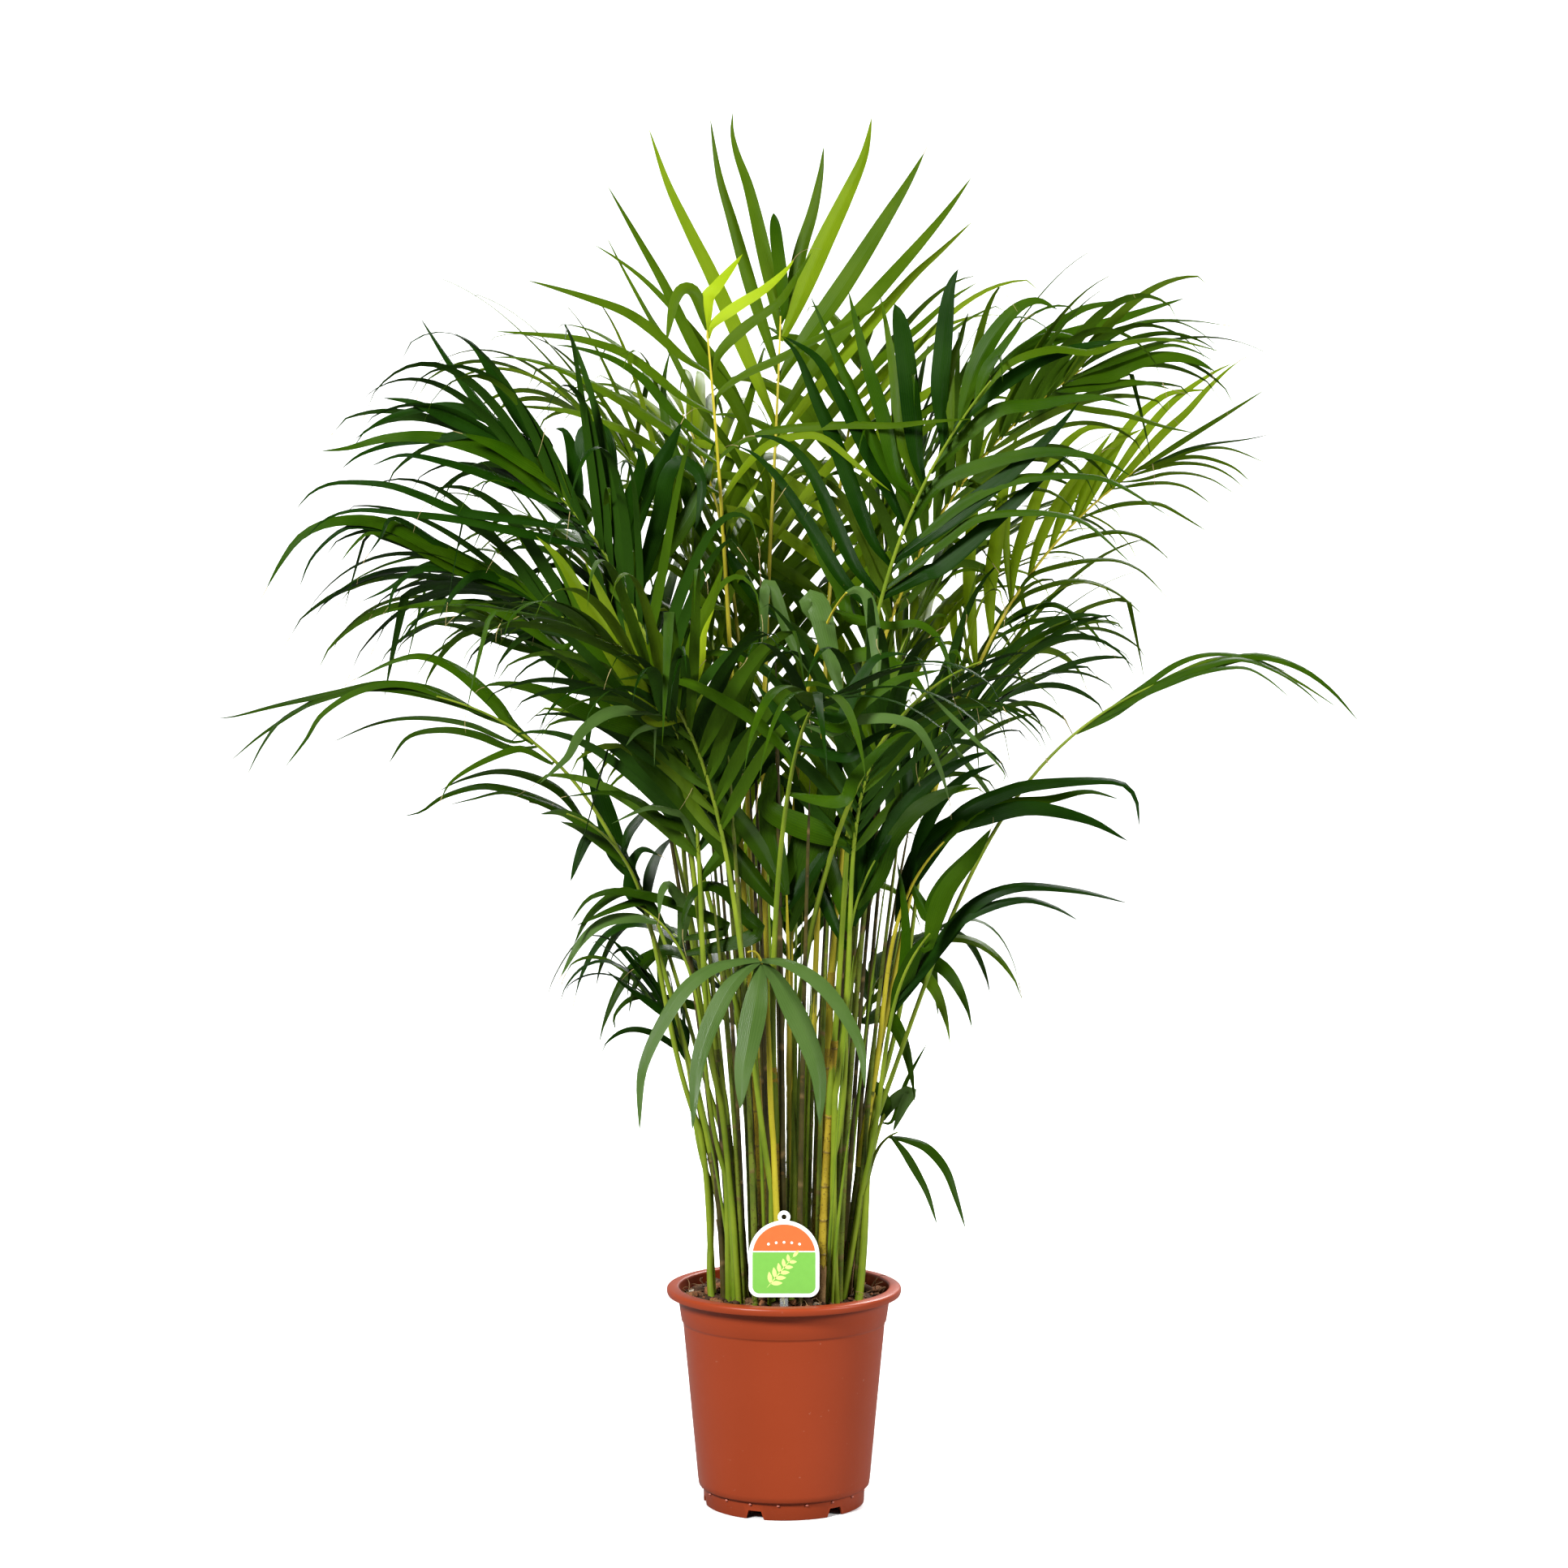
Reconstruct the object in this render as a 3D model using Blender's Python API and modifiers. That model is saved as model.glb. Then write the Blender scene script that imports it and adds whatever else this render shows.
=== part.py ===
"""A potted areca palm: nursery pot, potting soil, plant label, canes and fronds.

Metres, +Z up. The origin is the centre of the pot's foot ring, on the surface it stands on.
The front of the plant, where the label stands, faces -Y.
"""
import math
import random
from collections import namedtuple

import bmesh
import bpy
from mathutils import Matrix, Vector
from mathutils.bvhtree import BVHTree

GAP = 0.0003            # clear space between two pieces that touch in the real plant
UP = Vector((0.0, 0.0, 1.0))

# Pot
POT_HEIGHT = 0.216
POT_TURNS = 36          # facets round the pot and the soil
WALL = 0.0016
FLOOR = 0.0020          # thickness of the pot's floor
FLOOR_FILLET = 0.0012
RIM_RADIUS = 0.116
RIM_HEIGHT = 0.0085
RIM_ROLL = 0.0034       # depth of the rim's rounding, from its top to its widest ring
RIM_CROWN = 0.0010      # depth of the rim's shoulder
COLLAR_TOP_RADIUS = 0.1052
COLLAR_FOOT_RADIUS = 0.1014
COLLAR_FOOT = 0.1815
STEP = 0.0016           # the body starts this much inside the collar
BODY_FOOT_RADIUS = 0.0848
BODY_FOOT = 0.0190
BODY_CHAMFER = 0.0019   # at the foot of the body, above the inset foot ring
FOOT_RING_RADIUS = 0.0800
FOOT_RING_WALL = 0.0028
FOOT_RING_DRAFT = 0.0008
BASE_UNDERSIDE = 0.0150
NOTCH_WIDTH = 0.013     # at the height of its roof
NOTCH_FLARE = 1.9       # how much wider the notch is at the ground
NOTCH_HEIGHT = 0.0085
NOTCH_REACH = 2.4       # length of the notch's cutter against the foot ring's radius
NOTCH_ANGLES = (9.0, 69.0, 129.0)

# Potting soil
SOIL_TOP = 0.2080
SOIL_FLAT_RADIUS = 0.078
SOIL_EDGE = 0.2030

# Plant label and the clear stake behind it
LABEL_WIDTH = 0.068
LABEL_FOOT = 0.2215
LABEL_SHOULDER = 0.262
LABEL_CORNER = 0.010
LABEL_THICKNESS = 0.0010
LABEL_FRONT = -0.0880
LOOP_RADIUS = 0.0060
LOOP_HOLE = 0.0026
LOOP_RISE = 0.6         # how far the loop's centre stands over the plate, in loop radii
LOOP_OPENING = 62.0     # degrees below the level where the loop meets the plate
LOOP_NECK = 8.0         # degrees of the plate's arch that the loop takes on each side
STAKE_WIDTH = 0.008
STAKE_THICKNESS = 0.0014
STAKE_TOP = 0.286

# Canes: ring radius, angle round the ring and lean in degrees, height, thickness at the base
Cane = namedtuple("Cane", "ring angle lean height thickness")
CLUMP_CENTRE = Vector((0.006, 0.0, 0.0))
CANE_FACETS = 2         # bevel resolution, which gives eight sides
CANE_TAPER = 0.72
CANE_FLARE = 0.28       # the extra thickness where the cane leaves the soil
CANE_FLARE_REACH = 0.018
CANE_CUT = 0.002        # what of the tilted lower end is laid flat
CANE_BOW = 0.4          # share of the lean that comes only towards the cane's top
WELD = 0.00001
CANE_SHARES = (0.0, 0.06, 0.16, 0.36, 0.58, 0.8, 1.0)
CANES = (
    Cane(0.058, 180, 10.0, 0.215, 0.0085),
    Cane(0.058, 218, 7.5, 0.250, 0.0090),
    Cane(0.056, 258, 5.0, 0.235, 0.0085),
    Cane(0.056, 302, 5.5, 0.260, 0.0095),
    Cane(0.058, 340, 7.5, 0.205, 0.0085),
    Cane(0.058, 18, 8.5, 0.245, 0.0085),
    Cane(0.056, 60, 8.0, 0.255, 0.0090),
    Cane(0.056, 102, 8.0, 0.230, 0.0085),
    Cane(0.058, 142, 9.0, 0.225, 0.0085),
    Cane(0.025, 198, 3.0, 0.310, 0.0110),
    Cane(0.026, 270, 2.0, 0.285, 0.0090),
    Cane(0.026, 342, 3.0, 0.320, 0.0110),
    Cane(0.026, 54, 3.0, 0.300, 0.0090),
    Cane(0.026, 126, 2.5, 0.330, 0.0105),
)

# Leaf forms: angle from the rib at the collar and at its end, how late along the rib it
# closes, lift above the rib's own plane, droop, widest width, sections along a leaflet, and
# length where the rib ends as a share of the longest leaflet's
Form = namedtuple("Form", "wide narrow sweep lift droop width sections last")
FAN = Form(50, 12, 3.5, 8, 0.03, 0.021, 1, 0.78)
YOUNG = Form(56, 34, 1.5, 12, 0.50, 0.019, 2, 0.55)
ARCH = Form(44, 17, 1.0, 18, 0.60, 0.018, 2, 0.85)
LOW = Form(34, 13, 1.0, 14, 0.66, 0.018, 2, 1.00)
TRAIL = Form(30, 9, 1.0, 10, 0.60, 0.019, 2, 1.00)
SPRAY = Form(14, 6, 1.0, 8, 0.50, 0.017, 2, 1.00)
DRAPE = Form(34, 10, 1.0, 16, 0.95, 0.025, 2, 1.00)
BLUNT = Form(38, 10, 1.5, 8, 0.10, 0.024, 2, 0.95)
BROAD = Form(38, 16, 1.0, 8, 0.30, 0.031, 2, 0.95)
UMBRELLA = Form(70, 24, 1.0, 8, 1.50, 0.027, 2, 1.00)

# Fronds: the cane and how far up it the frond leaves, where its rib ends (azimuth, reach
# and height), the rib's pitch there, its bare share, leaflet length, pairs, and roll
Frond = namedtuple("Frond", "cane share azimuth reach height pitch bare blade pairs roll form")
FRONDS = (
    Frond(13, 1.00, 99, 0.060, 1.172, 86, 0.62, 0.290, 7, 0, FAN),
    Frond(9, 1.00, 225, 0.112, 1.150, 80, 0.60, 0.225, 7, 24, YOUNG),
    Frond(11, 1.00, -10, 0.285, 1.115, 34, 0.52, 0.230, 8, -34, ARCH),
    Frond(3, 1.00, -42, 0.250, 1.098, 46, 0.60, 0.215, 5, -12, BLUNT),
    Frond(10, 0.72, -92, 0.098, 0.612, 66, 0.62, 0.220, 3, 0, BROAD),
    Frond(2, 0.70, 254, 0.145, 0.562, -4, 0.88, 0.235, 3, 0, UMBRELLA),
    Frond(1, 1.00, 194, 0.268, 1.030, 40, 0.48, 0.270, 8, 34, ARCH),
    Frond(9, 0.80, 178, 0.318, 0.915, 10, 0.50, 0.265, 8, 38, ARCH),
    Frond(4, 0.80, -5, 0.385, 0.822, 18, 0.74, 0.235, 4, -34, SPRAY),
    Frond(0, 1.00, 188, 0.345, 0.800, 14, 0.68, 0.290, 4, 36, TRAIL),
    Frond(5, 1.00, 14, 0.362, 1.025, 34, 0.52, 0.225, 8, -38, ARCH),
    Frond(3, 0.56, -45, 0.115, 0.644, 58, 0.66, 0.230, 4, -20, BROAD),
    Frond(4, 1.00, -22, 0.160, 0.660, 44, 0.66, 0.260, 3, -30, DRAPE),
    Frond(6, 1.00, 40, 0.252, 1.105, 44, 0.54, 0.250, 7, -24, ARCH),
    Frond(13, 0.82, 160, 0.215, 1.075, 38, 0.52, 0.270, 7, 26, ARCH),
    Frond(8, 1.00, 150, 0.342, 0.865, 8, 0.50, 0.260, 7, 28, ARCH),
    Frond(10, 1.00, -75, 0.200, 0.902, 20, 0.62, 0.230, 5, -8, UMBRELLA),
    Frond(7, 1.00, 95, 0.325, 0.980, 22, 0.50, 0.260, 8, 6, ARCH),
    Frond(2, 1.00, 276, 0.322, 0.810, 0, 0.56, 0.270, 6, 0, ARCH),
    Frond(12, 1.00, 65, 0.180, 1.140, 56, 0.56, 0.270, 7, -12, YOUNG),
    Frond(5, 0.76, 24, 0.264, 0.842, 22, 0.54, 0.240, 6, -28, ARCH),
    Frond(11, 0.74, 5, 0.196, 0.788, 34, 0.58, 0.230, 6, -32, ARCH),
    Frond(8, 0.70, 165, 0.270, 0.690, 10, 0.58, 0.190, 5, 28, LOW),
    Frond(1, 0.78, 235, 0.219, 0.796, 22, 0.56, 0.240, 6, 22, ARCH),
    Frond(3, 0.80, -55, 0.191, 0.784, 26, 0.58, 0.230, 6, -18, ARCH),
    Frond(4, 0.50, -36, 0.165, 0.575, 42, 0.70, 0.260, 3, -28, DRAPE),
    Frond(1, 0.50, 200, 0.164, 0.602, 28, 0.66, 0.170, 4, 20, UMBRELLA),
    Frond(0, 0.52, 168, 0.136, 0.490, 36, 0.62, 0.160, 4, 24, LOW),
    Frond(5, 0.44, 12, 0.112, 0.404, 44, 0.62, 0.130, 3, -20, BROAD),
    Frond(5, 0.22, -14, 0.108, 0.372, 20, 0.90, 0.150, 1, 0, UMBRELLA),
    Frond(8, 0.84, 128, 0.315, 0.930, 16, 0.52, 0.260, 7, 14, ARCH),
    Frond(6, 0.80, 58, 0.315, 0.880, 10, 0.52, 0.260, 7, -12, ARCH),
    Frond(13, 0.66, 118, 0.235, 1.080, 40, 0.56, 0.250, 7, 10, ARCH),
    Frond(12, 0.76, 36, 0.280, 0.960, 20, 0.54, 0.240, 6, -18, ARCH),
    Frond(7, 0.74, 112, 0.260, 0.720, 12, 0.56, 0.230, 5, 8, LOW),
    Frond(7, 0.52, 84, 0.210, 0.600, 16, 0.60, 0.200, 4, 0, LOW),
    Frond(6, 0.58, 72, 0.270, 0.740, 8, 0.56, 0.220, 5, -8, LOW),
    Frond(6, 0.36, 44, 0.170, 0.540, 28, 0.62, 0.190, 4, -10, UMBRELLA),
    Frond(7, 0.34, 130, 0.185, 0.550, 24, 0.62, 0.190, 4, 10, UMBRELLA),
    Frond(0, 0.76, 205, 0.235, 0.690, 18, 0.60, 0.220, 5, 24, LOW),
    Frond(2, 0.48, 232, 0.310, 0.870, 14, 0.54, 0.250, 6, 14, ARCH),
    Frond(10, 0.92, 304, 0.310, 0.840, 14, 0.54, 0.250, 6, -14, ARCH),
)
PETIOLE = 0.0029        # half the thickness of a petiole at its foot
RIB_END = 0.0013
SPREAD = 0.20           # how far a side frond turns away from its cane at once
START_HANDLE = 0.42     # the rib's curve handles, against the span from its foot to its end
END_HANDLE = 0.36
RIB_SAMPLES = 48
PETIOLE_STRETCHES = 4
RIB_DEPTH = 0.55        # the rib's lower corners, against its ridge's height
RIB_SIDE = 0.9
ROOT = 0.011            # length of rib that a leaflet grows from
ROOT_START = 0.55       # where in its stretch of the rib a pair's root begins
LEAF_THICKNESS = 0.0030
LEAF_SLENDERNESS = 0.0105
LENGTH_AT_COLLAR = 0.80
LONGEST_AT = 0.45       # share of the blade where the longest leaflets grow
END_LEAFLET = 0.72      # the leaflet past the rib's end, against the last pair
END_TRIES = 7
END_SHRINK = 0.08       # how much shorter each further try of the end leaflet is
LEAF_STEPS = 12
LEAF_CLEARANCE = 0.0008
ROOT_ZONE = 0.05        # share of a leaflet where it may near its neighbours on the rib
LIFT_LOSS = 0.6         # share of the lift that is lost towards the rib's end
DROOP_CURVE = 1.5
ONE_STOP = ((0.46, 1.0),)                  # share of length and of width at each section
TWO_STOPS = ((0.33, 1.0), (0.68, 0.74))

# Leaflets are tried at slightly different headings, ever wider and shorter, until one is clear
LEAF_TRIES = 14
TRY_TURN = 2.2          # degrees
TRY_RAISE = 2.5         # degrees
TRY_WIDEN = 0.9
TRY_SHRINK = 0.035

# Colours: red, green, blue, roughness
POT_COLOUR = (0.42, 0.075, 0.028, 0.38)
SOIL_COLOUR = (0.045, 0.024, 0.014, 0.95)
LABEL_COLOUR = (0.72, 0.76, 0.60, 0.35)
STAKE_COLOUR = (0.75, 0.78, 0.78, 0.20)
CANE_COLOUR = (0.22, 0.26, 0.035, 0.50)
LEAF_COLOURS = {
    FAN: (0.115, 0.235, 0.020, 0.42),
    YOUNG: (0.130, 0.245, 0.020, 0.42),
    ARCH: (0.035, 0.110, 0.012, 0.40),
    LOW: (0.055, 0.130, 0.020, 0.40),
    TRAIL: (0.040, 0.100, 0.012, 0.40),
    SPRAY: (0.050, 0.125, 0.014, 0.40),
    DRAPE: (0.030, 0.090, 0.010, 0.38),
    BLUNT: (0.022, 0.080, 0.008, 0.36),
    BROAD: (0.030, 0.095, 0.012, 0.36),
    UMBRELLA: (0.060, 0.130, 0.035, 0.36),
}


def clear_scene():
    for obj in list(bpy.data.objects):
        bpy.data.objects.remove(obj, do_unlink=True)


def new_collection(name):
    collection = bpy.data.collections.new(name)
    bpy.context.scene.collection.children.link(collection)
    return collection


def paint(obj, colour):
    """Gives the object a Principled material of its own name in this colour."""
    material = bpy.data.materials.new(obj.name)
    material.use_nodes = True
    shader = material.node_tree.nodes["Principled BSDF"]
    shader.inputs["Base Color"].default_value = (*colour[:3], 1.0)
    shader.inputs["Roughness"].default_value = colour[3]
    obj.data.materials.append(material)


def add_mesh(name, collection, colour, verts=(), edges=(), faces=()):
    mesh = bpy.data.meshes.new(name)
    mesh.from_pydata(verts, edges, faces)
    obj = bpy.data.objects.new(name, mesh)
    collection.objects.link(obj)
    paint(obj, colour)
    return obj


def turned(name, collection, colour, profile):
    """Turns a profile of radius and height pairs about the Z axis."""
    verts = [(radius, 0.0, height) for radius, height in profile]
    edges = [(i, i + 1) for i in range(len(profile) - 1)]
    obj = add_mesh(name, collection, colour, verts, edges)
    screw = obj.modifiers.new("turn", "SCREW")
    screw.steps = POT_TURNS
    screw.render_steps = POT_TURNS
    screw.use_merge_vertices = True
    screw.merge_threshold = WELD
    return obj


def body_radius(height):
    """Outer radius of the pot's tapering body at a height."""
    top = COLLAR_FOOT_RADIUS - STEP
    share = (height - BODY_FOOT) / (COLLAR_FOOT - STEP - BODY_FOOT)
    return BODY_FOOT_RADIUS + (top - BODY_FOOT_RADIUS) * share


def pot_inside():
    """Inner wall from the floor to the rim, as radius and height pairs."""
    floor = BASE_UNDERSIDE + FLOOR
    rim_inside = COLLAR_TOP_RADIUS - WALL
    return [
        (0.0, floor),
        (body_radius(floor) - WALL - FLOOR_FILLET, floor),
        (body_radius(BODY_FOOT) - WALL, BODY_FOOT + FLOOR_FILLET),
        (body_radius(COLLAR_FOOT) - WALL, COLLAR_FOOT - 2 * STEP),
        (COLLAR_FOOT_RADIUS - WALL, COLLAR_FOOT),
        (rim_inside, POT_HEIGHT - RIM_HEIGHT),
        (rim_inside, POT_HEIGHT - RIM_ROLL),
    ]


def pot_outside():
    """Rolled rim, collar, body and foot ring, from the top down to the base's centre."""
    under = POT_HEIGHT - RIM_HEIGHT
    rim = [
        (COLLAR_TOP_RADIUS, POT_HEIGHT - RIM_CROWN),
        ((COLLAR_TOP_RADIUS + RIM_RADIUS) / 2, POT_HEIGHT),
        (RIM_RADIUS - RIM_CROWN, POT_HEIGHT - RIM_CROWN),
        (RIM_RADIUS, POT_HEIGHT - RIM_ROLL),
        (RIM_RADIUS - RIM_CROWN / 2, under + RIM_CROWN),
        (RIM_RADIUS - RIM_ROLL, under),
    ]
    return rim + [
        (COLLAR_TOP_RADIUS, under),
        (COLLAR_FOOT_RADIUS, COLLAR_FOOT),
        (COLLAR_FOOT_RADIUS - STEP, COLLAR_FOOT - STEP),
        (BODY_FOOT_RADIUS, BODY_FOOT),
        (BODY_FOOT_RADIUS - BODY_CHAMFER, BODY_FOOT - BODY_CHAMFER),
        (FOOT_RING_RADIUS, BODY_FOOT - BODY_CHAMFER),
        (FOOT_RING_RADIUS - FOOT_RING_DRAFT, 0.0),
        (FOOT_RING_RADIUS - FOOT_RING_WALL, 0.0),
        (FOOT_RING_RADIUS - FOOT_RING_WALL, BASE_UNDERSIDE),
        (0.0, BASE_UNDERSIDE),
    ]


def notch_cutter(angle, collection):
    """A bar across the foot ring, wider at the ground, that cuts two facing notches."""
    bm = bmesh.new()
    bmesh.ops.create_cube(bm, size=1.0)
    for vert in bm.verts:
        flare = NOTCH_FLARE if vert.co.z < 0.0 else 1.0
        vert.co = Vector((vert.co.x * NOTCH_REACH * FOOT_RING_RADIUS,
                          vert.co.y * NOTCH_WIDTH * flare,
                          vert.co.z * 2.0 * NOTCH_HEIGHT))
    mesh = bpy.data.meshes.new("notch_cutter")
    bm.to_mesh(mesh)
    bm.free()
    cutter = bpy.data.objects.new("notch_cutter", mesh)
    cutter.rotation_euler.z = math.radians(angle)
    cutter.hide_render = True
    cutter.display_type = "WIRE"
    collection.objects.link(cutter)
    return cutter


def make_pot(parts, cutters):
    pot = turned("pot", parts, POT_COLOUR, pot_inside() + pot_outside())
    for angle in NOTCH_ANGLES:
        cut = pot.modifiers.new("notch", "BOOLEAN")
        cut.operation = "DIFFERENCE"
        cut.object = notch_cutter(angle, cutters)


def soil_edge_radius():
    """Where the soil meets the inner wall of the collar."""
    (low_radius, low), (high_radius, high) = pot_inside()[4:6]
    return low_radius + (high_radius - low_radius) * (SOIL_EDGE - low) / (high - low) - GAP


def soil_surface(radius):
    """Height of the soil, which falls from its flat middle to the pot's wall."""
    share = (radius - SOIL_FLAT_RADIUS) / (soil_edge_radius() - SOIL_FLAT_RADIUS)
    return SOIL_TOP + (SOIL_EDGE - SOIL_TOP) * max(share, 0.0)


def make_soil(parts):
    inside = pot_inside()
    floor = inside[0][1]
    profile = [(0.0, SOIL_TOP), (SOIL_FLAT_RADIUS, SOIL_TOP), (soil_edge_radius(), SOIL_EDGE)]
    for radius, height in reversed(inside[2:5]):
        profile.append((radius - GAP, height))
    profile += [(inside[1][0] - GAP, floor + GAP), (0.0, floor + GAP)]
    turned("potting_soil", parts, SOIL_COLOUR, profile)


def arc(centre, radius, start, end, steps):
    """Points along an arc in the XZ plane, angles in degrees."""
    points = []
    for i in range(steps + 1):
        angle = math.radians(start + (end - start) * i / steps)
        points.append((centre[0] + radius * math.cos(angle), centre[1] + radius * math.sin(angle)))
    return points


def label_outline():
    """An arched plate with round lower corners and a small hanging loop on top."""
    half = LABEL_WIDTH / 2
    corner = half - LABEL_CORNER
    low = LABEL_FOOT + LABEL_CORNER
    loop = (0.0, LABEL_SHOULDER + half + LOOP_RADIUS * LOOP_RISE)
    outline = arc((corner, low), LABEL_CORNER, -90, 0, 4)
    outline += arc((0.0, LABEL_SHOULDER), half, 0, 90 - LOOP_NECK, 8)
    outline += arc(loop, LOOP_RADIUS, -LOOP_OPENING, 180 + LOOP_OPENING, 8)
    outline += arc((0.0, LABEL_SHOULDER), half, 90 + LOOP_NECK, 180, 8)
    outline += arc((-corner, low), LABEL_CORNER, 180, 270, 4)
    hole = arc(loop, LOOP_HOLE, 0, 315, 7)
    return outline, hole


def make_label(parts):
    """A flat plate that stands in front of the stake, facing the front of the plant."""
    curve = bpy.data.curves.new("plant_label", "CURVE")
    curve.dimensions = "2D"
    curve.fill_mode = "BOTH"
    curve.extrude = LABEL_THICKNESS / 2
    for loop in label_outline():
        spline = curve.splines.new("POLY")
        spline.points.add(len(loop) - 1)
        for point, (x, z) in zip(spline.points, loop):
            point.co = (x, z, 0.0, 1.0)
        spline.use_cyclic_u = True
    label = bpy.data.objects.new("plant_label", curve)
    label.location.y = LABEL_FRONT + LABEL_THICKNESS / 2
    label.rotation_euler.x = math.radians(90)
    parts.objects.link(label)
    paint(label, LABEL_COLOUR)


def make_stake(parts):
    """A flat strip behind the label, which stands on the soil."""
    front = LABEL_FRONT + LABEL_THICKNESS + GAP
    low = soil_surface(abs(front + STAKE_THICKNESS)) + GAP
    bm = bmesh.new()
    bmesh.ops.create_cube(bm, size=1.0)
    bmesh.ops.scale(bm, verts=bm.verts, vec=(STAKE_WIDTH, STAKE_THICKNESS, STAKE_TOP - low))
    mesh = bpy.data.meshes.new("label_stake")
    bm.to_mesh(mesh)
    bm.free()
    stake = bpy.data.objects.new("label_stake", mesh)
    stake.location = (0.0, front + STAKE_THICKNESS / 2, (STAKE_TOP + low) / 2)
    parts.objects.link(stake)
    paint(stake, STAKE_COLOUR)


def around(azimuth, radius, height):
    """The point at an azimuth and radius from the clump's centre."""
    angle = math.radians(azimuth)
    return CLUMP_CENTRE + Vector((radius * math.cos(angle), radius * math.sin(angle), height))


def cane_point(cane, share):
    """A point on the cane's axis and the direction it grows in there."""
    lean = math.tan(math.radians(cane.lean)) * cane.height
    out = cane.ring + lean * share * (1.0 - CANE_BOW + CANE_BOW * share)
    slope = lean * (1.0 - CANE_BOW + 2.0 * CANE_BOW * share)
    radial = around(cane.angle, 1.0, 0.0) - CLUMP_CENTRE
    point = around(cane.angle, out, SOIL_TOP + GAP + cane.height * share)
    return point, (radial * slope + UP * cane.height).normalized()


def cane_radius(cane, share):
    flare = CANE_FLARE * math.exp(-cane.height * share / CANE_FLARE_REACH)
    return cane.thickness / 2 * (1.0 + (CANE_TAPER - 1.0) * share + flare)


def make_cane(index, cane, parts):
    """A tapering stem that leans outward, thicker where it leaves the soil."""
    name = f"cane_{index + 1:02d}"
    curve = bpy.data.curves.new(name, "CURVE")
    curve.dimensions = "3D"
    curve.bevel_depth = 1.0
    curve.bevel_resolution = CANE_FACETS
    curve.use_fill_caps = True
    spline = curve.splines.new("POLY")
    spline.points.add(len(CANE_SHARES) - 1)
    for point, share in zip(spline.points, CANE_SHARES):
        place, _ = cane_point(cane, share)
        point.co = (*place, 1.0)
        point.radius = cane_radius(cane, share)
    tube = bpy.data.objects.new(name, curve)
    parts.objects.link(tube)
    mesh = bpy.data.meshes.new_from_object(tube.evaluated_get(bpy.context.evaluated_depsgraph_get()))
    bpy.data.objects.remove(tube)
    cut_level(mesh, SOIL_TOP + GAP)
    obj = bpy.data.objects.new(name, mesh)
    parts.objects.link(obj)
    paint(obj, CANE_COLOUR)


def cut_level(mesh, height):
    """Welds the tube's caps and lays its tilted lower end flat at a height."""
    bm = bmesh.new()
    bm.from_mesh(mesh)
    bmesh.ops.remove_doubles(bm, verts=bm.verts, dist=WELD)
    for vert in bm.verts:
        if vert.co.z < height + CANE_CUT:
            vert.co.z = height
    bm.to_mesh(mesh)
    bm.free()


class Rib:
    """A frond's midline from its foot on the cane to its end, measured by share of length."""

    def __init__(self, frond):
        cane = CANES[frond.cane]
        stem, along = cane_point(cane, frond.share)
        tip = around(frond.azimuth, frond.reach, frond.height)
        away = Vector((tip.x - stem.x, tip.y - stem.y, 0.0)).normalized()
        foot = stem + along * GAP
        start = along
        if frond.share < 1.0:
            start = (along + away * SPREAD).normalized()
            foot = stem + away * (cane_radius(cane, frond.share) + GAP + PETIOLE)
        pitch = math.radians(frond.pitch)
        end = away * math.cos(pitch) + UP * math.sin(pitch)
        span = (tip - foot).length
        knots = (foot, foot + start * span * START_HANDLE, tip - end * span * END_HANDLE, tip)
        self.frond = frond
        self.side = UP.cross(away)
        self.points = [self.bezier(knots, i / RIB_SAMPLES) for i in range(RIB_SAMPLES + 1)]
        self.lengths = [0.0]
        for a, b in zip(self.points, self.points[1:]):
            self.lengths.append(self.lengths[-1] + (b - a).length)
        self.length = self.lengths[-1]

    @staticmethod
    def bezier(knots, t):
        a, b, c, d = knots
        u = 1.0 - t
        return a * u ** 3 + b * 3 * u * u * t + c * 3 * u * t * t + d * t ** 3

    def at(self, share):
        """Point, direction along the rib, sideways axis and upper normal at a share."""
        goal = min(max(share, 0.0), 1.0) * self.length
        i = 0
        while i < RIB_SAMPLES - 1 and self.lengths[i + 1] < goal:
            i += 1
        part = (goal - self.lengths[i]) / (self.lengths[i + 1] - self.lengths[i])
        point = self.points[i].lerp(self.points[i + 1], part)
        before = self.points[max(i - 1, 0)]
        after = self.points[min(i + 2, RIB_SAMPLES)]
        along = (after - before).normalized()
        turn = math.radians(self.frond.roll) * min(share / self.frond.bare, 1.0)
        side = Matrix.Rotation(turn, 3, along) @ self.side
        return point, along, side, along.cross(side)

    def radius(self, share):
        return PETIOLE + (RIB_END - PETIOLE) * share

    def ring(self, share):
        """Ridge on the upper side, then the two lower corners."""
        point, _, side, normal = self.at(share)
        size = self.radius(share)
        low = point - normal * size * RIB_DEPTH
        corner = side * size * RIB_SIDE
        return [point + normal * size, low + corner, low - corner]


def stations(rib):
    """Shares of the rib where its rings stand, and the pairs' root stretches among them."""
    frond = rib.frond
    shares = [frond.bare * i / PETIOLE_STRETCHES for i in range(PETIOLE_STRETCHES + 1)]
    roots = []
    chord = ROOT / rib.length
    pitch = (1.0 - frond.bare - chord) / frond.pairs
    for pair in range(frond.pairs):
        start = frond.bare + pitch * (pair + ROOT_START)
        roots.append(len(shares))
        shares += [start, start + chord]
    return shares + [1.0], roots


def mix(a, b, share):
    return a + (b - a) * share


def leaflet_length(frond, u):
    """Length of the leaflet that grows at a share u of the blade."""
    if u < LONGEST_AT:
        return frond.blade * (1.0 - (1.0 - LENGTH_AT_COLLAR) * (1.0 - u / LONGEST_AT) ** 2)
    return frond.blade * (1.0 - (1.0 - frond.form.last) * ((u - LONGEST_AT) / (1.0 - LONGEST_AT)) ** 2)


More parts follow.
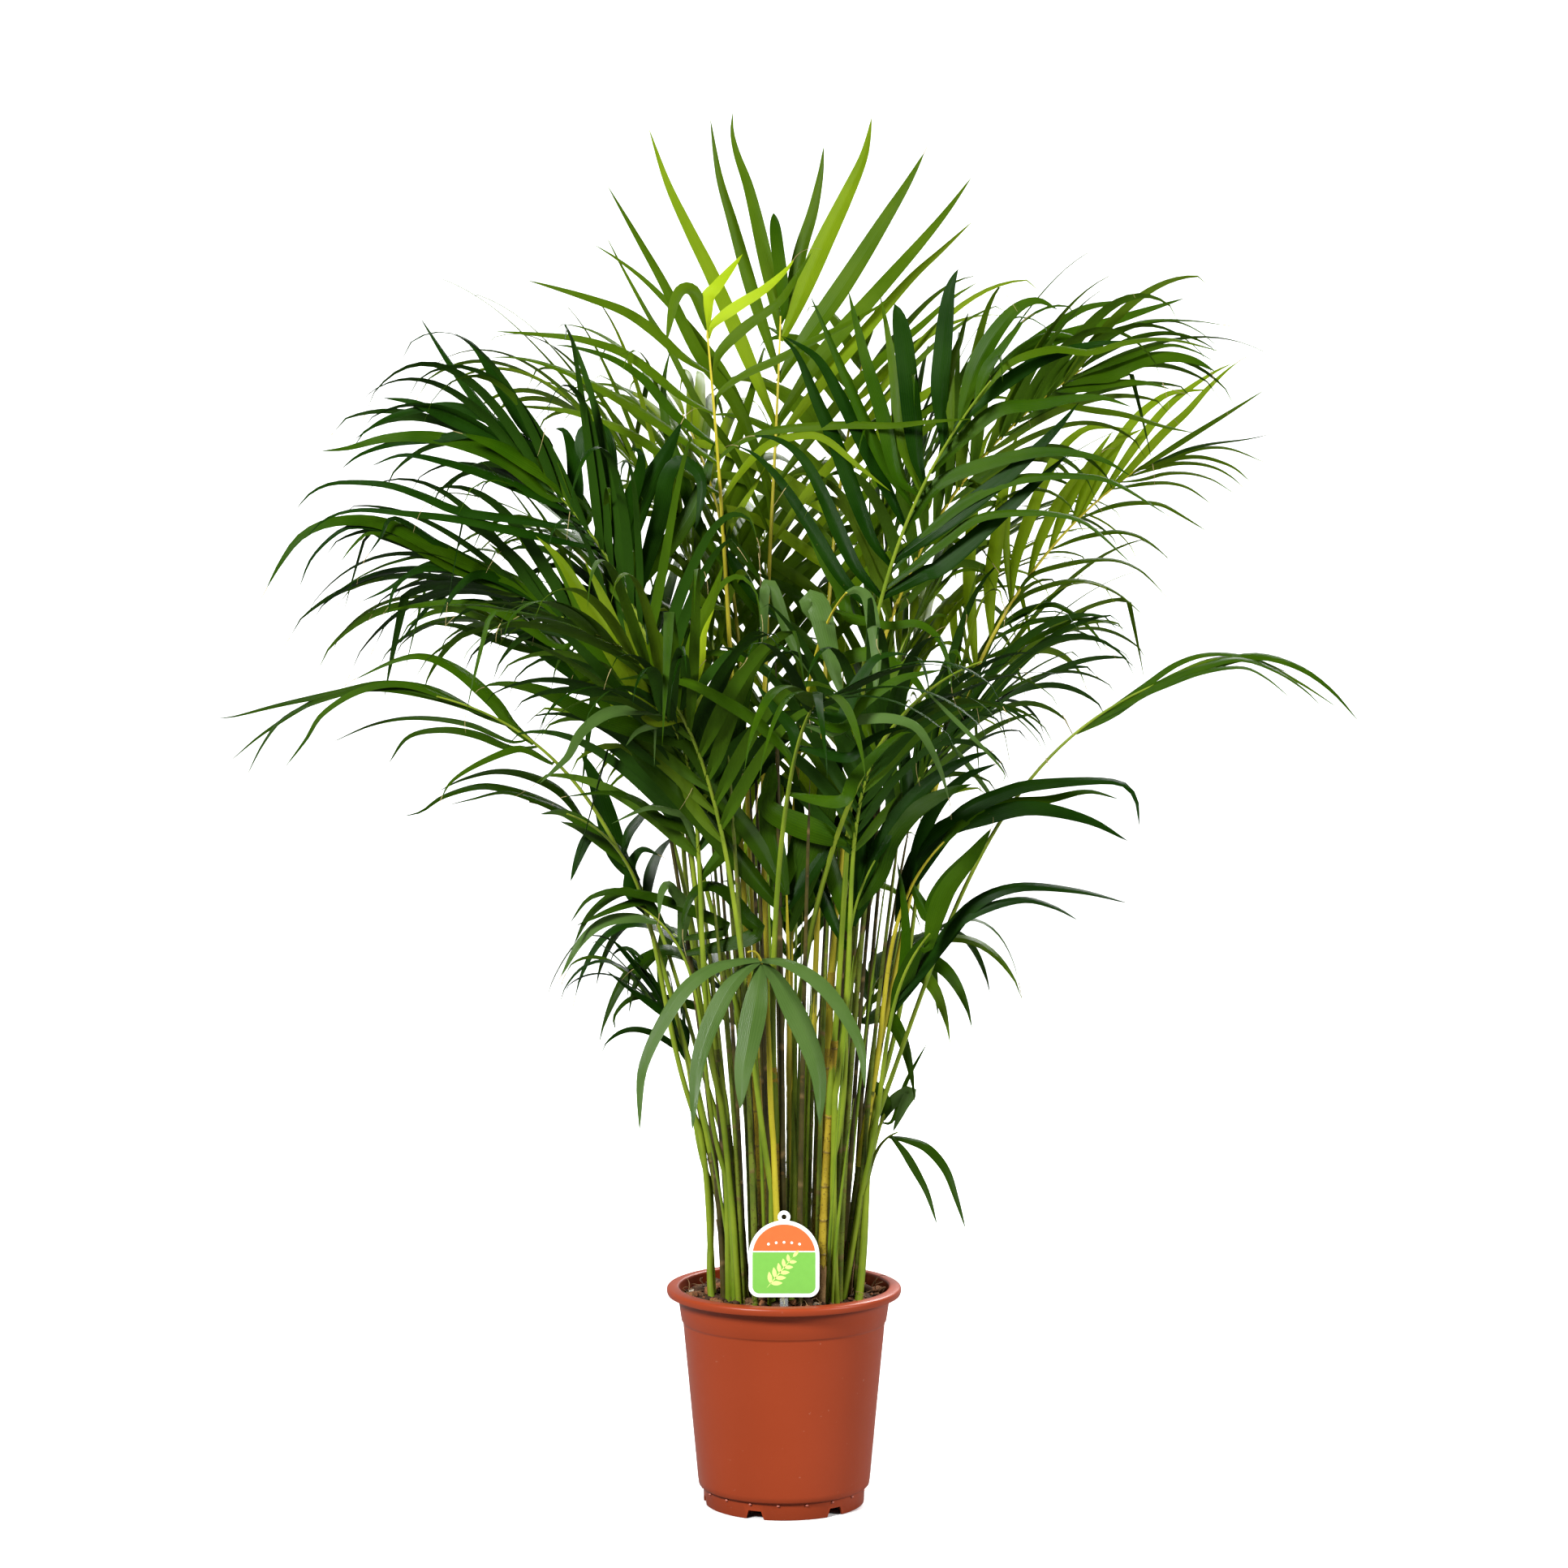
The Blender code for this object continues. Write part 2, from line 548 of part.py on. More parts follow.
class Leaflet:
    """One leaflet, which leaves the rib on a heading and bends down towards its tip."""

    def __init__(self, rib, share, side, turn=0.0, raised=0.0, scale=1.0):
        frond = rib.frond
        form = frond.form
        root, rib_along, across, normal = rib.at(share)
        u = (share - frond.bare) / (1.0 - frond.bare)
        angle = math.radians(mix(form.wide, form.narrow, max(u, 0.0) ** form.sweep) + turn)
        lift = math.radians(form.lift * (1.0 - LIFT_LOSS * u) + raised)
        outward = across * (side * math.cos(lift)) + normal * math.sin(lift)
        heading = rib_along * math.cos(angle) + outward * math.sin(angle)
        self.length = leaflet_length(frond, u) * scale
        self.width = form.width * (0.75 + 0.25 * scale) * min(1.0, 0.4 + 4.0 * self.length)
        self.sections = form.sections
        width = rib_along if share < 1.0 else across
        self.points = [root]
        self.frames = []
        for step in range(LEAF_STEPS):
            fall = 2.0 * form.droop * ((step + 0.5) / LEAF_STEPS) ** DROOP_CURVE
            along = (heading - UP * fall).normalized()
            width = (width - along * width.dot(along)).normalized()
            upper = width.cross(along) * side
            self.frames.append((width, upper))
            self.points.append(self.points[-1] + along * (self.length / LEAF_STEPS))

    def place(self, share):
        """Centre, width direction and upper normal at a share of the leaflet's length."""
        step = min(int(share * LEAF_STEPS), LEAF_STEPS - 1)
        centre = self.points[step].lerp(self.points[step + 1], share * LEAF_STEPS - step)
        return centre, *self.frames[step]

    def stops(self):
        return ONE_STOP if self.sections == 1 else TWO_STOPS

    def ring(self, share, fullness, extra=0.0):
        """Four corners: upper back, upper front, lower front, lower back."""
        centre, width, normal = self.place(share)
        half = width * (self.width * fullness / 2 + extra)
        thickness = max(LEAF_THICKNESS, LEAF_SLENDERNESS * self.length) * fullness
        rise = normal * (thickness / 2 + extra)
        return [centre - half + rise, centre + half + rise,
                centre + half - rise, centre - half - rise]

    def tip(self):
        return self.place(1.0)[0]

    def tree(self, start):
        """A slightly swollen copy for testing what the leaflet would touch."""
        rings = [self.ring(start, 0.5, LEAF_CLEARANCE)]
        rings += [self.ring(share, full, LEAF_CLEARANCE) for share, full in self.stops()]
        rings.append(self.ring(1.0, 0.05, LEAF_CLEARANCE))
        return lofted_tree(rings)


def lofted_tree(rings):
    """A search tree and box round a row of rings."""
    count = len(rings[0])
    verts = [point for ring in rings for point in ring]
    faces = []
    for r in range(len(rings) - 1):
        for k in range(count):
            n = (k + 1) % count
            a = r * count
            faces.append((a + k, a + n, a + count + n, a + count + k))
    low = Vector([min(v[i] for v in verts) for i in range(3)])
    high = Vector([max(v[i] for v in verts) for i in range(3)])
    return BVHTree.FromPolygons(verts, faces), low, high


def touches(one, other):
    if any(one[1][i] > other[2][i] or other[1][i] > one[2][i] for i in range(3)):
        return False
    return bool(one[0].overlap(other[0]))


def grow_leaflets(index, rib, taken):
    """Leaflets by rib stretch and side, clear of each other and of what is there already."""
    shares, roots = stations(rib)
    chosen = {}
    own = []
    whole = []
    for place in roots:
        middle = (shares[place] + shares[place + 1]) / 2
        for side in (1, -1):
            rng = random.Random(index * 1000 + place * 10 + side)
            for attempt in range(LEAF_TRIES):
                swing = 1.0 + TRY_WIDEN * attempt
                turn = rng.uniform(-TRY_TURN, TRY_TURN) * swing
                raised = rng.uniform(-TRY_RAISE, TRY_RAISE) * swing
                leaf = Leaflet(rib, middle, side, turn, raised, 1.0 - TRY_SHRINK * attempt)
                blade = leaf.tree(ROOT_ZONE)
                tree = leaf.tree(0.0)
                blocked = any(touches(blade, t) for t in own) or any(touches(tree, t) for t in taken)
                if leaf.tip().z > POT_HEIGHT and not blocked:
                    chosen[place, side] = leaf
                    own.append(blade)
                    whole.append(tree)
                    break
    return chosen, own, whole


def end_leaflet(rib, own, taken):
    """The leaflet that carries the rib on past its end."""
    for attempt in range(END_TRIES):
        scale = END_LEAFLET - END_SHRINK * attempt
        leaf = Leaflet(rib, 1.0, -1, -rib.frond.form.narrow, 0.0, scale)
        blade = leaf.tree(ROOT_ZONE)
        tree = leaf.tree(0.0)
        if not any(touches(blade, t) for t in own) and not any(touches(tree, t) for t in taken):
            return leaf, [tree]
    return None, []


def extrude_to(bm, face, corners):
    """Carries a face on to new corners and returns it there."""
    grown = bmesh.ops.extrude_discrete_faces(bm, faces=[face])["faces"][0]
    for vert, corner in zip(grown.verts, corners):
        vert.co = corner
    return grown


def close_at(bm, face, tip):
    grown = bmesh.ops.extrude_discrete_faces(bm, faces=[face])["faces"][0]
    bmesh.ops.pointmerge(bm, verts=list(grown.verts), merge_co=tip)


def make_frond(index, rib, leaves, last, parts):
    """A rib with a ridge on top, and leaflets grown out of its two upper sides."""
    shares, roots = stations(rib)
    bm = bmesh.new()
    rings = [[bm.verts.new(p) for p in rib.ring(share)] for share in shares]
    bm.faces.new(rings[0])
    end = bm.faces.new(list(reversed(rings[-1])))
    sides = {}
    for i in range(len(rings) - 1):
        a, b = rings[i], rings[i + 1]
        sides[i, 1] = bm.faces.new((a[0], b[0], b[1], a[1]))
        sides[i, -1] = bm.faces.new((a[2], b[2], b[0], a[0]))
        bm.faces.new((a[1], b[1], b[2], a[2]))
    for (place, side), leaf in leaves.items():
        face = sides[place, side]
        order = (0, 1, 2, 3) if side == 1 else (3, 2, 1, 0)
        for share, fullness in leaf.stops():
            ring = leaf.ring(share, fullness)
            face = extrude_to(bm, face, [ring[k] for k in order])
        close_at(bm, face, leaf.tip())
    if last is not None:
        for share, fullness in last.stops():
            centre, width, normal = last.place(share)
            half = width * last.width * fullness / 2
            rise = normal * LEAF_THICKNESS * fullness
            end = extrude_to(bm, end, [centre - half, centre + half, centre + rise])
        close_at(bm, end, last.tip())
    name = f"frond_{index + 1:02d}"
    mesh = bpy.data.meshes.new(name)
    bm.to_mesh(mesh)
    bm.free()
    obj = bpy.data.objects.new(name, mesh)
    parts.objects.link(obj)
    paint(obj, LEAF_COLOURS[rib.frond.form])


def cane_tree(cane):
    rings = []
    for share in CANE_SHARES:
        point, along = cane_point(cane, share)
        a = along.orthogonal().normalized()
        b = along.cross(a)
        radius = cane_radius(cane, share)
        turns = [math.radians(45 * k) for k in range(8)]
        rings.append([point + (a * math.cos(t) + b * math.sin(t)) * radius for t in turns])
    return lofted_tree(rings)


def label_tree():
    half = LABEL_WIDTH / 2
    back = LABEL_FRONT + LABEL_THICKNESS + GAP + STAKE_THICKNESS
    corners = ((-half, LABEL_FRONT), (half, LABEL_FRONT), (half, back), (-half, back))
    top = LABEL_SHOULDER + half + 2 * LOOP_RADIUS
    return lofted_tree([[Vector((x, y, z)) for x, y in corners] for z in (SOIL_TOP, top)])


def main():
    clear_scene()
    parts = new_collection("potted_areca_palm")
    cutters = new_collection("cutters")
    make_pot(parts, cutters)
    make_soil(parts)
    make_label(parts)
    make_stake(parts)
    for index, cane in enumerate(CANES):
        make_cane(index, cane, parts)
    limbs = [cane_tree(cane) for cane in CANES] + [label_tree()]
    ribs = [Rib(frond) for frond in FRONDS]
    trees = [lofted_tree([rib.ring(share) for share in stations(rib)[0]]) for rib in ribs]
    grown = []
    for index, rib in enumerate(ribs):
        others = limbs + trees[:index] + trees[index + 1:] + grown
        leaves, own, whole = grow_leaflets(index, rib, others)
        last, tree = end_leaflet(rib, own, others)
        make_frond(index, rib, leaves, last, parts)
        grown += whole + tree


main()
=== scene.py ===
"""Looks of a potted areca palm: nursery pot, soil, label, canes, fronds and a pale studio.

Metres, +Z up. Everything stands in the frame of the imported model, whose front faces -Y.
The fronds grow by the same rule as the solids, with more and finer leaflets.
"""
import math
import random
from collections import namedtuple

import bmesh
import bpy
import numpy as np
from bpy.props import FloatProperty, FloatVectorProperty, IntProperty, PointerProperty
from mathutils import Matrix, Vector, kdtree, noise


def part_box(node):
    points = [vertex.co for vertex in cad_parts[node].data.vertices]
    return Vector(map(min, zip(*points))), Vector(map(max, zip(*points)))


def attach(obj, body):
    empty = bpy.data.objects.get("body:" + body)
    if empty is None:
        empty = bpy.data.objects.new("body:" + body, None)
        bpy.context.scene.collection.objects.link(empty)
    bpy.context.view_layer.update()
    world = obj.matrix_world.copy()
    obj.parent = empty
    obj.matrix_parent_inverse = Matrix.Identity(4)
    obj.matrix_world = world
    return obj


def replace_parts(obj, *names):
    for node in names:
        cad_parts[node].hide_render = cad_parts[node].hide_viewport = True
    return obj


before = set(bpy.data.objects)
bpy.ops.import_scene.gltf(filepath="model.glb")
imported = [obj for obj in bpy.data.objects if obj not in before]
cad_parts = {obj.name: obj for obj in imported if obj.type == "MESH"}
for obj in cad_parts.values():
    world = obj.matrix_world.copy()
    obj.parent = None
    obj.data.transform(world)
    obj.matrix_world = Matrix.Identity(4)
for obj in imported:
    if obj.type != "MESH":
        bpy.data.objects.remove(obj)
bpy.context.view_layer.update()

bl_info = {
    "name": "Potted Areca Palm",
    "version": (1, 0, 0),
    "blender": (4, 5, 0),
    "location": "3D View > Sidebar > Areca Palm",
    "description": "Dresses the solids of a potted areca palm with finished pot, soil, canes and fronds",
    "category": "Object",
}

BODY = "root"
UP = Vector((0.0, 0.0, 1.0))
GAP = 0.0003

# The camera that took the photograph, as fitted to the ruler in it
PHOTO_SIDE = 1932
FOCAL_PIXELS = 4550.0
EYE = Vector((0.0, -3.6136, 0.9427))
EYE_PITCH = math.radians(3.65)

# Pot, as in the solids
POT_LOW, POT_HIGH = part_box("pot")
POT_HEIGHT = POT_HIGH.z
RIM_RADIUS = POT_HIGH.x
WALL = 0.0016
RIM_HEIGHT = 0.0085
COLLAR_TOP_RADIUS = 0.1052
COLLAR_FOOT_RADIUS = 0.1014
COLLAR_FOOT = 0.1815
STEP = 0.0016
BODY_FOOT_RADIUS = 0.0848
BODY_FOOT = 0.0190
FOOT_RING_RADIUS = 0.0800
FOOT_RING_WALL = 0.0028
BASE_UNDERSIDE = 0.0150
NOTCH_WIDTH = 0.013
NOTCH_FLARE = 1.9
NOTCH_HEIGHT = 0.0085
NOTCH_ANGLES = (9.0, 69.0, 129.0)

# Soil
SOIL_TOP = 0.2080
SOIL_EDGE = 0.2030
SOIL_FLAT_RADIUS = 0.078

# Label and stake
LABEL_LOW, LABEL_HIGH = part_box("plant_label")
LABEL_WIDTH = 0.068
LABEL_SHOULDER = 0.262
LABEL_CORNER = 0.010
LABEL_FRONT = LABEL_LOW.y
LOOP_RADIUS = 0.0060
LOOP_HOLE = 0.0026

# Canes: ring radius, angle round the ring and lean in degrees, height, thickness, and finish
Cane = namedtuple("Cane", "ring angle lean height thickness finish")
CLUMP_CENTRE = Vector((0.006, 0.0, 0.0))
CANE_TAPER = 0.72
CANE_FLARE = 0.28
CANE_FLARE_REACH = 0.018
CANE_BOW = 0.4
CANES = (
    Cane(0.058, 180, 10.0, 0.215, 0.0085, "green_cane"),
    Cane(0.058, 218, 7.5, 0.250, 0.0090, "green_cane"),
    Cane(0.056, 258, 5.0, 0.235, 0.0085, "golden_cane"),
    Cane(0.056, 302, 5.5, 0.260, 0.0095, "golden_cane"),
    Cane(0.058, 340, 7.5, 0.205, 0.0085, "green_cane"),
    Cane(0.058, 18, 8.5, 0.245, 0.0085, "green_cane"),
    Cane(0.056, 60, 8.0, 0.255, 0.0090, "green_cane"),
    Cane(0.056, 102, 8.0, 0.230, 0.0085, "green_cane"),
    Cane(0.058, 142, 9.0, 0.225, 0.0085, "golden_cane"),
    Cane(0.025, 198, 3.0, 0.310, 0.0110, "golden_cane"),
    Cane(0.026, 270, 2.0, 0.285, 0.0090, "green_cane"),
    Cane(0.026, 342, 3.0, 0.320, 0.0110, "golden_cane"),
    Cane(0.026, 54, 3.0, 0.300, 0.0090, "green_cane"),
    Cane(0.026, 126, 2.5, 0.330, 0.0105, "golden_cane"),
)

# Leaf forms: angle from the rib at the collar and at its end, how late along the rib it closes,
# lift, droop, real width, how many more pairs there are than in the solids, how late the blade
# narrows, columns across it, length where the rib ends as a share of the longest leaflet's, and
# how far single leaflets stray from all this
Form = namedtuple("Form", "wide narrow sweep lift droop width fineness taper columns last stray")
FAN = Form(50, 12, 3.5, 8, 0.03, 0.0150, 1.15, 2.2, 5, 0.78, 0.45)
YOUNG = Form(56, 34, 1.5, 12, 0.50, 0.0140, 1.45, 2.0, 5, 0.55, 0.8)
ARCH = Form(44, 17, 1.0, 18, 0.60, 0.0135, 1.90, 1.9, 5, 0.85, 1.0)
LOW = Form(34, 13, 1.0, 14, 0.66, 0.0130, 1.50, 1.9, 5, 1.00, 1.2)
TRAIL = Form(30, 9, 1.0, 10, 0.60, 0.0145, 1.25, 1.9, 5, 1.00, 0.9)
SPRAY = Form(14, 6, 1.0, 8, 0.50, 0.0125, 1.50, 1.9, 5, 1.00, 0.7)
DRAPE = Form(34, 10, 1.0, 16, 0.95, 0.0215, 1.00, 2.2, 9, 1.00, 0.8)
BLUNT = Form(38, 10, 1.5, 8, 0.10, 0.0170, 1.60, 4.0, 9, 0.95, 0.8)
BROAD = Form(38, 16, 1.0, 8, 0.30, 0.0270, 1.00, 3.6, 9, 0.95, 0.8)
UMBRELLA = Form(70, 24, 1.0, 8, 1.50, 0.0200, 1.20, 2.6, 9, 1.00, 0.6)

# Fronds: the cane and how far up it the frond leaves, where its rib ends (azimuth, reach
# and height), the rib's pitch there, its bare share, leaflet length, pairs, roll, form and tone
Frond = namedtuple("Frond", "cane share azimuth reach height pitch bare blade pairs roll form tone")
FRONDS = (
    Frond(13, 1.00, 99, 0.060, 1.172, 86, 0.62, 0.290, 7, 0, FAN, "fresh"),
    Frond(9, 1.00, 225, 0.112, 1.150, 80, 0.60, 0.225, 7, 24, YOUNG, "fresh"),
    Frond(11, 1.00, -10, 0.285, 1.115, 34, 0.52, 0.230, 8, -34, ARCH, "mid"),
    Frond(3, 1.00, -42, 0.250, 1.098, 46, 0.60, 0.215, 5, -12, BLUNT, "deep"),
    Frond(10, 0.72, -92, 0.098, 0.612, 66, 0.62, 0.220, 3, 0, BROAD, "olive"),
    Frond(2, 0.70, 254, 0.145, 0.562, -4, 0.88, 0.235, 3, 0, UMBRELLA, "silver_and_painted_sheen"),
    Frond(1, 1.00, 194, 0.268, 1.030, 40, 0.48, 0.270, 8, 34, ARCH, "deep"),
    Frond(9, 0.80, 178, 0.318, 0.915, 10, 0.50, 0.265, 8, 38, ARCH, "deep"),
    Frond(4, 0.80, -5, 0.385, 0.822, 18, 0.74, 0.235, 4, -34, SPRAY, "mid"),
    Frond(0, 1.00, 188, 0.345, 0.800, 14, 0.68, 0.290, 4, 36, TRAIL, "olive"),
    Frond(5, 1.00, 14, 0.362, 1.025, 34, 0.52, 0.225, 8, -38, ARCH, "painted_sunlit"),
    Frond(3, 0.56, -45, 0.115, 0.644, 58, 0.66, 0.230, 4, -20, BROAD, "olive"),
    Frond(4, 1.00, -22, 0.160, 0.660, 44, 0.66, 0.260, 3, -30, DRAPE, "deep"),
    Frond(6, 1.00, 40, 0.252, 1.105, 44, 0.54, 0.250, 7, -24, ARCH, "mid"),
    Frond(13, 0.82, 160, 0.215, 1.075, 38, 0.52, 0.270, 7, 26, ARCH, "fresh"),
    Frond(8, 1.00, 150, 0.342, 0.865, 8, 0.50, 0.260, 7, 28, ARCH, "mid"),
    Frond(10, 1.00, -75, 0.200, 0.902, 20, 0.62, 0.230, 5, -8, UMBRELLA, "silver_and_painted_sheen"),
    Frond(7, 1.00, 95, 0.325, 0.980, 22, 0.50, 0.260, 8, 6, ARCH, "fresh"),
    Frond(2, 1.00, 276, 0.322, 0.810, 0, 0.56, 0.270, 6, 0, ARCH, "deep"),
    Frond(12, 1.00, 65, 0.180, 1.140, 56, 0.56, 0.270, 7, -12, YOUNG, "fresh"),
    Frond(5, 0.76, 24, 0.264, 0.842, 22, 0.54, 0.240, 6, -28, ARCH, "fresh"),
    Frond(11, 0.74, 5, 0.196, 0.788, 34, 0.58, 0.230, 6, -32, ARCH, "deep"),
    Frond(8, 0.70, 165, 0.270, 0.690, 10, 0.58, 0.190, 5, 28, LOW, "olive"),
    Frond(1, 0.78, 235, 0.219, 0.796, 22, 0.56, 0.240, 6, 22, ARCH, "deep"),
    Frond(3, 0.80, -55, 0.191, 0.784, 26, 0.58, 0.230, 6, -18, ARCH, "deep"),
    Frond(4, 0.50, -36, 0.165, 0.575, 42, 0.70, 0.260, 3, -28, DRAPE, "olive"),
    Frond(1, 0.50, 200, 0.164, 0.602, 28, 0.66, 0.170, 4, 20, UMBRELLA, "silver_and_painted_sheen"),
    Frond(0, 0.52, 168, 0.136, 0.490, 36, 0.62, 0.160, 4, 24, LOW, "deep"),
    Frond(5, 0.44, 12, 0.112, 0.404, 44, 0.62, 0.130, 3, -20, BROAD, "olive"),
    Frond(5, 0.22, -14, 0.108, 0.372, 20, 0.90, 0.150, 1, 0, UMBRELLA, "silver_and_painted_sheen"),
    Frond(8, 0.84, 128, 0.315, 0.930, 16, 0.52, 0.260, 7, 14, ARCH, "mid"),
    Frond(6, 0.80, 58, 0.315, 0.880, 10, 0.52, 0.260, 7, -12, ARCH, "painted_sunlit"),
    Frond(13, 0.66, 118, 0.235, 1.080, 40, 0.56, 0.250, 7, 10, ARCH, "fresh"),
    Frond(12, 0.76, 36, 0.280, 0.960, 20, 0.54, 0.240, 6, -18, ARCH, "fresh"),
    Frond(7, 0.74, 112, 0.260, 0.720, 12, 0.56, 0.230, 5, 8, LOW, "fresh"),
    Frond(7, 0.52, 84, 0.210, 0.600, 16, 0.60, 0.200, 4, 0, LOW, "mid"),
    Frond(6, 0.58, 72, 0.270, 0.740, 8, 0.56, 0.220, 5, -8, LOW, "painted_sunlit"),
    Frond(6, 0.36, 44, 0.170, 0.540, 28, 0.62, 0.190, 4, -10, UMBRELLA, "mid"),
    Frond(7, 0.34, 130, 0.185, 0.550, 24, 0.62, 0.190, 4, 10, UMBRELLA, "olive"),
    Frond(0, 0.76, 205, 0.235, 0.690, 18, 0.60, 0.220, 5, 24, LOW, "deep"),
    Frond(2, 0.48, 232, 0.310, 0.870, 14, 0.54, 0.250, 6, 14, ARCH, "mid"),
    Frond(10, 0.92, 304, 0.310, 0.840, 14, 0.54, 0.250, 6, -14, ARCH, "mid"),
)
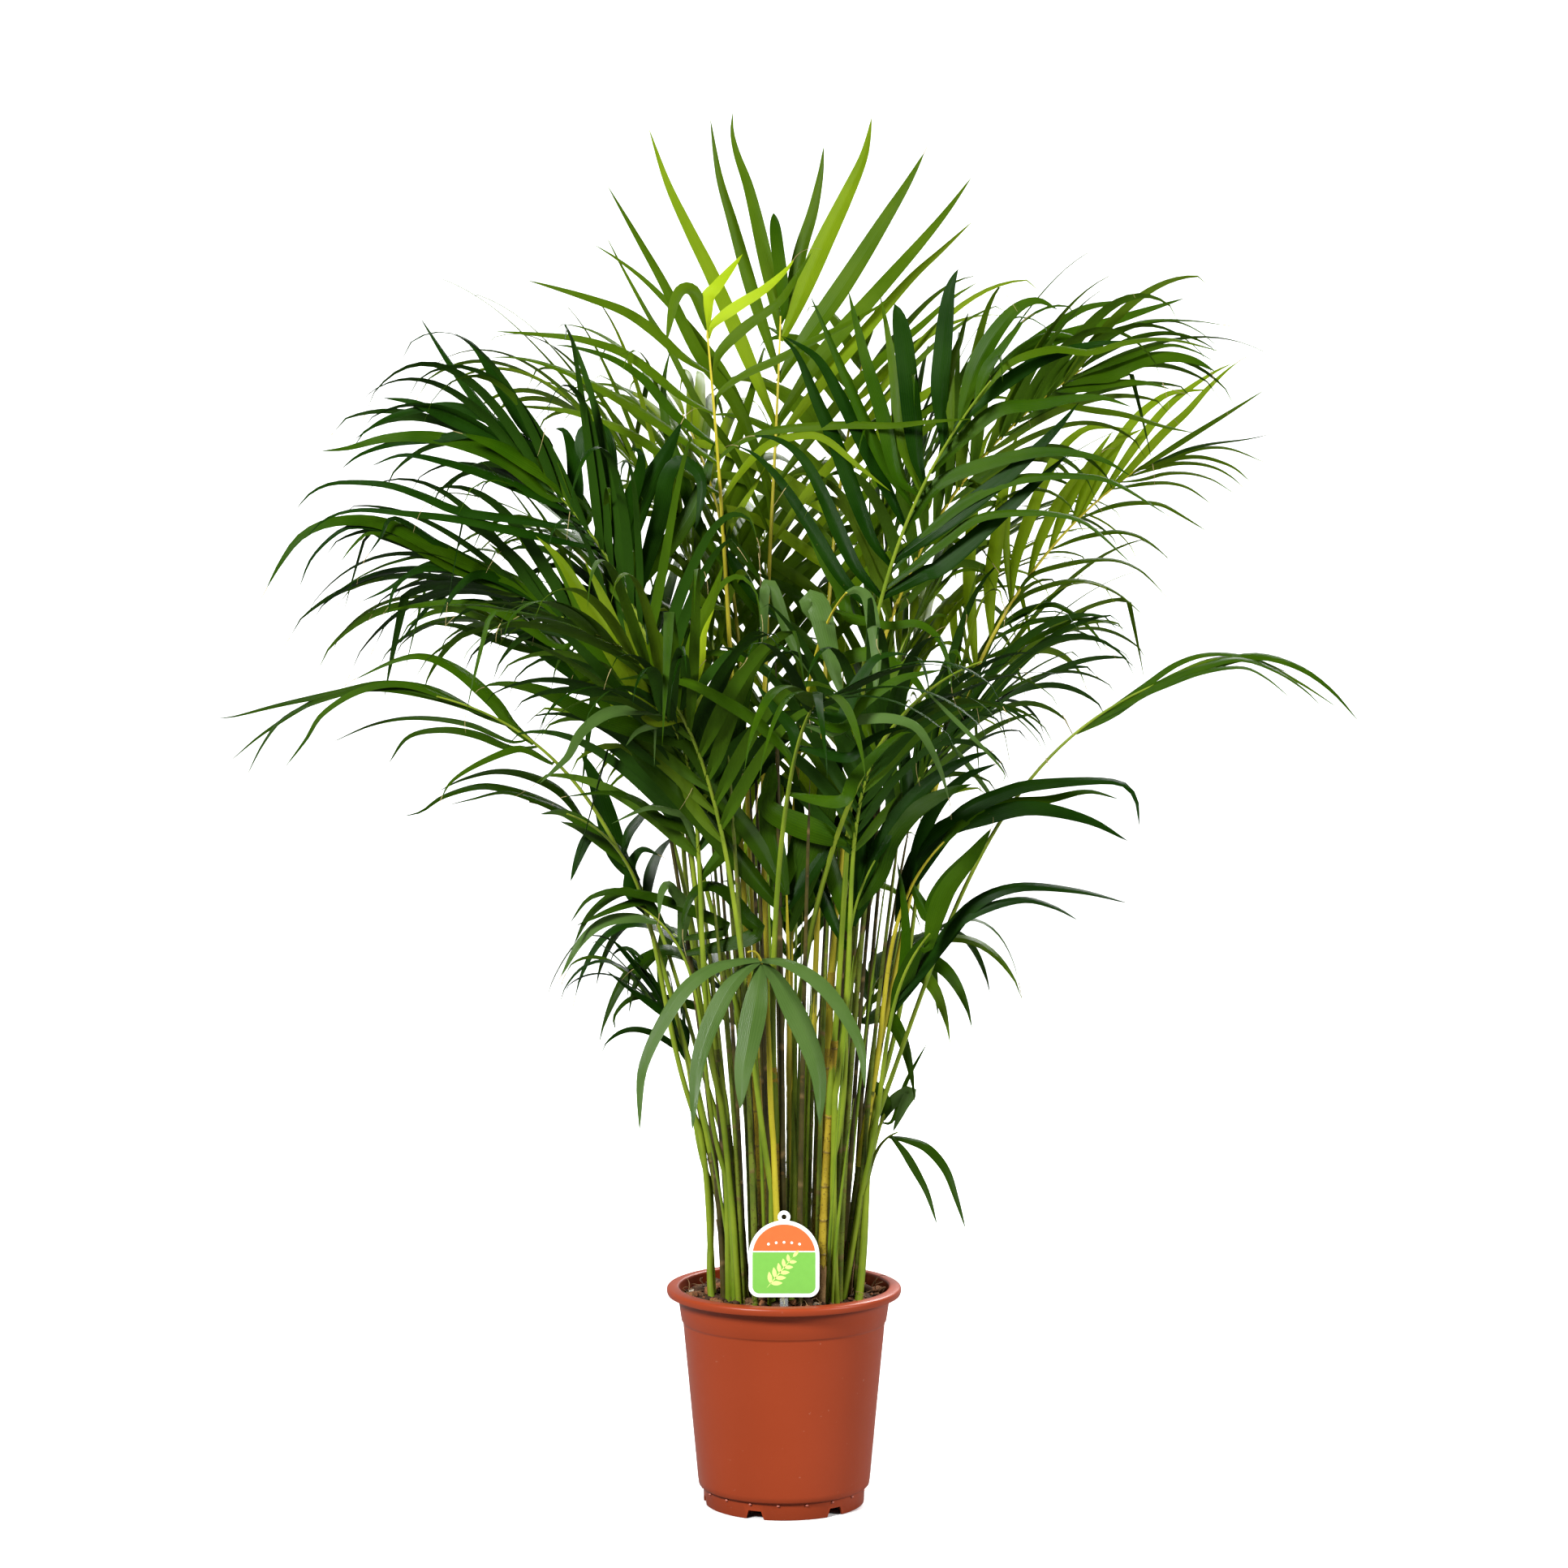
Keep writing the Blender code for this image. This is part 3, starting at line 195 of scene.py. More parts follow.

# Leaflets that are placed singly, by the number in their frond's name: tone, width in millimetres,
# how far the face tips up from the front in degrees, how far the tip lies behind the root in
# metres, how late the blade narrows, and the root and other points on the way to the tip as they
# were read off the photograph, in pixels of its frame
PLACED = {
    1: (
        ("fresh", 15, 15, 0.00, 2.2, (955, 605), (908, 500), (862, 437), (820, 353), (790, 300),
         (747, 226)),
        ("painted_sunlit", 17, 15, 0.02, 2.2, (957, 525), (953, 516), (916, 428), (878, 341), (850, 285),
         (822, 225), (799, 157)),
        ("fresh", 15, 12, 0.03, 2.2, (958, 460), (950, 430), (928, 362), (903, 274), (886, 215),
         (875, 145)),
        ("fresh", 16, 12, 0.00, 2.2, (960, 412), (945, 328), (924, 237), (908, 190), (902, 162),
         (903, 137)),
        ("mid", 13, 12, -0.02, 12, (963, 400), (966, 378), (961, 330), (957, 300), (953, 262)),
        ("fresh", 15, 12, 0.02, 2.4, (965, 395), (970, 378), (987, 307), (1001, 262), (1011, 215),
         (1015, 180)),
        ("painted_sunlit", 21, 15, -0.02, 2.4, (964, 420), (970, 403), (1007, 316), (1041, 245), (1062, 199),
         (1070, 170), (1074, 144)),
        ("fresh", 21, 15, 0.02, 2.6, (960, 470), (978, 437), (1037, 353), (1095, 262), (1120, 222),
         (1140, 186)),
        ("fresh", 18, 18, 0.04, 2.4, (958, 520), (1012, 437), (1074, 366), (1137, 295), (1170, 255),
         (1198, 217)),
        ("painted_sunlit", 14, 18, 0.06, 2.4, (955, 550), (987, 503), (1062, 412), (1120, 345), (1160, 308),
         (1199, 272)),
        ("fresh", 13, 18, 0.05, 2.2, (953, 600), (1010, 525), (1074, 453), (1137, 399), (1172, 368),
         (1206, 347)),
        ("fresh", 12, 20, 0.04, 2, (951, 640), (940, 580), (899, 474), (857, 412), (803, 353), (762, 320),
         (728, 299)),
        ("fresh", 9, 20, 0.06, 2, (950, 660), (905, 560), (862, 500), (820, 420), (803, 395), (766, 328),
         (745, 287)),
        ("painted_sunlit", 12, 20, 0.06, 2, (950, 670), (1000, 600), (1060, 530), (1110, 470), (1150, 430)),
    ),
    2: (
        ("lime", 15, 20, -0.02, 2.4, (866, 390), (871, 368), (882, 353), (901, 330), (915, 313)),
        ("lime", 13, 20, -0.03, 2.2, (865, 418), (878, 399), (909, 376), (940, 357), (967, 334),
         (980, 317)),
        ("fresh", 14, 25, -0.04, 2.2, (867, 465), (886, 434), (917, 403), (959, 372), (978, 345),
         (1000, 311)),
        ("fresh", 10, 30, -0.05, 2.2, (871, 511), (886, 484), (917, 461), (959, 442), (1005, 418),
         (1052, 395), (1100, 367)),
        ("fresh", 12, 40, -0.12, 2, (875, 567), (902, 549), (940, 532), (986, 526), (1044, 523),
         (1098, 524), (1150, 519), (1200, 516)),
        ("painted_sunlit", 11, 35, -0.10, 2, (880, 620), (909, 585), (944, 549), (986, 536), (1017, 541),
         (1055, 572), (1080, 592), (1098, 606)),
        ("fresh", 13, 10, -0.03, 2.6, (865, 391), (859, 366), (850, 355), (840, 356), (833, 366),
         (828, 382), (821, 422)),
        ("fresh", 12, 25, -0.01, 2, (864, 461), (840, 438), (805, 407), (771, 384), (728, 368), (678, 353),
         (648, 345)),
        ("fresh", 11, 30, 0.00, 2, (866, 511), (840, 488), (801, 457), (767, 434), (717, 418), (665, 412),
         (608, 408)),
        ("mid", 11, 25, -0.02, 2, (867, 549), (832, 511), (794, 468), (755, 442), (709, 428), (682, 425)),
        ("fresh", 13, 30, -0.01, 2, (868, 572), (825, 530), (782, 503), (736, 476), (686, 453), (640, 441),
         (600, 440)),
        ("fresh", 12, 30, 0.00, 2, (872, 610), (835, 575), (795, 545), (755, 524), (700, 506), (640, 500),
         (610, 497)),
        ("mid", 14, 15, 0.03, 2.2, (880, 700), (858, 640), (838, 580), (820, 520), (818, 470), (826, 430)),
        ("painted_sunlit", 9, 20, 0.00, 2.2, (878, 690), (897, 653), (913, 625), (930, 598), (943, 575)),
        ("mid", 13, 20, 0.03, 2.2, (877, 627), (897, 660), (922, 693), (940, 718)),
        ("deep", 13, 20, 0.03, 2.2, (886, 673), (910, 702), (930, 735), (963, 768)),
        ("mid", 14, 20, 0.03, 2.2, (883, 677), (900, 702), (918, 735), (933, 760)),
        ("fresh", 11, 20, 0.02, 2.2, (870, 752), (863, 740), (847, 705), (827, 672)),
    ),
    3: (
        ("mid", 8, 35, 0.00, 2, (1296, 484), (1342, 434), (1374, 409), (1415, 395), (1469, 395),
         (1512, 401)),
        ("mid", 7, 35, 0.00, 2, (1290, 490), (1355, 425), (1396, 402), (1442, 395), (1474, 406),
         (1502, 428)),
        ("mid", 17, 30, 0.00, 2.8, (1310, 475), (1340, 465), (1369, 461), (1396, 447), (1433, 439),
         (1469, 443), (1498, 458)),
        ("mid", 9, 35, 0.00, 2.2, (1325, 470), (1387, 440), (1437, 425), (1469, 431), (1496, 445)),
        ("mid", 11, 30, 0.00, 2.2, (1300, 485), (1342, 477), (1378, 471), (1415, 472), (1444, 480)),
        ("fresh", 9, 30, -0.02, 2, (1285, 500), (1342, 504), (1387, 511), (1433, 525), (1474, 534)),
    ),
    4: (
        ("deep", 17, 10, 0.02, 2.6, (1087, 692), (1075, 665), (1052, 607), (1029, 545), (1006, 492),
         (983, 438), (962, 413)),
        ("deep", 16, 12, 0.02, 2.6, (1105, 645), (1091, 599), (1068, 553), (1037, 492), (1010, 445),
         (983, 424), (964, 414)),
        ("mid", 13, 12, 0.03, 2.2, (1118, 620), (1092, 576), (1064, 515), (1037, 453), (1014, 399),
         (998, 363)),
        ("mid", 16, 12, 0.02, 2.4, (1126, 605), (1105, 585), (1087, 511), (1068, 449), (1054, 395),
         (1045, 357)),
        ("fresh", 12, 14, 0.04, 2.4, (1128, 602), (1112, 550), (1106, 518), (1102, 470), (1093, 407),
         (1084, 362)),
        ("deep", 19, 8, 0.00, 12, (1133, 592), (1129, 561), (1122, 499), (1114, 430), (1107, 390),
         (1102, 374)),
        ("deep", 18, 8, 0.00, 5, (1158, 548), (1158, 484), (1162, 426), (1168, 368), (1174, 345),
         (1181, 331)),
        ("mid", 19, 20, 0.00, 2.4, (1180, 517), (1187, 500), (1202, 453), (1225, 411), (1252, 380),
         (1279, 370), (1304, 382)),
        ("fresh", 11, 15, 0.03, 2.2, (1166, 532), (1170, 460), (1183, 418), (1188, 400), (1194, 383)),
        ("mid", 12, 15, 0.00, 2.2, (1200, 490), (1215, 455), (1237, 425), (1255, 403), (1263, 393)),
        ("deep", 16, 14, -0.02, 2.2, (1083, 735), (1050, 690), (1010, 600), (985, 560), (955, 540),
         (925, 537)),
        ("deep", 15, 14, -0.02, 2.2, (1080, 755), (1040, 715), (1000, 650), (960, 590), (930, 560),
         (905, 548)),
        ("mid", 16, 25, -0.05, 2, (1106, 655), (1152, 599), (1198, 576), (1252, 561), (1300, 556),
         (1355, 565), (1396, 588)),
        ("deep", 20, 25, -0.04, 2.2, (1096, 690), (1152, 653), (1198, 618), (1252, 576), (1300, 530),
         (1330, 495)),
        ("mid", 13, 30, -0.06, 2, (1090, 705), (1160, 640), (1219, 602), (1274, 588), (1328, 586),
         (1374, 595), (1442, 637)),
        ("deep", 20, 22, -0.02, 2.2, (1084, 735), (1140, 705), (1160, 697), (1228, 638), (1278, 593),
         (1318, 558)),
        ("mid", 12, 30, -0.06, 2, (1086, 725), (1160, 670), (1205, 638), (1260, 631), (1305, 634),
         (1342, 647), (1397, 697)),
        ("mid", 17, 25, -0.03, 2, (1140, 580), (1180, 545), (1228, 505), (1278, 498), (1324, 490),
         (1360, 490), (1396, 502)),
        ("deep", 16, 22, 0.00, 2.2, (1165, 535), (1200, 500), (1251, 462), (1290, 440), (1342, 425),
         (1390, 420)),
        ("fresh", 10, 25, 0.00, 2, (1190, 500), (1240, 450), (1296, 430), (1342, 434), (1387, 422),
         (1442, 418), (1508, 434)),
        ("mid", 15, 20, 0.02, 2.4, (1070, 765), (1047, 760), (1035, 723), (1022, 702), (1005, 667),
         (980, 617)),
    ),
    5: (
        ("olive", 21, 20, -0.03, 3.2, (960, 1127), (943, 1098), (906, 1056), (864, 1010), (822, 968),
         (785, 935), (776, 922)),
        ("olive", 18, 20, -0.02, 3, (955, 1072), (935, 1043), (902, 998), (864, 960), (835, 927),
         (822, 906)),
        ("olive", 22, 10, 0.00, 9, (958, 1077), (952, 1035), (950, 993), (952, 956), (953, 939)),
        ("olive", 31, 12, -0.01, 3.6, (968, 1147), (985, 1093), (1006, 1027), (1022, 972), (1033, 943),
         (1038, 928)),
        ("deep", 20, 20, 0.03, 3, (968, 1120), (1000, 1070), (1040, 1010), (1075, 970), (1110, 930),
         (1130, 905)),
        ("mid", 15, 20, 0.02, 2.4, (964, 1135), (958, 1110), (976, 1060), (985, 1010), (980, 960),
         (975, 930)),
    ),
    6: (
        ("silver_and_painted_sheen", 18, 45, -0.05, 2.2, (937, 1181), (909, 1183), (874, 1194), (843, 1219), (817, 1258),
         (798, 1297), (789, 1332), (788, 1395)),
        ("silver_and_painted_sheen", 20, 30, -0.05, 2.4, (935, 1183), (917, 1195), (896, 1219), (878, 1254), (865, 1289),
         (857, 1328), (853, 1393)),
        ("silver_and_painted_sheen", 26, 12, -0.04, 3, (937, 1185), (935, 1210), (930, 1241), (922, 1284), (915, 1323),
         (912, 1367)),
        ("silver_and_painted_sheen", 23, 18, -0.04, 2.8, (939, 1185), (957, 1206), (974, 1237), (991, 1271), (1007, 1315),
         (1011, 1350), (1010, 1388)),
        ("silver_and_painted_sheen", 17, 42, -0.05, 2.4, (940, 1181), (965, 1184), (996, 1200), (1022, 1223), (1046, 1258),
         (1061, 1293), (1066, 1343)),
    ),
    7: (
        ("deep", 13, 25, 0.00, 2, (698, 583), (657, 550), (615, 525), (586, 492), (553, 446), (517, 390)),
        ("deep", 15, 25, 0.00, 2.2, (690, 567), (675, 550), (648, 525), (615, 475), (586, 429), (559, 410)),
        ("deep", 17, 30, 0.00, 2.2, (682, 575), (640, 550), (598, 533), (557, 517), (511, 496), (471, 490)),
        ("deep", 13, 35, 0.01, 2, (665, 570), (636, 537), (594, 512), (557, 500), (515, 504), (473, 517),
         (436, 542)),
        ("mid", 18, 35, 0.00, 2, (690, 620), (673, 608), (623, 567), (573, 546), (523, 537), (473, 540),
         (428, 552), (394, 556)),
        ("deep", 13, 35, 0.00, 2, (680, 600), (640, 560), (594, 533), (540, 540), (486, 546), (444, 560),
         (419, 579)),
        ("mid", 23, 30, -0.02, 2.6, (728, 640), (723, 629), (690, 592), (648, 567), (607, 546), (565, 533)),
        ("deep", 14, 35, -0.01, 2, (700, 640), (657, 608), (607, 587), (557, 571), (498, 560), (455, 575)),
        ("deep", 12, 40, -0.01, 2, (710, 660), (640, 640), (565, 629), (523, 612), (482, 598), (440, 594),
         (407, 596), (382, 608), (363, 630)),
        ("deep", 13, 40, -0.02, 2, (720, 690), (640, 655), (570, 640), (500, 632), (440, 628), (400, 640),
         (375, 665)),
        ("deep", 24, 10, -0.02, 9, (745, 660), (744, 635), (746, 589), (744, 555), (738, 536), (728, 531),
         (719, 545), (716, 568)),
        ("deep", 17, 12, -0.03, 3.4, (758, 715), (767, 647), (786, 589), (790, 562), (783, 553),
         (776, 556)),
        ("deep", 26, 14, -0.02, 2.6, (762, 720), (759, 705), (775, 651), (794, 605), (821, 558),
         (841, 518)),
        ("deep", 18, 12, -0.03, 3, (770, 755), (794, 701), (813, 635), (821, 589), (836, 568), (855, 576),
         (865, 597), (859, 643), (855, 655)),
        ("deep", 16, 12, -0.01, 3.4, (722, 640), (711, 628), (709, 597), (705, 558), (696, 532),
         (684, 528)),
        ("mid", 20, 12, 0.02, 3, (765, 740), (800, 700), (845, 640), (868, 590), (880, 545)),
        ("painted_sunlit", 17, 20, 0.00, 2.4, (800, 885), (775, 830), (758, 780), (745, 735)),
        ("painted_sunlit", 16, 20, 0.00, 2.4, (815, 890), (797, 840), (783, 800), (768, 762)),
        ("mid", 17, 20, 0.00, 2.4, (780, 850), (740, 780), (705, 725), (672, 668)),
    ),
    8: (
        ("mid", 20, 40, -0.03, 2, (700, 760), (640, 717), (594, 700), (540, 675), (490, 650), (448, 640),
         (403, 644), (369, 662), (344, 696), (327, 728)),
        ("deep", 12, 40, -0.03, 2, (660, 740), (560, 690), (486, 655), (440, 648), (415, 656), (384, 687),
         (368, 726)),
        ("mid", 13, 40, -0.04, 2, (640, 735), (560, 700), (500, 668), (457, 656), (436, 671), (419, 693)),
        ("deep", 9, 35, -0.04, 2, (620, 725), (540, 670), (486, 638), (469, 662), (452, 686)),
        ("olive", 7, 40, 0.00, 2, (610, 720), (532, 687), (486, 692), (448, 708), (417, 727)),
        ("deep", 13, 40, -0.02, 2, (640, 745), (590, 705), (548, 692), (515, 700), (478, 725), (443, 742)),
        ("deep", 11, 35, -0.03, 2, (630, 740), (560, 700), (511, 704), (486, 725), (477, 760)),
        ("deep", 12, 30, -0.03, 2, (660, 760), (620, 715), (586, 708), (560, 730), (540, 763)),
        ("mid", 12, 40, 0.00, 2, (700, 800), (690, 796), (648, 771), (607, 750), (557, 742), (511, 746),
         (469, 755)),
        ("mid", 17, 25, 0.00, 2.2, (790, 890), (745, 815), (700, 745), (655, 680), (622, 640)),
        ("mid", 16, 25, 0.02, 2.2, (760, 855), (720, 800), (680, 745), (640, 700), (600, 668)),
    ),
    9: (
        ("mid", 13, 40, -0.01, 2, (1335, 915), (1370, 880), (1405, 855), (1450, 835), (1500, 817),
         (1550, 808), (1600, 822), (1640, 850), (1676, 891)),
        ("mid", 11, 40, -0.02, 2, (1345, 905), (1385, 868), (1430, 842), (1480, 822), (1530, 812),
         (1575, 828), (1610, 852), (1630, 873)),
        ("mid", 8, 40, 0.01, 2, (1360, 890), (1410, 845), (1450, 818), (1490, 806), (1540, 810),
         (1590, 830)),
        ("mid", 9, 40, -0.03, 2, (1370, 880), (1430, 846), (1480, 828), (1530, 822), (1560, 835),
         (1590, 860)),
        ("fresh", 8, 40, 0.02, 2, (1400, 860), (1450, 830), (1500, 812), (1550, 815), (1600, 840),
         (1650, 873)),
    ),
    10: (
        ("mid", 19, 45, 0.00, 2, (650, 926), (630, 890), (608, 863), (566, 826), (524, 808), (487, 813),
         (435, 838)),
        ("olive", 12, 45, -0.02, 2, (620, 900), (593, 879), (535, 850), (472, 842), (414, 853), (345, 868),
         (287, 883), (262, 885)),
        ("olive", 12, 45, -0.03, 2, (600, 885), (535, 858), (461, 847), (398, 861), (350, 884), (324, 916),
         (303, 958)),
        ("mid", 9, 40, -0.03, 2, (570, 868), (500, 843), (445, 850), (398, 879), (377, 911), (350, 947)),
        ("olive", 10, 40, 0.00, 2, (560, 864), (480, 845), (400, 858), (329, 900), (282, 939)),
        ("olive", 8, 40, 0.02, 2, (645, 918), (629, 913), (577, 892), (514, 884), (461, 892), (408, 915)),
        ("olive", 10, 40, -0.01, 2, (655, 930), (629, 921), (587, 905), (545, 899), (503, 908), (478, 942)),
        ("mid", 10, 35, -0.04, 2, (670, 950), (680, 940), (650, 924), (629, 924), (587, 942), (556, 963),
         (543, 985)),
    ),
    11: (
        ("fresh", 7, 25, 0.00, 2.2, (1394, 588), (1430, 561), (1466, 538), (1513, 509), (1559, 480)),
        ("painted_sunlit", 10, 15, 0.00, 2.2, (1363, 610), (1394, 576), (1432, 535), (1461, 509), (1487, 480),
         (1511, 457), (1528, 444)),
        ("painted_sunlit", 10, 15, 0.01, 2.2, (1354, 616), (1387, 566), (1411, 533), (1437, 502), (1466, 478),
         (1497, 458), (1520, 447)),
        ("painted_sunlit", 12, 15, 0.01, 2.2, (1328, 638), (1356, 588), (1378, 545), (1399, 516), (1423, 495),
         (1447, 483), (1492, 480)),
        ("painted_sunlit", 12, 12, 0.00, 2.2, (1320, 644), (1342, 592), (1356, 564), (1380, 542), (1409, 528)),
        ("painted_sunlit", 12, 12, 0.00, 2.2, (1290, 673), (1313, 626), (1335, 585), (1351, 559), (1372, 530)),
        ("painted_sunlit", 12, 12, 0.00, 2.2, (1262, 707), (1280, 669), (1299, 628), (1320, 595), (1342, 573),
         (1361, 554)),
        ("painted_sunlit", 14, 12, 0.00, 2.2, (1238, 738), (1251, 692), (1268, 640), (1285, 597), (1304, 559),
         (1323, 538), (1347, 526), (1394, 529)),
        ("painted_sunlit", 16, 12, 0.00, 2.6, (1213, 780), (1220, 726), (1228, 666), (1236, 607), (1244, 564),
         (1256, 530)),
        ("painted_sunlit", 14, 12, 0.00, 2.6, (1192, 820), (1194, 714), (1199, 626), (1204, 583), (1213, 545),
         (1232, 515)),
        ("painted_sunlit", 8, 12, 0.01, 2.2, (1238, 738), (1240, 660), (1251, 595), (1266, 554)),
        ("olive", 5, 35, 0.00, 2, (1407, 578), (1432, 566), (1461, 554), (1490, 547), (1537, 541),
         (1565, 535)),
        ("fresh", 6, 35, 0.00, 2.2, (1407, 580), (1430, 570), (1461, 557), (1490, 551), (1520, 554),
         (1559, 570)),
        ("fresh", 6, 35, -0.01, 2.2, (1401, 583), (1425, 572), (1454, 564), (1480, 563), (1504, 569),
         (1523, 578), (1542, 595)),
        ("fresh", 6, 35, -0.01, 2.2, (1390, 592), (1418, 578), (1447, 571), (1475, 571), (1499, 577),
         (1518, 588), (1532, 601)),
        ("fresh", 6, 35, -0.02, 2.2, (1382, 596), (1409, 590), (1437, 583), (1466, 583), (1492, 590),
         (1509, 600), (1522, 609)),
        ("fresh", 6, 35, -0.02, 2.2, (1370, 604), (1394, 598), (1418, 595), (1442, 595), (1466, 602),
         (1494, 622)),
        ("fresh", 7, 35, -0.02, 2.2, (1332, 642), (1356, 628), (1382, 621), (1409, 619), (1432, 622),
         (1456, 635), (1488, 655)),
        ("fresh", 7, 35, -0.03, 2.2, (1294, 678), (1323, 665), (1351, 658), (1378, 655), (1401, 660),
         (1420, 671), (1442, 690)),
        ("fresh", 8, 35, -0.03, 2.2, (1242, 729), (1270, 709), (1304, 697), (1342, 690), (1375, 690),
         (1401, 700), (1418, 714), (1436, 734)),
        ("fresh", 8, 35, -0.03, 2.2, (1228, 757), (1259, 735), (1292, 721), (1323, 715), (1351, 719),
         (1380, 733), (1409, 758)),
        ("mid", 8, 35, -0.03, 2.2, (1225, 771), (1256, 754), (1282, 746), (1301, 745), (1323, 757),
         (1342, 773), (1365, 800)),
        ("mid", 8, 35, -0.03, 2.2, (1220, 790), (1251, 773), (1275, 765), (1304, 761), (1335, 761),
         (1366, 767), (1388, 775)),
        ("mid", 9, 35, -0.03, 2.4, (1205, 810), (1240, 800), (1268, 788), (1299, 775), (1318, 766),
         (1344, 748)),
        ("mid", 5, 35, 0.00, 2.2, (1222, 775), (1270, 752), (1294, 738), (1313, 723), (1335, 708)),
    ),
    12: (
        ("deep", 29, 10, 0.00, 4, (1050, 1140), (1062, 1097), (1060, 1047), (1068, 997), (1078, 964),
         (1088, 938)),
        ("olive", 24, 25, -0.02, 3, (1055, 1120), (1080, 1080), (1093, 1039), (1118, 1006), (1147, 985),
         (1177, 972), (1198, 966)),
        ("deep", 18, 25, -0.01, 2.6, (1062, 1097), (1080, 1050), (1110, 1000), (1150, 960), (1192, 935),
         (1225, 925)),
        ("mid", 17, 16, 0.01, 2.8, (1050, 1150), (1030, 1090), (1015, 1040), (1010, 990), (1015, 945)),
        ("deep", 15, 20, 0.02, 2.6, (1045, 1170), (1020, 1120), (995, 1050), (975, 1000), (965, 965)),
        ("deep", 13, 12, 0.03, 2.6, (1080, 1010), (1117, 997), (1117, 947), (1113, 905), (1112, 872),
         (1118, 830)),
    ),
    13: (
        ("deep", 22, 35, -0.04, 2.4, (1106, 1137), (1114, 1093), (1135, 1047), (1168, 1018), (1210, 1006),
         (1270, 995), (1340, 1010), (1391, 1037)),
        ("deep", 20, 35, -0.04, 2.2, (1112, 1120), (1123, 1089), (1180, 1007), (1240, 975), (1285, 965),
         (1370, 962), (1398, 980), (1404, 1019)),
        ("mid", 18, 12, -0.02, 2.6, (1143, 1100), (1146, 1131), (1152, 1110), (1168, 1083), (1198, 1050),
         (1222, 1020)),
        ("deep", 16, 20, 0.00, 2.2, (1125, 1100), (1130, 1050), (1150, 1000), (1185, 960), (1230, 940)),
        ("mid", 13, 25, 0.02, 2.2, (1150, 1050), (1190, 1010), (1240, 990), (1290, 985), (1340, 975),
         (1380, 985)),
    ),
    14: (
        ("mid", 16, 20, 0.00, 2.4, (1205, 482), (1228, 458), (1251, 440), (1296, 418), (1355, 400),
         (1415, 381), (1461, 367)),
        ("mid", 12, 20, 0.03, 2.2, (1204, 482), (1228, 462), (1251, 438), (1287, 411), (1333, 381),
         (1378, 372), (1403, 368)),
        ("painted_sunlit", 9, 12, 0.03, 3, (1085, 720), (1063, 707), (1062, 680), (1058, 650)),
        ("painted_sunlit", 10, 12, 0.03, 2.6, (1105, 700), (1083, 660), (1088, 618), (1092, 600)),
        ("painted_sunlit", 11, 12, 0.03, 2.4, (1120, 650), (1138, 627), (1147, 602), (1160, 578)),
    ),
    15: (
        ("painted_sunlit", 15, 20, -0.02, 2.4, (838, 900), (822, 850), (812, 812), (803, 776)),
        ("painted_sunlit", 13, 20, -0.02, 2.4, (850, 905), (852, 850), (856, 800), (862, 757)),
        ("painted_sunlit", 15, 20, -0.02, 2.4, (845, 890), (835, 830), (838, 790), (830, 745)),
    ),
    16: (
        ("olive", 13, 40, 0.00, 2, (690, 812), (657, 800), (615, 788), (565, 771), (523, 768)),
        ("deep", 12, 40, -0.02, 2, (680, 800), (640, 750), (582, 721), (540, 737), (511, 767), (490, 797)),
        ("deep", 18, 35, -0.02, 2.2, (765, 873), (715, 835), (669, 800), (627, 762), (588, 742),
         (523, 746)),
        ("painted_sunlit", 16, 25, 0.00, 2.4, (808, 960), (780, 905), (755, 860), (722, 815)),
        ("mid", 17, 25, 0.00, 2.2, (800, 940), (760, 885), (720, 835), (680, 795)),
    ),
    17: (
        ("silver_and_painted_sheen", 24, 10, -0.03, 2.6, (988, 765), (996, 742), (1008, 744), (1020, 790), (1030, 830),
         (1039, 864)),
        ("silver_and_painted_sheen", 14, 10, -0.03, 2.6, (1042, 732), (1056, 726), (1069, 737), (1076, 770), (1080, 810),
         (1078, 862)),
        ("silver_and_painted_sheen", 12, 10, -0.02, 3, (1000, 830), (975, 790), (957, 735), (949, 718), (943, 722),
         (941, 750), (941, 790), (940, 830)),
        ("mid", 9, 15, -0.02, 2.4, (1035, 755), (1090, 770), (1130, 768), (1155, 785), (1168, 815),
         (1173, 852)),
        ("olive", 10, 20, -0.01, 2.2, (990, 880), (960, 842), (975, 847), (984, 878), (980, 920)),
        ("mid", 17, 20, -0.02, 2.2, (1000, 800), (1030, 812), (1075, 805), (1120, 830), (1150, 870)),
        ("mid", 13, 35, 0.00, 2.2, (990, 885), (975, 855), (948, 828), (909, 808), (863, 803), (830, 806)),
    ),
    18: (
        ("deep", 20, 15, -0.04, 2.2, (885, 960), (898, 905), (913, 850), (931, 792)),
    ),
    19: (
        ("silver_and_painted_sheen", 12, 25, -0.03, 2.2, (1012, 900), (1027, 902), (1052, 888), (1085, 884), (1110, 887),
         (1131, 897), (1147, 922), (1160, 952), (1170, 988)),
        ("mid", 14, 35, -0.02, 2.2, (1000, 955), (971, 928), (932, 889), (890, 862), (848, 841), (801, 833),
         (757, 838)),
        ("deep", 13, 25, 0.00, 2.4, (985, 935), (977, 900), (955, 873), (932, 843)),
        ("deep", 12, 30, -0.02, 2.2, (1005, 925), (1043, 933), (1063, 917), (1088, 903), (1110, 897),
         (1122, 900)),
        ("mid", 15, 30, -0.02, 2.2, (990, 980), (1035, 987), (1052, 960), (1073, 935), (1097, 913),
         (1113, 903), (1125, 903)),
        ("mid", 13, 30, 0.00, 2.2, (1012, 890), (1035, 897), (1055, 873), (1080, 853), (1105, 838),
         (1123, 832), (1163, 825)),
        ("deep", 14, 25, 0.01, 2.4, (1010, 880), (1035, 883), (1050, 852), (1063, 830), (1080, 810),
         (1105, 805), (1123, 808)),
    ),
    20: (
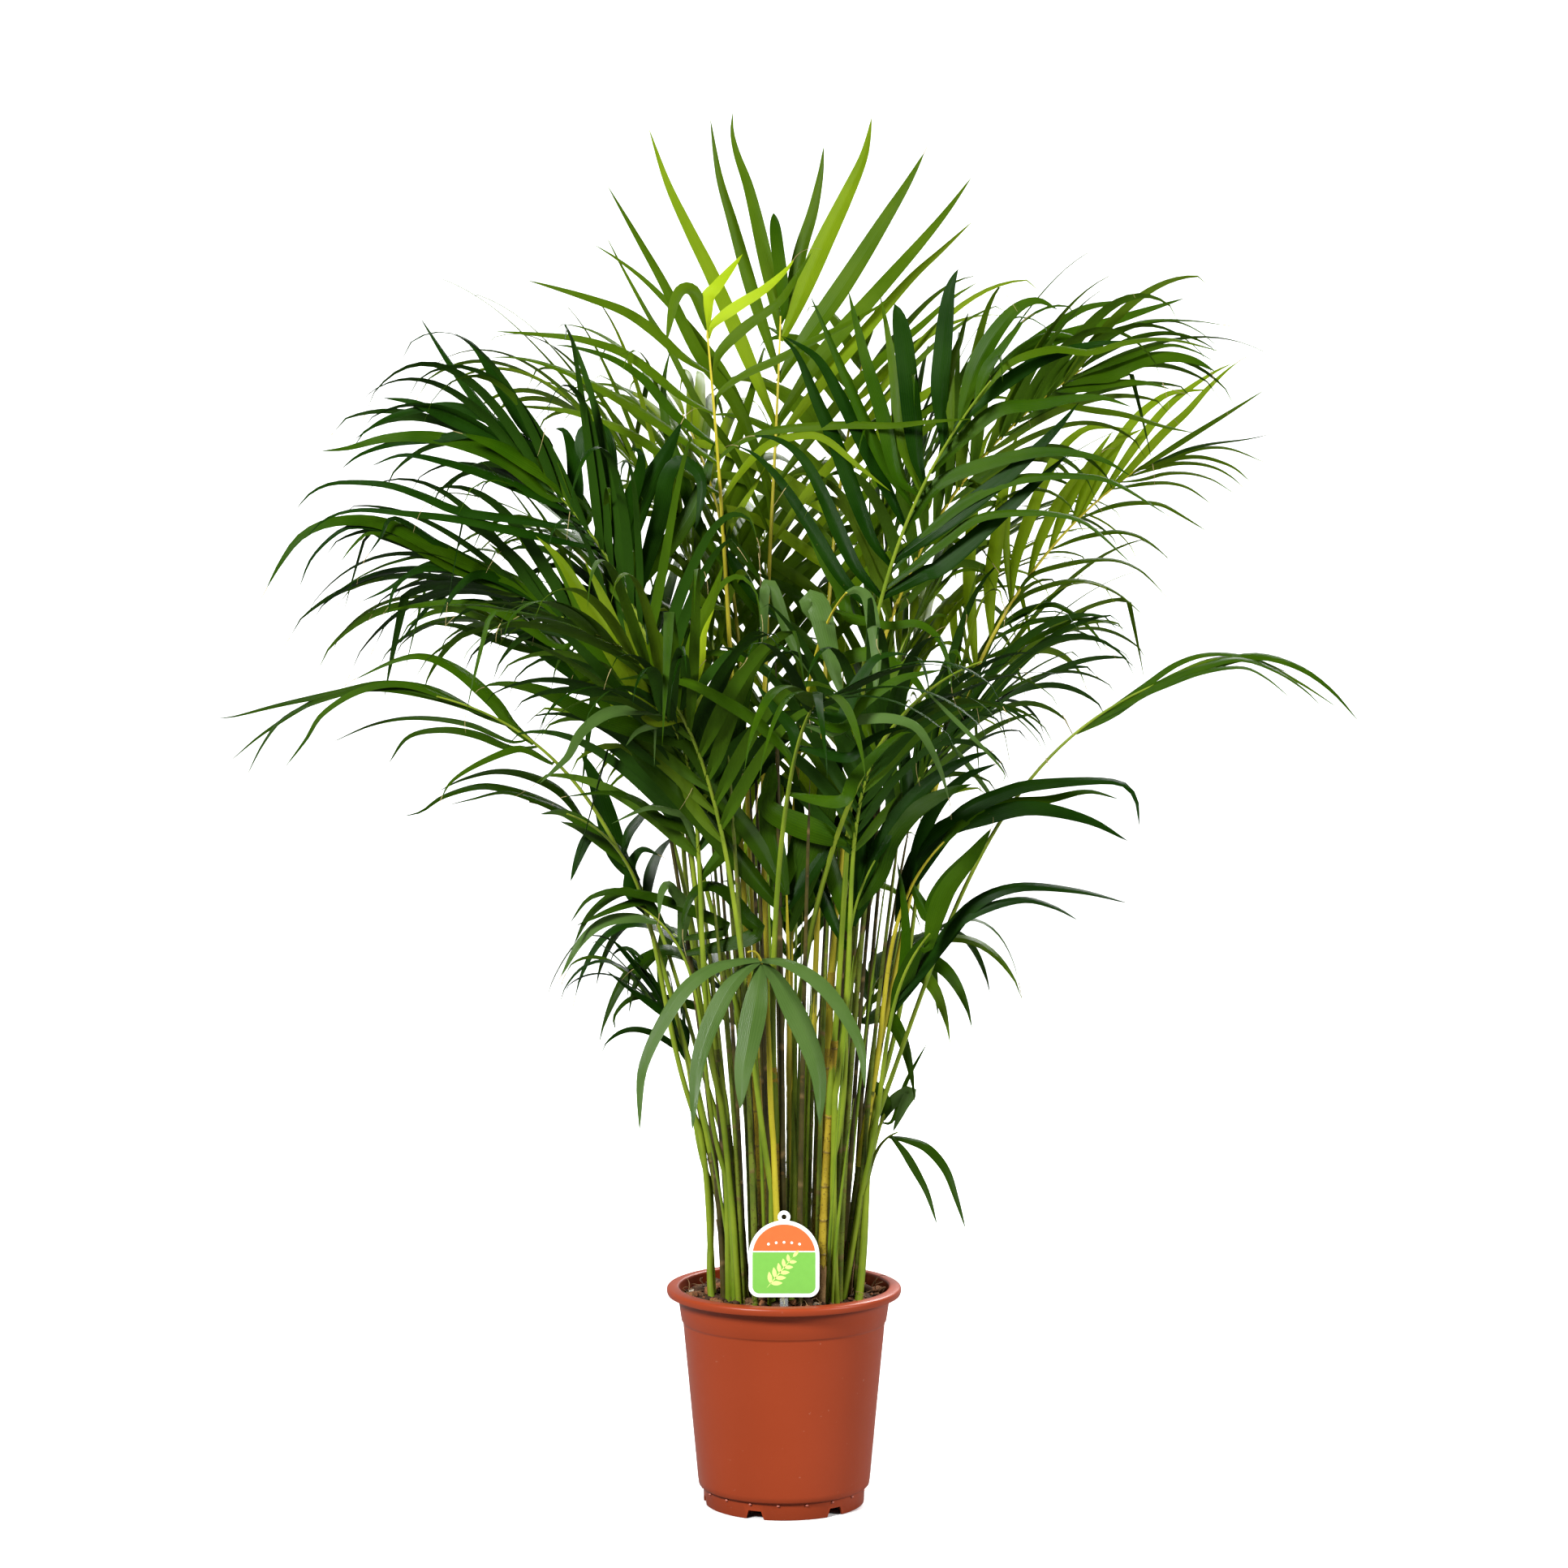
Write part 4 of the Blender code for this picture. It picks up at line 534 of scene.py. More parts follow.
        ("mid", 14, 25, -0.02, 2.2, (1020, 768), (1000, 757), (980, 732), (955, 717), (930, 705)),
        ("mid", 14, 25, -0.02, 2.2, (1018, 800), (1000, 793), (980, 777), (947, 748), (925, 735)),
    ),
    22: (
        ("silver_and_painted_sheen", 6, 15, -0.01, 2.4, (1202, 943), (1218, 977), (1233, 1014)),
    ),
    23: (
        ("olive", 12, 40, 0.00, 2, (745, 1053), (703, 1005), (661, 984), (619, 971), (587, 969), (545, 982),
         (519, 1000), (495, 1006)),
        ("olive", 9, 40, -0.02, 2, (756, 1068), (729, 1026), (693, 1000), (656, 984), (619, 976),
         (580, 985), (551, 992)),
        ("deep", 24, 12, -0.02, 3, (773, 1095), (761, 1053), (745, 1000), (732, 960), (716, 926)),
        ("deep", 13, 25, -0.01, 2.2, (740, 1040), (735, 1022), (722, 1035), (712, 1058), (703, 1086)),
        ("olive", 12, 35, 0.02, 2, (720, 1020), (690, 975), (650, 955), (610, 950), (570, 960), (540, 975)),
    ),
    24: (
        ("silver_and_painted_sheen", 14, 30, -0.05, 2, (815, 880), (787, 874), (748, 878), (717, 901), (702, 928), (693, 939),
         (664, 966)),
        ("olive", 12, 35, -0.04, 2, (862, 1060), (850, 1025), (819, 1011), (782, 984), (745, 976),
         (693, 982)),
        ("silver_and_painted_sheen", 10, 35, -0.04, 2, (862, 1050), (845, 1008), (829, 1000), (798, 995), (753, 1015)),
        ("olive", 27, 10, -0.03, 2.8, (885, 970), (890, 960), (898, 924), (909, 866), (925, 812),
         (934, 773)),
        ("silver_and_painted_sheen", 8, 20, -0.05, 2, (862, 950), (850, 880), (838, 820), (832, 803), (820, 812), (813, 839),
         (808, 889), (806, 945)),
        ("silver_and_painted_sheen", 10, 30, -0.05, 2, (845, 910), (832, 886), (813, 891), (786, 901), (771, 919)),
        ("mid", 20, 20, -0.03, 2.4, (937, 1080), (905, 1020), (865, 955), (834, 910)),
        ("fresh", 15, 20, -0.03, 2.4, (868, 1010), (857, 960), (848, 915), (840, 870)),
    ),
    25: (
        ("mid", 26, 15, -0.03, 2.6, (954, 1032), (950, 1000), (952, 965), (955, 940)),
    ),
    26: (
        ("olive", 19, 20, -0.02, 2.8, (1103, 1250), (1110, 1218), (1127, 1177), (1143, 1152), (1141, 1150)),
        ("mid", 20, 12, -0.03, 2.6, (1140, 1170), (1143, 1168), (1152, 1131), (1168, 1093), (1198, 1056),
         (1222, 1020)),
        ("deep", 19, 40, -0.05, 2.2, (1106, 1247), (1127, 1206), (1160, 1160), (1201, 1113), (1254, 1092),
         (1327, 1097), (1391, 1113)),
        ("deep", 16, 40, -0.04, 2.2, (1110, 1235), (1140, 1190), (1175, 1140), (1215, 1118), (1262, 1108),
         (1300, 1118), (1330, 1135)),
        ("mid", 12, 15, 0.00, 2.2, (1098, 1258), (1112, 1200), (1116, 1150), (1112, 1100), (1105, 1060)),
    ),
    27: (
        ("olive", 18, 30, -0.04, 2.4, (830, 1180), (929, 1152), (918, 1127), (898, 1102), (877, 1091),
         (856, 1098), (843, 1127), (841, 1150)),
        ("silver_and_painted_sheen", 15, 30, -0.04, 2.2, (835, 1170), (843, 1118), (831, 1098), (822, 1089), (814, 1102),
         (812, 1130)),
        ("olive", 14, 35, -0.03, 2, (825, 1160), (896, 1145), (857, 1123), (809, 1106), (765, 1098),
         (743, 1100), (722, 1110), (702, 1138)),
        ("olive", 12, 35, -0.02, 2, (815, 1150), (800, 1112), (787, 1110), (752, 1121), (709, 1141)),
        ("olive", 11, 35, -0.02, 2, (800, 1130), (780, 1100), (757, 1102), (726, 1128), (707, 1164)),
        ("silver_and_painted_sheen", 14, 30, -0.02, 2.2, (810, 1140), (782, 1130), (745, 1135), (715, 1160), (690, 1205)),
    ),
    28: (
        ("deep", 11, 25, -0.02, 2.2, (848, 1300), (843, 1267), (809, 1241), (778, 1219), (746, 1195)),
        ("deep", 11, 25, -0.02, 2.2, (838, 1270), (825, 1240), (809, 1219), (783, 1189), (754, 1158)),
    ),
    29: (
        ("silver_and_painted_sheen", 15, 20, -0.02, 2.4, (1088, 1382), (1100, 1358), (1122, 1345), (1113, 1363),
         (1100, 1395)),
        ("olive", 12, 20, -0.02, 3, (1086, 1383), (1092, 1362), (1078, 1336), (1070, 1350)),
        ("mid", 6, 15, 0.00, 2, (1090, 1385), (1100, 1380), (1117, 1332), (1143, 1284)),
    ),
    30: (
        ("olive", 11, 35, -0.03, 2, (1095, 1400), (1117, 1404), (1143, 1415), (1165, 1441), (1178, 1476),
         (1190, 1515)),
        ("olive", 10, 35, -0.03, 2, (1098, 1400), (1113, 1417), (1130, 1445), (1143, 1471), (1155, 1510)),
    ),
    39: (
        ("olive", 12, 40, 0.00, 2, (905, 1262), (891, 1252), (865, 1241), (830, 1232), (800, 1226),
         (774, 1232), (757, 1252), (759, 1271)),
    ),
    40: (
        ("deep", 14, 20, 0.00, 2.4, (797, 1127), (777, 1100), (776, 1080), (778, 1062), (792, 1046),
         (815, 1055)),
        ("deep", 14, 25, 0.10, 2.2, (790, 1110), (770, 1060), (745, 1030), (725, 1015)),
        ("olive", 13, 25, 0.12, 2.2, (770, 1070), (745, 1040), (715, 1020), (690, 1012)),
        ("deep", 13, 25, 0.14, 2.2, (795, 1120), (800, 1080), (812, 1050), (830, 1030)),
        ("olive", 12, 25, 0.10, 2.2, (740, 1035), (715, 1010), (690, 1000), (665, 1003)),
        ("deep", 12, 25, 0.16, 2.2, (760, 1060), (775, 1025), (795, 1000), (815, 985)),
    ),
    41: (
        ("painted_sunlit", 18, 14, -0.02, 2.6, (815, 900), (801, 882), (782, 828), (770, 800), (757, 780)),
        ("painted_sunlit", 19, 14, -0.02, 2.6, (822, 890), (809, 835), (794, 805), (783, 780), (774, 765)),
        ("fresh", 23, 10, -0.02, 6, (835, 880), (822, 850), (812, 812), (810, 790), (809, 775)),
        ("painted_sunlit", 16, 14, -0.02, 2.4, (830, 870), (800, 830), (770, 800), (745, 740), (720, 690)),
        ("fresh", 18, 14, -0.02, 2.4, (838, 890), (848, 835), (859, 782), (878, 735), (891, 696)),
        ("lime", 11, 14, -0.02, 2.4, (840, 900), (845, 860), (862, 820), (868, 780), (880, 750)),
        ("painted_sunlit", 20, 14, -0.02, 2.4, (820, 900), (790, 850), (755, 800), (720, 740), (690, 690),
         (660, 660)),
        ("olive", 22, 30, -0.02, 2.2, (885, 960), (846, 915), (808, 904), (746, 885), (715, 873),
         (665, 850), (615, 842), (592, 848)),
    ),
    42: (
        ("fresh", 12, 20, 0.01, 2.2, (1075, 925), (1067, 887), (1088, 855), (1100, 835), (1122, 810),
         (1147, 783)),
        ("silver_and_painted_sheen", 5, 15, -0.01, 2.4, (1214, 939), (1231, 943), (1235, 966)),
    ),
}
SINGLY = (1, 2, 4, 5, 6, 9, 10, 11, 12, 13, 17, 23, 26, 27, 29, 30, 40, 42)
OTHERS_FROM = {19: 0.84}      # share of the rib where a frond's other leaflets begin
# A share of the leaflets takes the next tone; fresh ones so take the sunlit tone, which is painted light
NEXT_TONE = {
    "fresh": "painted_sunlit", "mid": "fresh", "deep": "mid", "olive": "deep",
    "painted_sunlit": "fresh", "silver_and_painted_sheen": "olive", "lime": "fresh",
}
OTHER_TONE_SHARE = 0.22
GOLDEN_RIBS = (0, 1, 2, 4, 5, 10, 12, 16, 19, 32)
LIME_FROM = (1, 0.93)   # the young frond in front, and the share of its rib where lime begins

# Rib and petiole
PETIOLE = 0.0029
RIB_END = 0.0009
SPREAD = 0.20
START_HANDLE = 0.42
END_HANDLE = 0.36
RIB_SAMPLES = 48
RIB_SIDES = 10
RIB_RINGS = 40
CHANNEL = 0.42          # depth of the groove along the rib's upper side, in its radius
SHEATH_LENGTH = 0.075
SHEATH_RINGS = 9
SHEATH_SWELL = 0.0011
STEM_RINGS = 20
STALKS = 30               # stalks between the canes

# Leaflets
ROOT = 0.011
LENGTH_AT_COLLAR = 0.80
LONGEST_AT = 0.45
END_LEAFLET = 0.72
LEAF_STEPS = 18
PLACED_STEPS = 28
CURVE_STEPS = 8
RIB_MARKS = 400
DEPTH_CURVE = 1.4
LEAF_THICKNESS = 0.0005
DROOP_CURVE = 1.5
LIFT_LOSS = 0.6
COLLAR_WIDTH = 0.36     # a leaflet's width where it leaves the rib, against its widest
COLLAR_REACH = 0.20
PLACED_COLLAR = 0.28
PLACED_REACH = 0.42
FOLD_AT_ROOT = 36.0     # degrees that each half falls away from the midrib
FOLD_ALONG = 13.0
FOLD_FADE = 0.30
PLEAT = 0.050           # height of the pleat in each half, in half widths
CLEAR_OF_LIMBS = 0.0075
LEAF_TRIES = 6
KINKED_SHARE = 0.045    # leaflets that hang down from a kink
KINK_FALL = 3.2
THREAD_SHARE = 0.26     # leaflets with a thin dry thread past the tip
THREAD_RADIUS = 0.00042


def mix(a, b, share):
    return a + (b - a) * share


def smooth(share):
    share = min(max(share, 0.0), 1.0)
    return share * share * (3.0 - 2.0 * share)


def bump(distance, width):
    return math.exp(-(distance / width) ** 2)


# Node groups and materials

def new_group(name, inputs, outputs):
    """An empty shader node group with float inputs (name, default) and outputs."""
    group = bpy.data.node_groups.new(name, "ShaderNodeTree")
    for label, default in inputs:
        socket = group.interface.new_socket(name=label, in_out="INPUT", socket_type="NodeSocketFloat")
        socket.default_value = default
    for label in outputs:
        group.interface.new_socket(name=label, in_out="OUTPUT", socket_type="NodeSocketFloat")
    start = group.nodes.new("NodeGroupInput")
    end = group.nodes.new("NodeGroupOutput")
    return group, start, end


def maths(tree, operation, first, second=None, clamp=False):
    node = tree.nodes.new("ShaderNodeMath")
    node.operation = operation
    node.use_clamp = clamp
    for socket, value in zip(node.inputs, (first, second)):
        if value is None:
            continue
        if isinstance(value, (int, float)):
            socket.default_value = value
        else:
            tree.links.new(value, socket)
    return node.outputs[0]


def noise_of(tree, vector, scale, detail=3.0, roughness=0.55):
    node = tree.nodes.new("ShaderNodeTexNoise")
    tree.links.new(vector, node.inputs["Vector"])
    node.inputs["Detail"].default_value = detail
    node.inputs["Roughness"].default_value = roughness
    if isinstance(scale, (int, float)):
        node.inputs["Scale"].default_value = scale
    else:
        tree.links.new(scale, node.inputs["Scale"])
    return node.outputs["Fac"]


def ranged(tree, value, low, high, to_low=0.0, to_high=1.0):
    node = tree.nodes.new("ShaderNodeMapRange")
    node.interpolation_type = "SMOOTHSTEP"
    tree.links.new(value, node.inputs["Value"])
    for label, number in zip(("From Min", "From Max", "To Min", "To Max"), (low, high, to_low, to_high)):
        if isinstance(number, (int, float)):
            node.inputs[label].default_value = number
        else:
            tree.links.new(number, node.inputs[label])
    return node.outputs["Result"]


def place_of(tree, kind="Object"):
    return tree.nodes.new("ShaderNodeTexCoord").outputs[kind]


def mottle_group():
    """Soft cloudy variation over the surface, from 0 to 1."""
    group, start, end = new_group("Mottle", [("Scale", 20.0), ("Contrast", 0.3)], ["Mask"])
    cloud = noise_of(group, place_of(group), start.outputs["Scale"])
    low = maths(group, "SUBTRACT", 0.5, start.outputs["Contrast"])
    high = maths(group, "ADD", 0.5, start.outputs["Contrast"])
    group.links.new(ranged(group, cloud, low, high), end.inputs["Mask"])
    return group


def veins_group():
    """Fine lines along a leaflet: their height, and a mask of the lines themselves."""
    group, start, end = new_group("Veins", [("Lines", 16.0), ("Unevenness", 0.2)], ["Height", "Lines"])
    split = group.nodes.new("ShaderNodeSeparateXYZ")
    group.links.new(place_of(group, "UV"), split.inputs[0])
    wander = noise_of(group, place_of(group), 35.0, 1.0)
    shift = maths(group, "MULTIPLY", wander, start.outputs["Unevenness"])
    across = maths(group, "ADD", maths(group, "MULTIPLY", split.outputs["X"], start.outputs["Lines"]), shift)
    wave = maths(group, "SINE", maths(group, "MULTIPLY", across, 2.0 * math.pi))
    height = maths(group, "MULTIPLY_ADD", wave, 0.5)
    height.node.inputs[2].default_value = 0.5
    group.links.new(height, end.inputs["Height"])
    group.links.new(ranged(group, height, 0.62, 0.98), end.inputs["Lines"])
    return group


def speckle_group():
    """Small irregular spots, as on a cane or in soil."""
    group, start, end = new_group("Speckle", [("Scale", 300.0), ("Amount", 0.4)], ["Mask"])
    fine = noise_of(group, place_of(group), start.outputs["Scale"], 2.0, 0.6)
    edge = maths(group, "SUBTRACT", 0.78, maths(group, "MULTIPLY", start.outputs["Amount"], 0.4))
    top = maths(group, "ADD", edge, 0.06)
    group.links.new(ranged(group, fine, edge, top), end.inputs["Mask"])
    return group


def rings_group():
    """Leaf scars round a cane, from its UV height in scar spacings."""
    group, start, end = new_group("Leaf Scars", [("Width", 0.05), ("Depth", 1.0)], ["Mask", "Height"])
    split = group.nodes.new("ShaderNodeSeparateXYZ")
    group.links.new(place_of(group, "UV"), split.inputs[0])
    wander = maths(group, "MULTIPLY", noise_of(group, place_of(group), 60.0, 1.0), 0.12)
    along = maths(group, "FRACT", maths(group, "ADD", split.outputs["Y"], wander))
    off = maths(group, "ABSOLUTE", maths(group, "SUBTRACT", along, 0.5))
    line = maths(group, "SUBTRACT", 1.0, ranged(group, off, 0.0, start.outputs["Width"]))
    group.links.new(line, end.inputs["Mask"])
    group.links.new(maths(group, "MULTIPLY", line, start.outputs["Depth"]), end.inputs["Height"])
    return group


def shared_groups():
    makers = {"Mottle": mottle_group, "Veins": veins_group, "Speckle": speckle_group, "Leaf Scars": rings_group}
    for name, maker in makers.items():
        if name not in bpy.data.node_groups:
            maker()


class Finish:
    """A material with one Principled shader, whose colour is layered and then wired in."""

    def __init__(self, name, colour, roughness, specular=0.5):
        self.material = bpy.data.materials.new(name)
        self.material.use_nodes = True
        self.material.diffuse_color = (*colour, 1.0)
        self.tree = self.material.node_tree
        self.shader = self.tree.nodes["Principled BSDF"]
        self.shader.inputs["Specular IOR Level"].default_value = specular
        self.shader.inputs["Roughness"].default_value = roughness
        self.base = (*colour, 1.0)
        self.colour = None
        self.heights = []

    def group(self, name, output, **values):
        node = self.tree.nodes.new("ShaderNodeGroup")
        node.node_tree = bpy.data.node_groups[name]
        for label, value in values.items():
            node.inputs[label].default_value = value
        return node.outputs[output]

    def layer(self, mask, colour, strength=1.0, mode="MIX"):
        """Lays another colour over what is there, where the mask is bright."""
        node = self.tree.nodes.new("ShaderNodeMix")
        node.data_type = "RGBA"
        node.blend_type = mode
        amount = maths(self.tree, "MULTIPLY", mask, strength)
        self.tree.links.new(amount, node.inputs["Factor"])
        if self.colour is None:
            node.inputs[6].default_value = self.base
        else:
            self.tree.links.new(self.colour, node.inputs[6])
        node.inputs[7].default_value = (*colour, 1.0)
        self.colour = node.outputs[2]

    def roughen(self, mask, low, high):
        self.tree.links.new(ranged(self.tree, mask, 0.0, 1.0, low, high), self.shader.inputs["Roughness"])

    def relief(self, height, distance, strength=1.0):
        node = self.tree.nodes.new("ShaderNodeBump")
        node.inputs["Distance"].default_value = distance
        node.inputs["Strength"].default_value = strength
        self.tree.links.new(height, node.inputs["Height"])
        if self.heights:
            self.tree.links.new(self.heights[-1], node.inputs["Normal"])
        self.heights.append(node.outputs[0])

    def done(self, glow=0.0):
        """Wires colour and relief. glow is the share of light that comes through a thin leaf."""
        self.tree.links.new(self.colour, self.shader.inputs["Base Color"])
        if self.heights:
            self.tree.links.new(self.heights[-1], self.shader.inputs["Normal"])
        if glow:
            through = self.tree.nodes.new("ShaderNodeBsdfTranslucent")
            bright = self.tree.nodes.new("ShaderNodeHueSaturation")
            bright.inputs["Hue"].default_value = 0.487
            bright.inputs["Value"].default_value = 2.8
            bright.inputs["Saturation"].default_value = 1.05
            self.tree.links.new(self.colour, bright.inputs["Color"])
            self.tree.links.new(bright.outputs[0], through.inputs["Color"])
            both = self.tree.nodes.new("ShaderNodeMixShader")
            both.inputs[0].default_value = glow
            self.tree.links.new(self.shader.outputs[0], both.inputs[1])
            self.tree.links.new(through.outputs[0], both.inputs[2])
            self.tree.links.new(both.outputs[0], self.tree.nodes["Material Output"].inputs["Surface"])
        return self.material


def leaf_finish(name, colour, light, glow, roughness, gloss=0.07):
    """The upper side of a leaflet: glossy, with fine veins and a little cloudiness."""
    finish = Finish(name, colour, roughness, gloss)
    cloud = finish.group("Mottle", "Mask", Scale=14.0, Contrast=0.28)
    finish.layer(cloud, light, 0.65)
    finish.layer(finish.group("Veins", "Lines", Lines=9.0, Unevenness=0.25), light, 0.30)
    finish.layer(finish.group("Speckle", "Mask", Scale=240.0, Amount=0.12), (0.16, 0.13, 0.04), 0.25)
    finish.roughen(cloud, roughness - 0.06, roughness + 0.10)
    finish.relief(finish.group("Veins", "Height", Lines=14.0, Unevenness=0.25), 0.00022, 0.55)
    return finish.done(glow)


def underside_finish(name, colour, light, glow):
    """The underside of a leaflet: duller and greyer."""
    dull = tuple(mix(c, g, 0.10) for c, g in zip(light, (0.06, 0.12, 0.015)))
    finish = Finish(name, dull, 0.55, 0.08)
    finish.layer(finish.group("Mottle", "Mask", Scale=18.0, Contrast=0.3), colour, 0.35)
    finish.relief(finish.group("Veins", "Height", Lines=14.0, Unevenness=0.25), 0.00022, 0.6)
    return finish.done(glow)


def rib_finish(name, colour, light):
    finish = Finish(name, colour, 0.40, 0.25)
    finish.layer(finish.group("Mottle", "Mask", Scale=22.0, Contrast=0.25), light, 0.7)
    finish.layer(finish.group("Speckle", "Mask", Scale=420.0, Amount=0.30), (0.10, 0.065, 0.015), 0.45)
    finish.relief(finish.group("Mottle", "Mask", Scale=350.0, Contrast=0.4), 0.0002, 0.4)
    return finish.done()


def cane_finish(name, colour, light):
    finish = Finish(name, colour, 0.44, 0.25)
    finish.layer(finish.group("Mottle", "Mask", Scale=30.0, Contrast=0.22), light, 0.8)
    finish.layer(finish.group("Speckle", "Mask", Scale=520.0, Amount=0.46), (0.055, 0.030, 0.008), 0.75)
    finish.layer(finish.group("Speckle", "Mask", Scale=140.0, Amount=0.34), (0.10, 0.055, 0.012), 0.6)
    finish.layer(finish.group("Leaf Scars", "Mask", Width=0.045), (0.13, 0.085, 0.030), 0.8)
    finish.relief(finish.group("Leaf Scars", "Height", Width=0.06, Depth=1.0), 0.0005, 0.8)
    finish.relief(finish.group("Mottle", "Mask", Scale=400.0, Contrast=0.4), 0.0003, 0.5)
    return finish.done()


def dry_finish(name, colour, light):
    """Papery brown sheath or fibre."""
    finish = Finish(name, colour, 0.75, 0.25)
    finish.layer(finish.group("Mottle", "Mask", Scale=60.0, Contrast=0.25), light, 0.8)
    finish.layer(finish.group("Speckle", "Mask", Scale=500.0, Amount=0.4), (0.03, 0.016, 0.006), 0.6)
    finish.relief(finish.group("Mottle", "Mask", Scale=500.0, Contrast=0.4), 0.0006, 0.7)
    return finish.done()


def pot_finish(colour):
    """Moulded nursery plastic: even, slightly glossy, with a faint grain and dusty scuffs."""
    finish = Finish("pot_plastic", colour, 0.34, 0.22)
    dust = finish.group("Mottle", "Mask", Scale=7.0, Contrast=0.30)
    finish.layer(dust, tuple(c * 1.12 for c in colour), 0.6)
    finish.layer(finish.group("Speckle", "Mask", Scale=160.0, Amount=0.16), (0.55, 0.30, 0.22), 0.18)
    finish.roughen(dust, 0.34, 0.46)
    finish.relief(finish.group("Mottle", "Mask", Scale=900.0, Contrast=0.45), 0.0001, 0.25)
    return finish.done()


def soil_finish(name, colour, light):
    finish = Finish(name, colour, 0.95, 0.2)
    finish.layer(finish.group("Mottle", "Mask", Scale=90.0, Contrast=0.2), light, 0.9)
    finish.layer(finish.group("Speckle", "Mask", Scale=420.0, Amount=0.40), (0.012, 0.007, 0.004), 0.8)
    finish.layer(finish.group("Speckle", "Mask", Scale=260.0, Amount=0.18), (0.30, 0.13, 0.05), 0.7)
    finish.relief(finish.group("Mottle", "Mask", Scale=420.0, Contrast=0.4), 0.0012, 0.9)
    return finish.done()


def print_finish(name, colour, light, roughness=0.32):
    """Ink on a plastic card, with a faint unevenness."""
    finish = Finish(name, colour, roughness, 0.5)
    finish.layer(finish.group("Mottle", "Mask", Scale=160.0, Contrast=0.3), light, 0.5)
    finish.relief(finish.group("Mottle", "Mask", Scale=600.0, Contrast=0.4), 0.00005, 0.3)
    return finish.done()


def stake_finish():
    """Clear moulded plastic."""
    finish = Finish("clear_plastic", (0.90, 0.93, 0.93), 0.12, 0.5)
    finish.shader.inputs["Transmission Weight"].default_value = 0.85
    finish.shader.inputs["IOR"].default_value = 1.49
    finish.layer(finish.group("Mottle", "Mask", Scale=80.0, Contrast=0.3), (0.80, 0.85, 0.86), 0.6)
    return finish.done()


# Mesh helpers

class Sheetwork:
    """Collects vertices, faces, material numbers and UVs of many like things, joined in one mesh."""

    def __init__(self):
        self.verts = []
        self.uvs = []
        self.faces = []
        self.slots = []

    def rings(self, rings, uvs, slots, cap_start=False, cap_end=False, tip=None, tip_uv=(0.5, 1.0)):
        """Lofts closed rings of equal count. slots gives the material number round the ring."""
        count = len(rings[0])
        base = len(self.verts)
        for ring, ring_uvs in zip(rings, uvs):
            self.verts.extend(ring)
            self.uvs.extend(ring_uvs)
        for r in range(len(rings) - 1):
            a = base + r * count
            b = a + count
            for k in range(count):
                n = (k + 1) % count
                self.faces.append((a + k, a + n, b + n, b + k))
                self.slots.append(slots[k])
        if cap_start:
            self.faces.append(tuple(base + count - 1 - k for k in range(count)))
            self.slots.append(slots[0])
        last = base + (len(rings) - 1) * count
        if tip is not None:
            self.verts.append(tip)
            self.uvs.append(tip_uv)
            end = len(self.verts) - 1
            for k in range(count):
                self.faces.append((last + k, last + (k + 1) % count, end))
                self.slots.append(slots[k])
        elif cap_end:
            self.faces.append(tuple(last + k for k in range(count)))
            self.slots.append(slots[0])

    def piece(self, name, materials, slot, sharp=50.0):
        mesh = bpy.data.meshes.new(name)
        mesh.from_pydata([tuple(v) for v in self.verts], [], self.faces)
        mesh.polygons.foreach_set("material_index", self.slots)
        corners = np.empty(len(mesh.loops), np.int32)
        mesh.loops.foreach_get("vertex_index", corners)
        uvs = np.array(self.uvs, np.float32)[corners]
        mesh.uv_layers.new(name="UVMap").data.foreach_set("uv", uvs.ravel())
        for material in materials:
            mesh.materials.append(material)
        mesh.shade_smooth()
        mesh.set_sharp_from_angle(angle=math.radians(sharp))
        obj = bpy.data.objects.new(name, mesh)
        bpy.context.scene.collection.objects.link(obj)
        return keep(obj, slot)


def keep(obj, slot):
    """Every piece rides on the one body; slot is not used."""
    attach(obj, BODY)
    return obj


def mesh_object(name, mesh):
    obj = bpy.data.objects.new(name, mesh)
    bpy.context.scene.collection.objects.link(obj)
    return obj


def from_bmesh(name, bm, material, sharp=40.0):
    mesh = bpy.data.meshes.new(name)
    bm.to_mesh(mesh)
    bm.free()
    mesh.materials.append(material)
    mesh.shade_smooth()
    mesh.set_sharp_from_angle(angle=math.radians(sharp))
    return mesh_object(name, mesh)


def apply_modifiers(obj):
    """Replaces the object's mesh by its evaluated one."""
    seen = obj.evaluated_get(bpy.context.evaluated_depsgraph_get())
    mesh = bpy.data.meshes.new_from_object(seen)
    obj.modifiers.clear()
    obj.data = mesh
    return obj


# Canes and ribs, by the rule of the solids

def around(azimuth, radius, height):
    angle = math.radians(azimuth)
    return CLUMP_CENTRE + Vector((radius * math.cos(angle), radius * math.sin(angle), height))


def cane_point(cane, share):
    """A point on the cane's axis and the direction it grows in there."""
    lean = math.tan(math.radians(cane.lean)) * cane.height
    out = cane.ring + lean * share * (1.0 - CANE_BOW + CANE_BOW * share)
    slope = lean * (1.0 - CANE_BOW + 2.0 * CANE_BOW * share)
    radial = around(cane.angle, 1.0, 0.0) - CLUMP_CENTRE
    point = around(cane.angle, out, SOIL_TOP + GAP + cane.height * share)
    return point, (radial * slope + UP * cane.height).normalized()


def cane_radius(cane, share):
    flare = CANE_FLARE * math.exp(-cane.height * max(share, 0.0) / CANE_FLARE_REACH)
    return cane.thickness / 2 * (1.0 + (CANE_TAPER - 1.0) * share + flare)


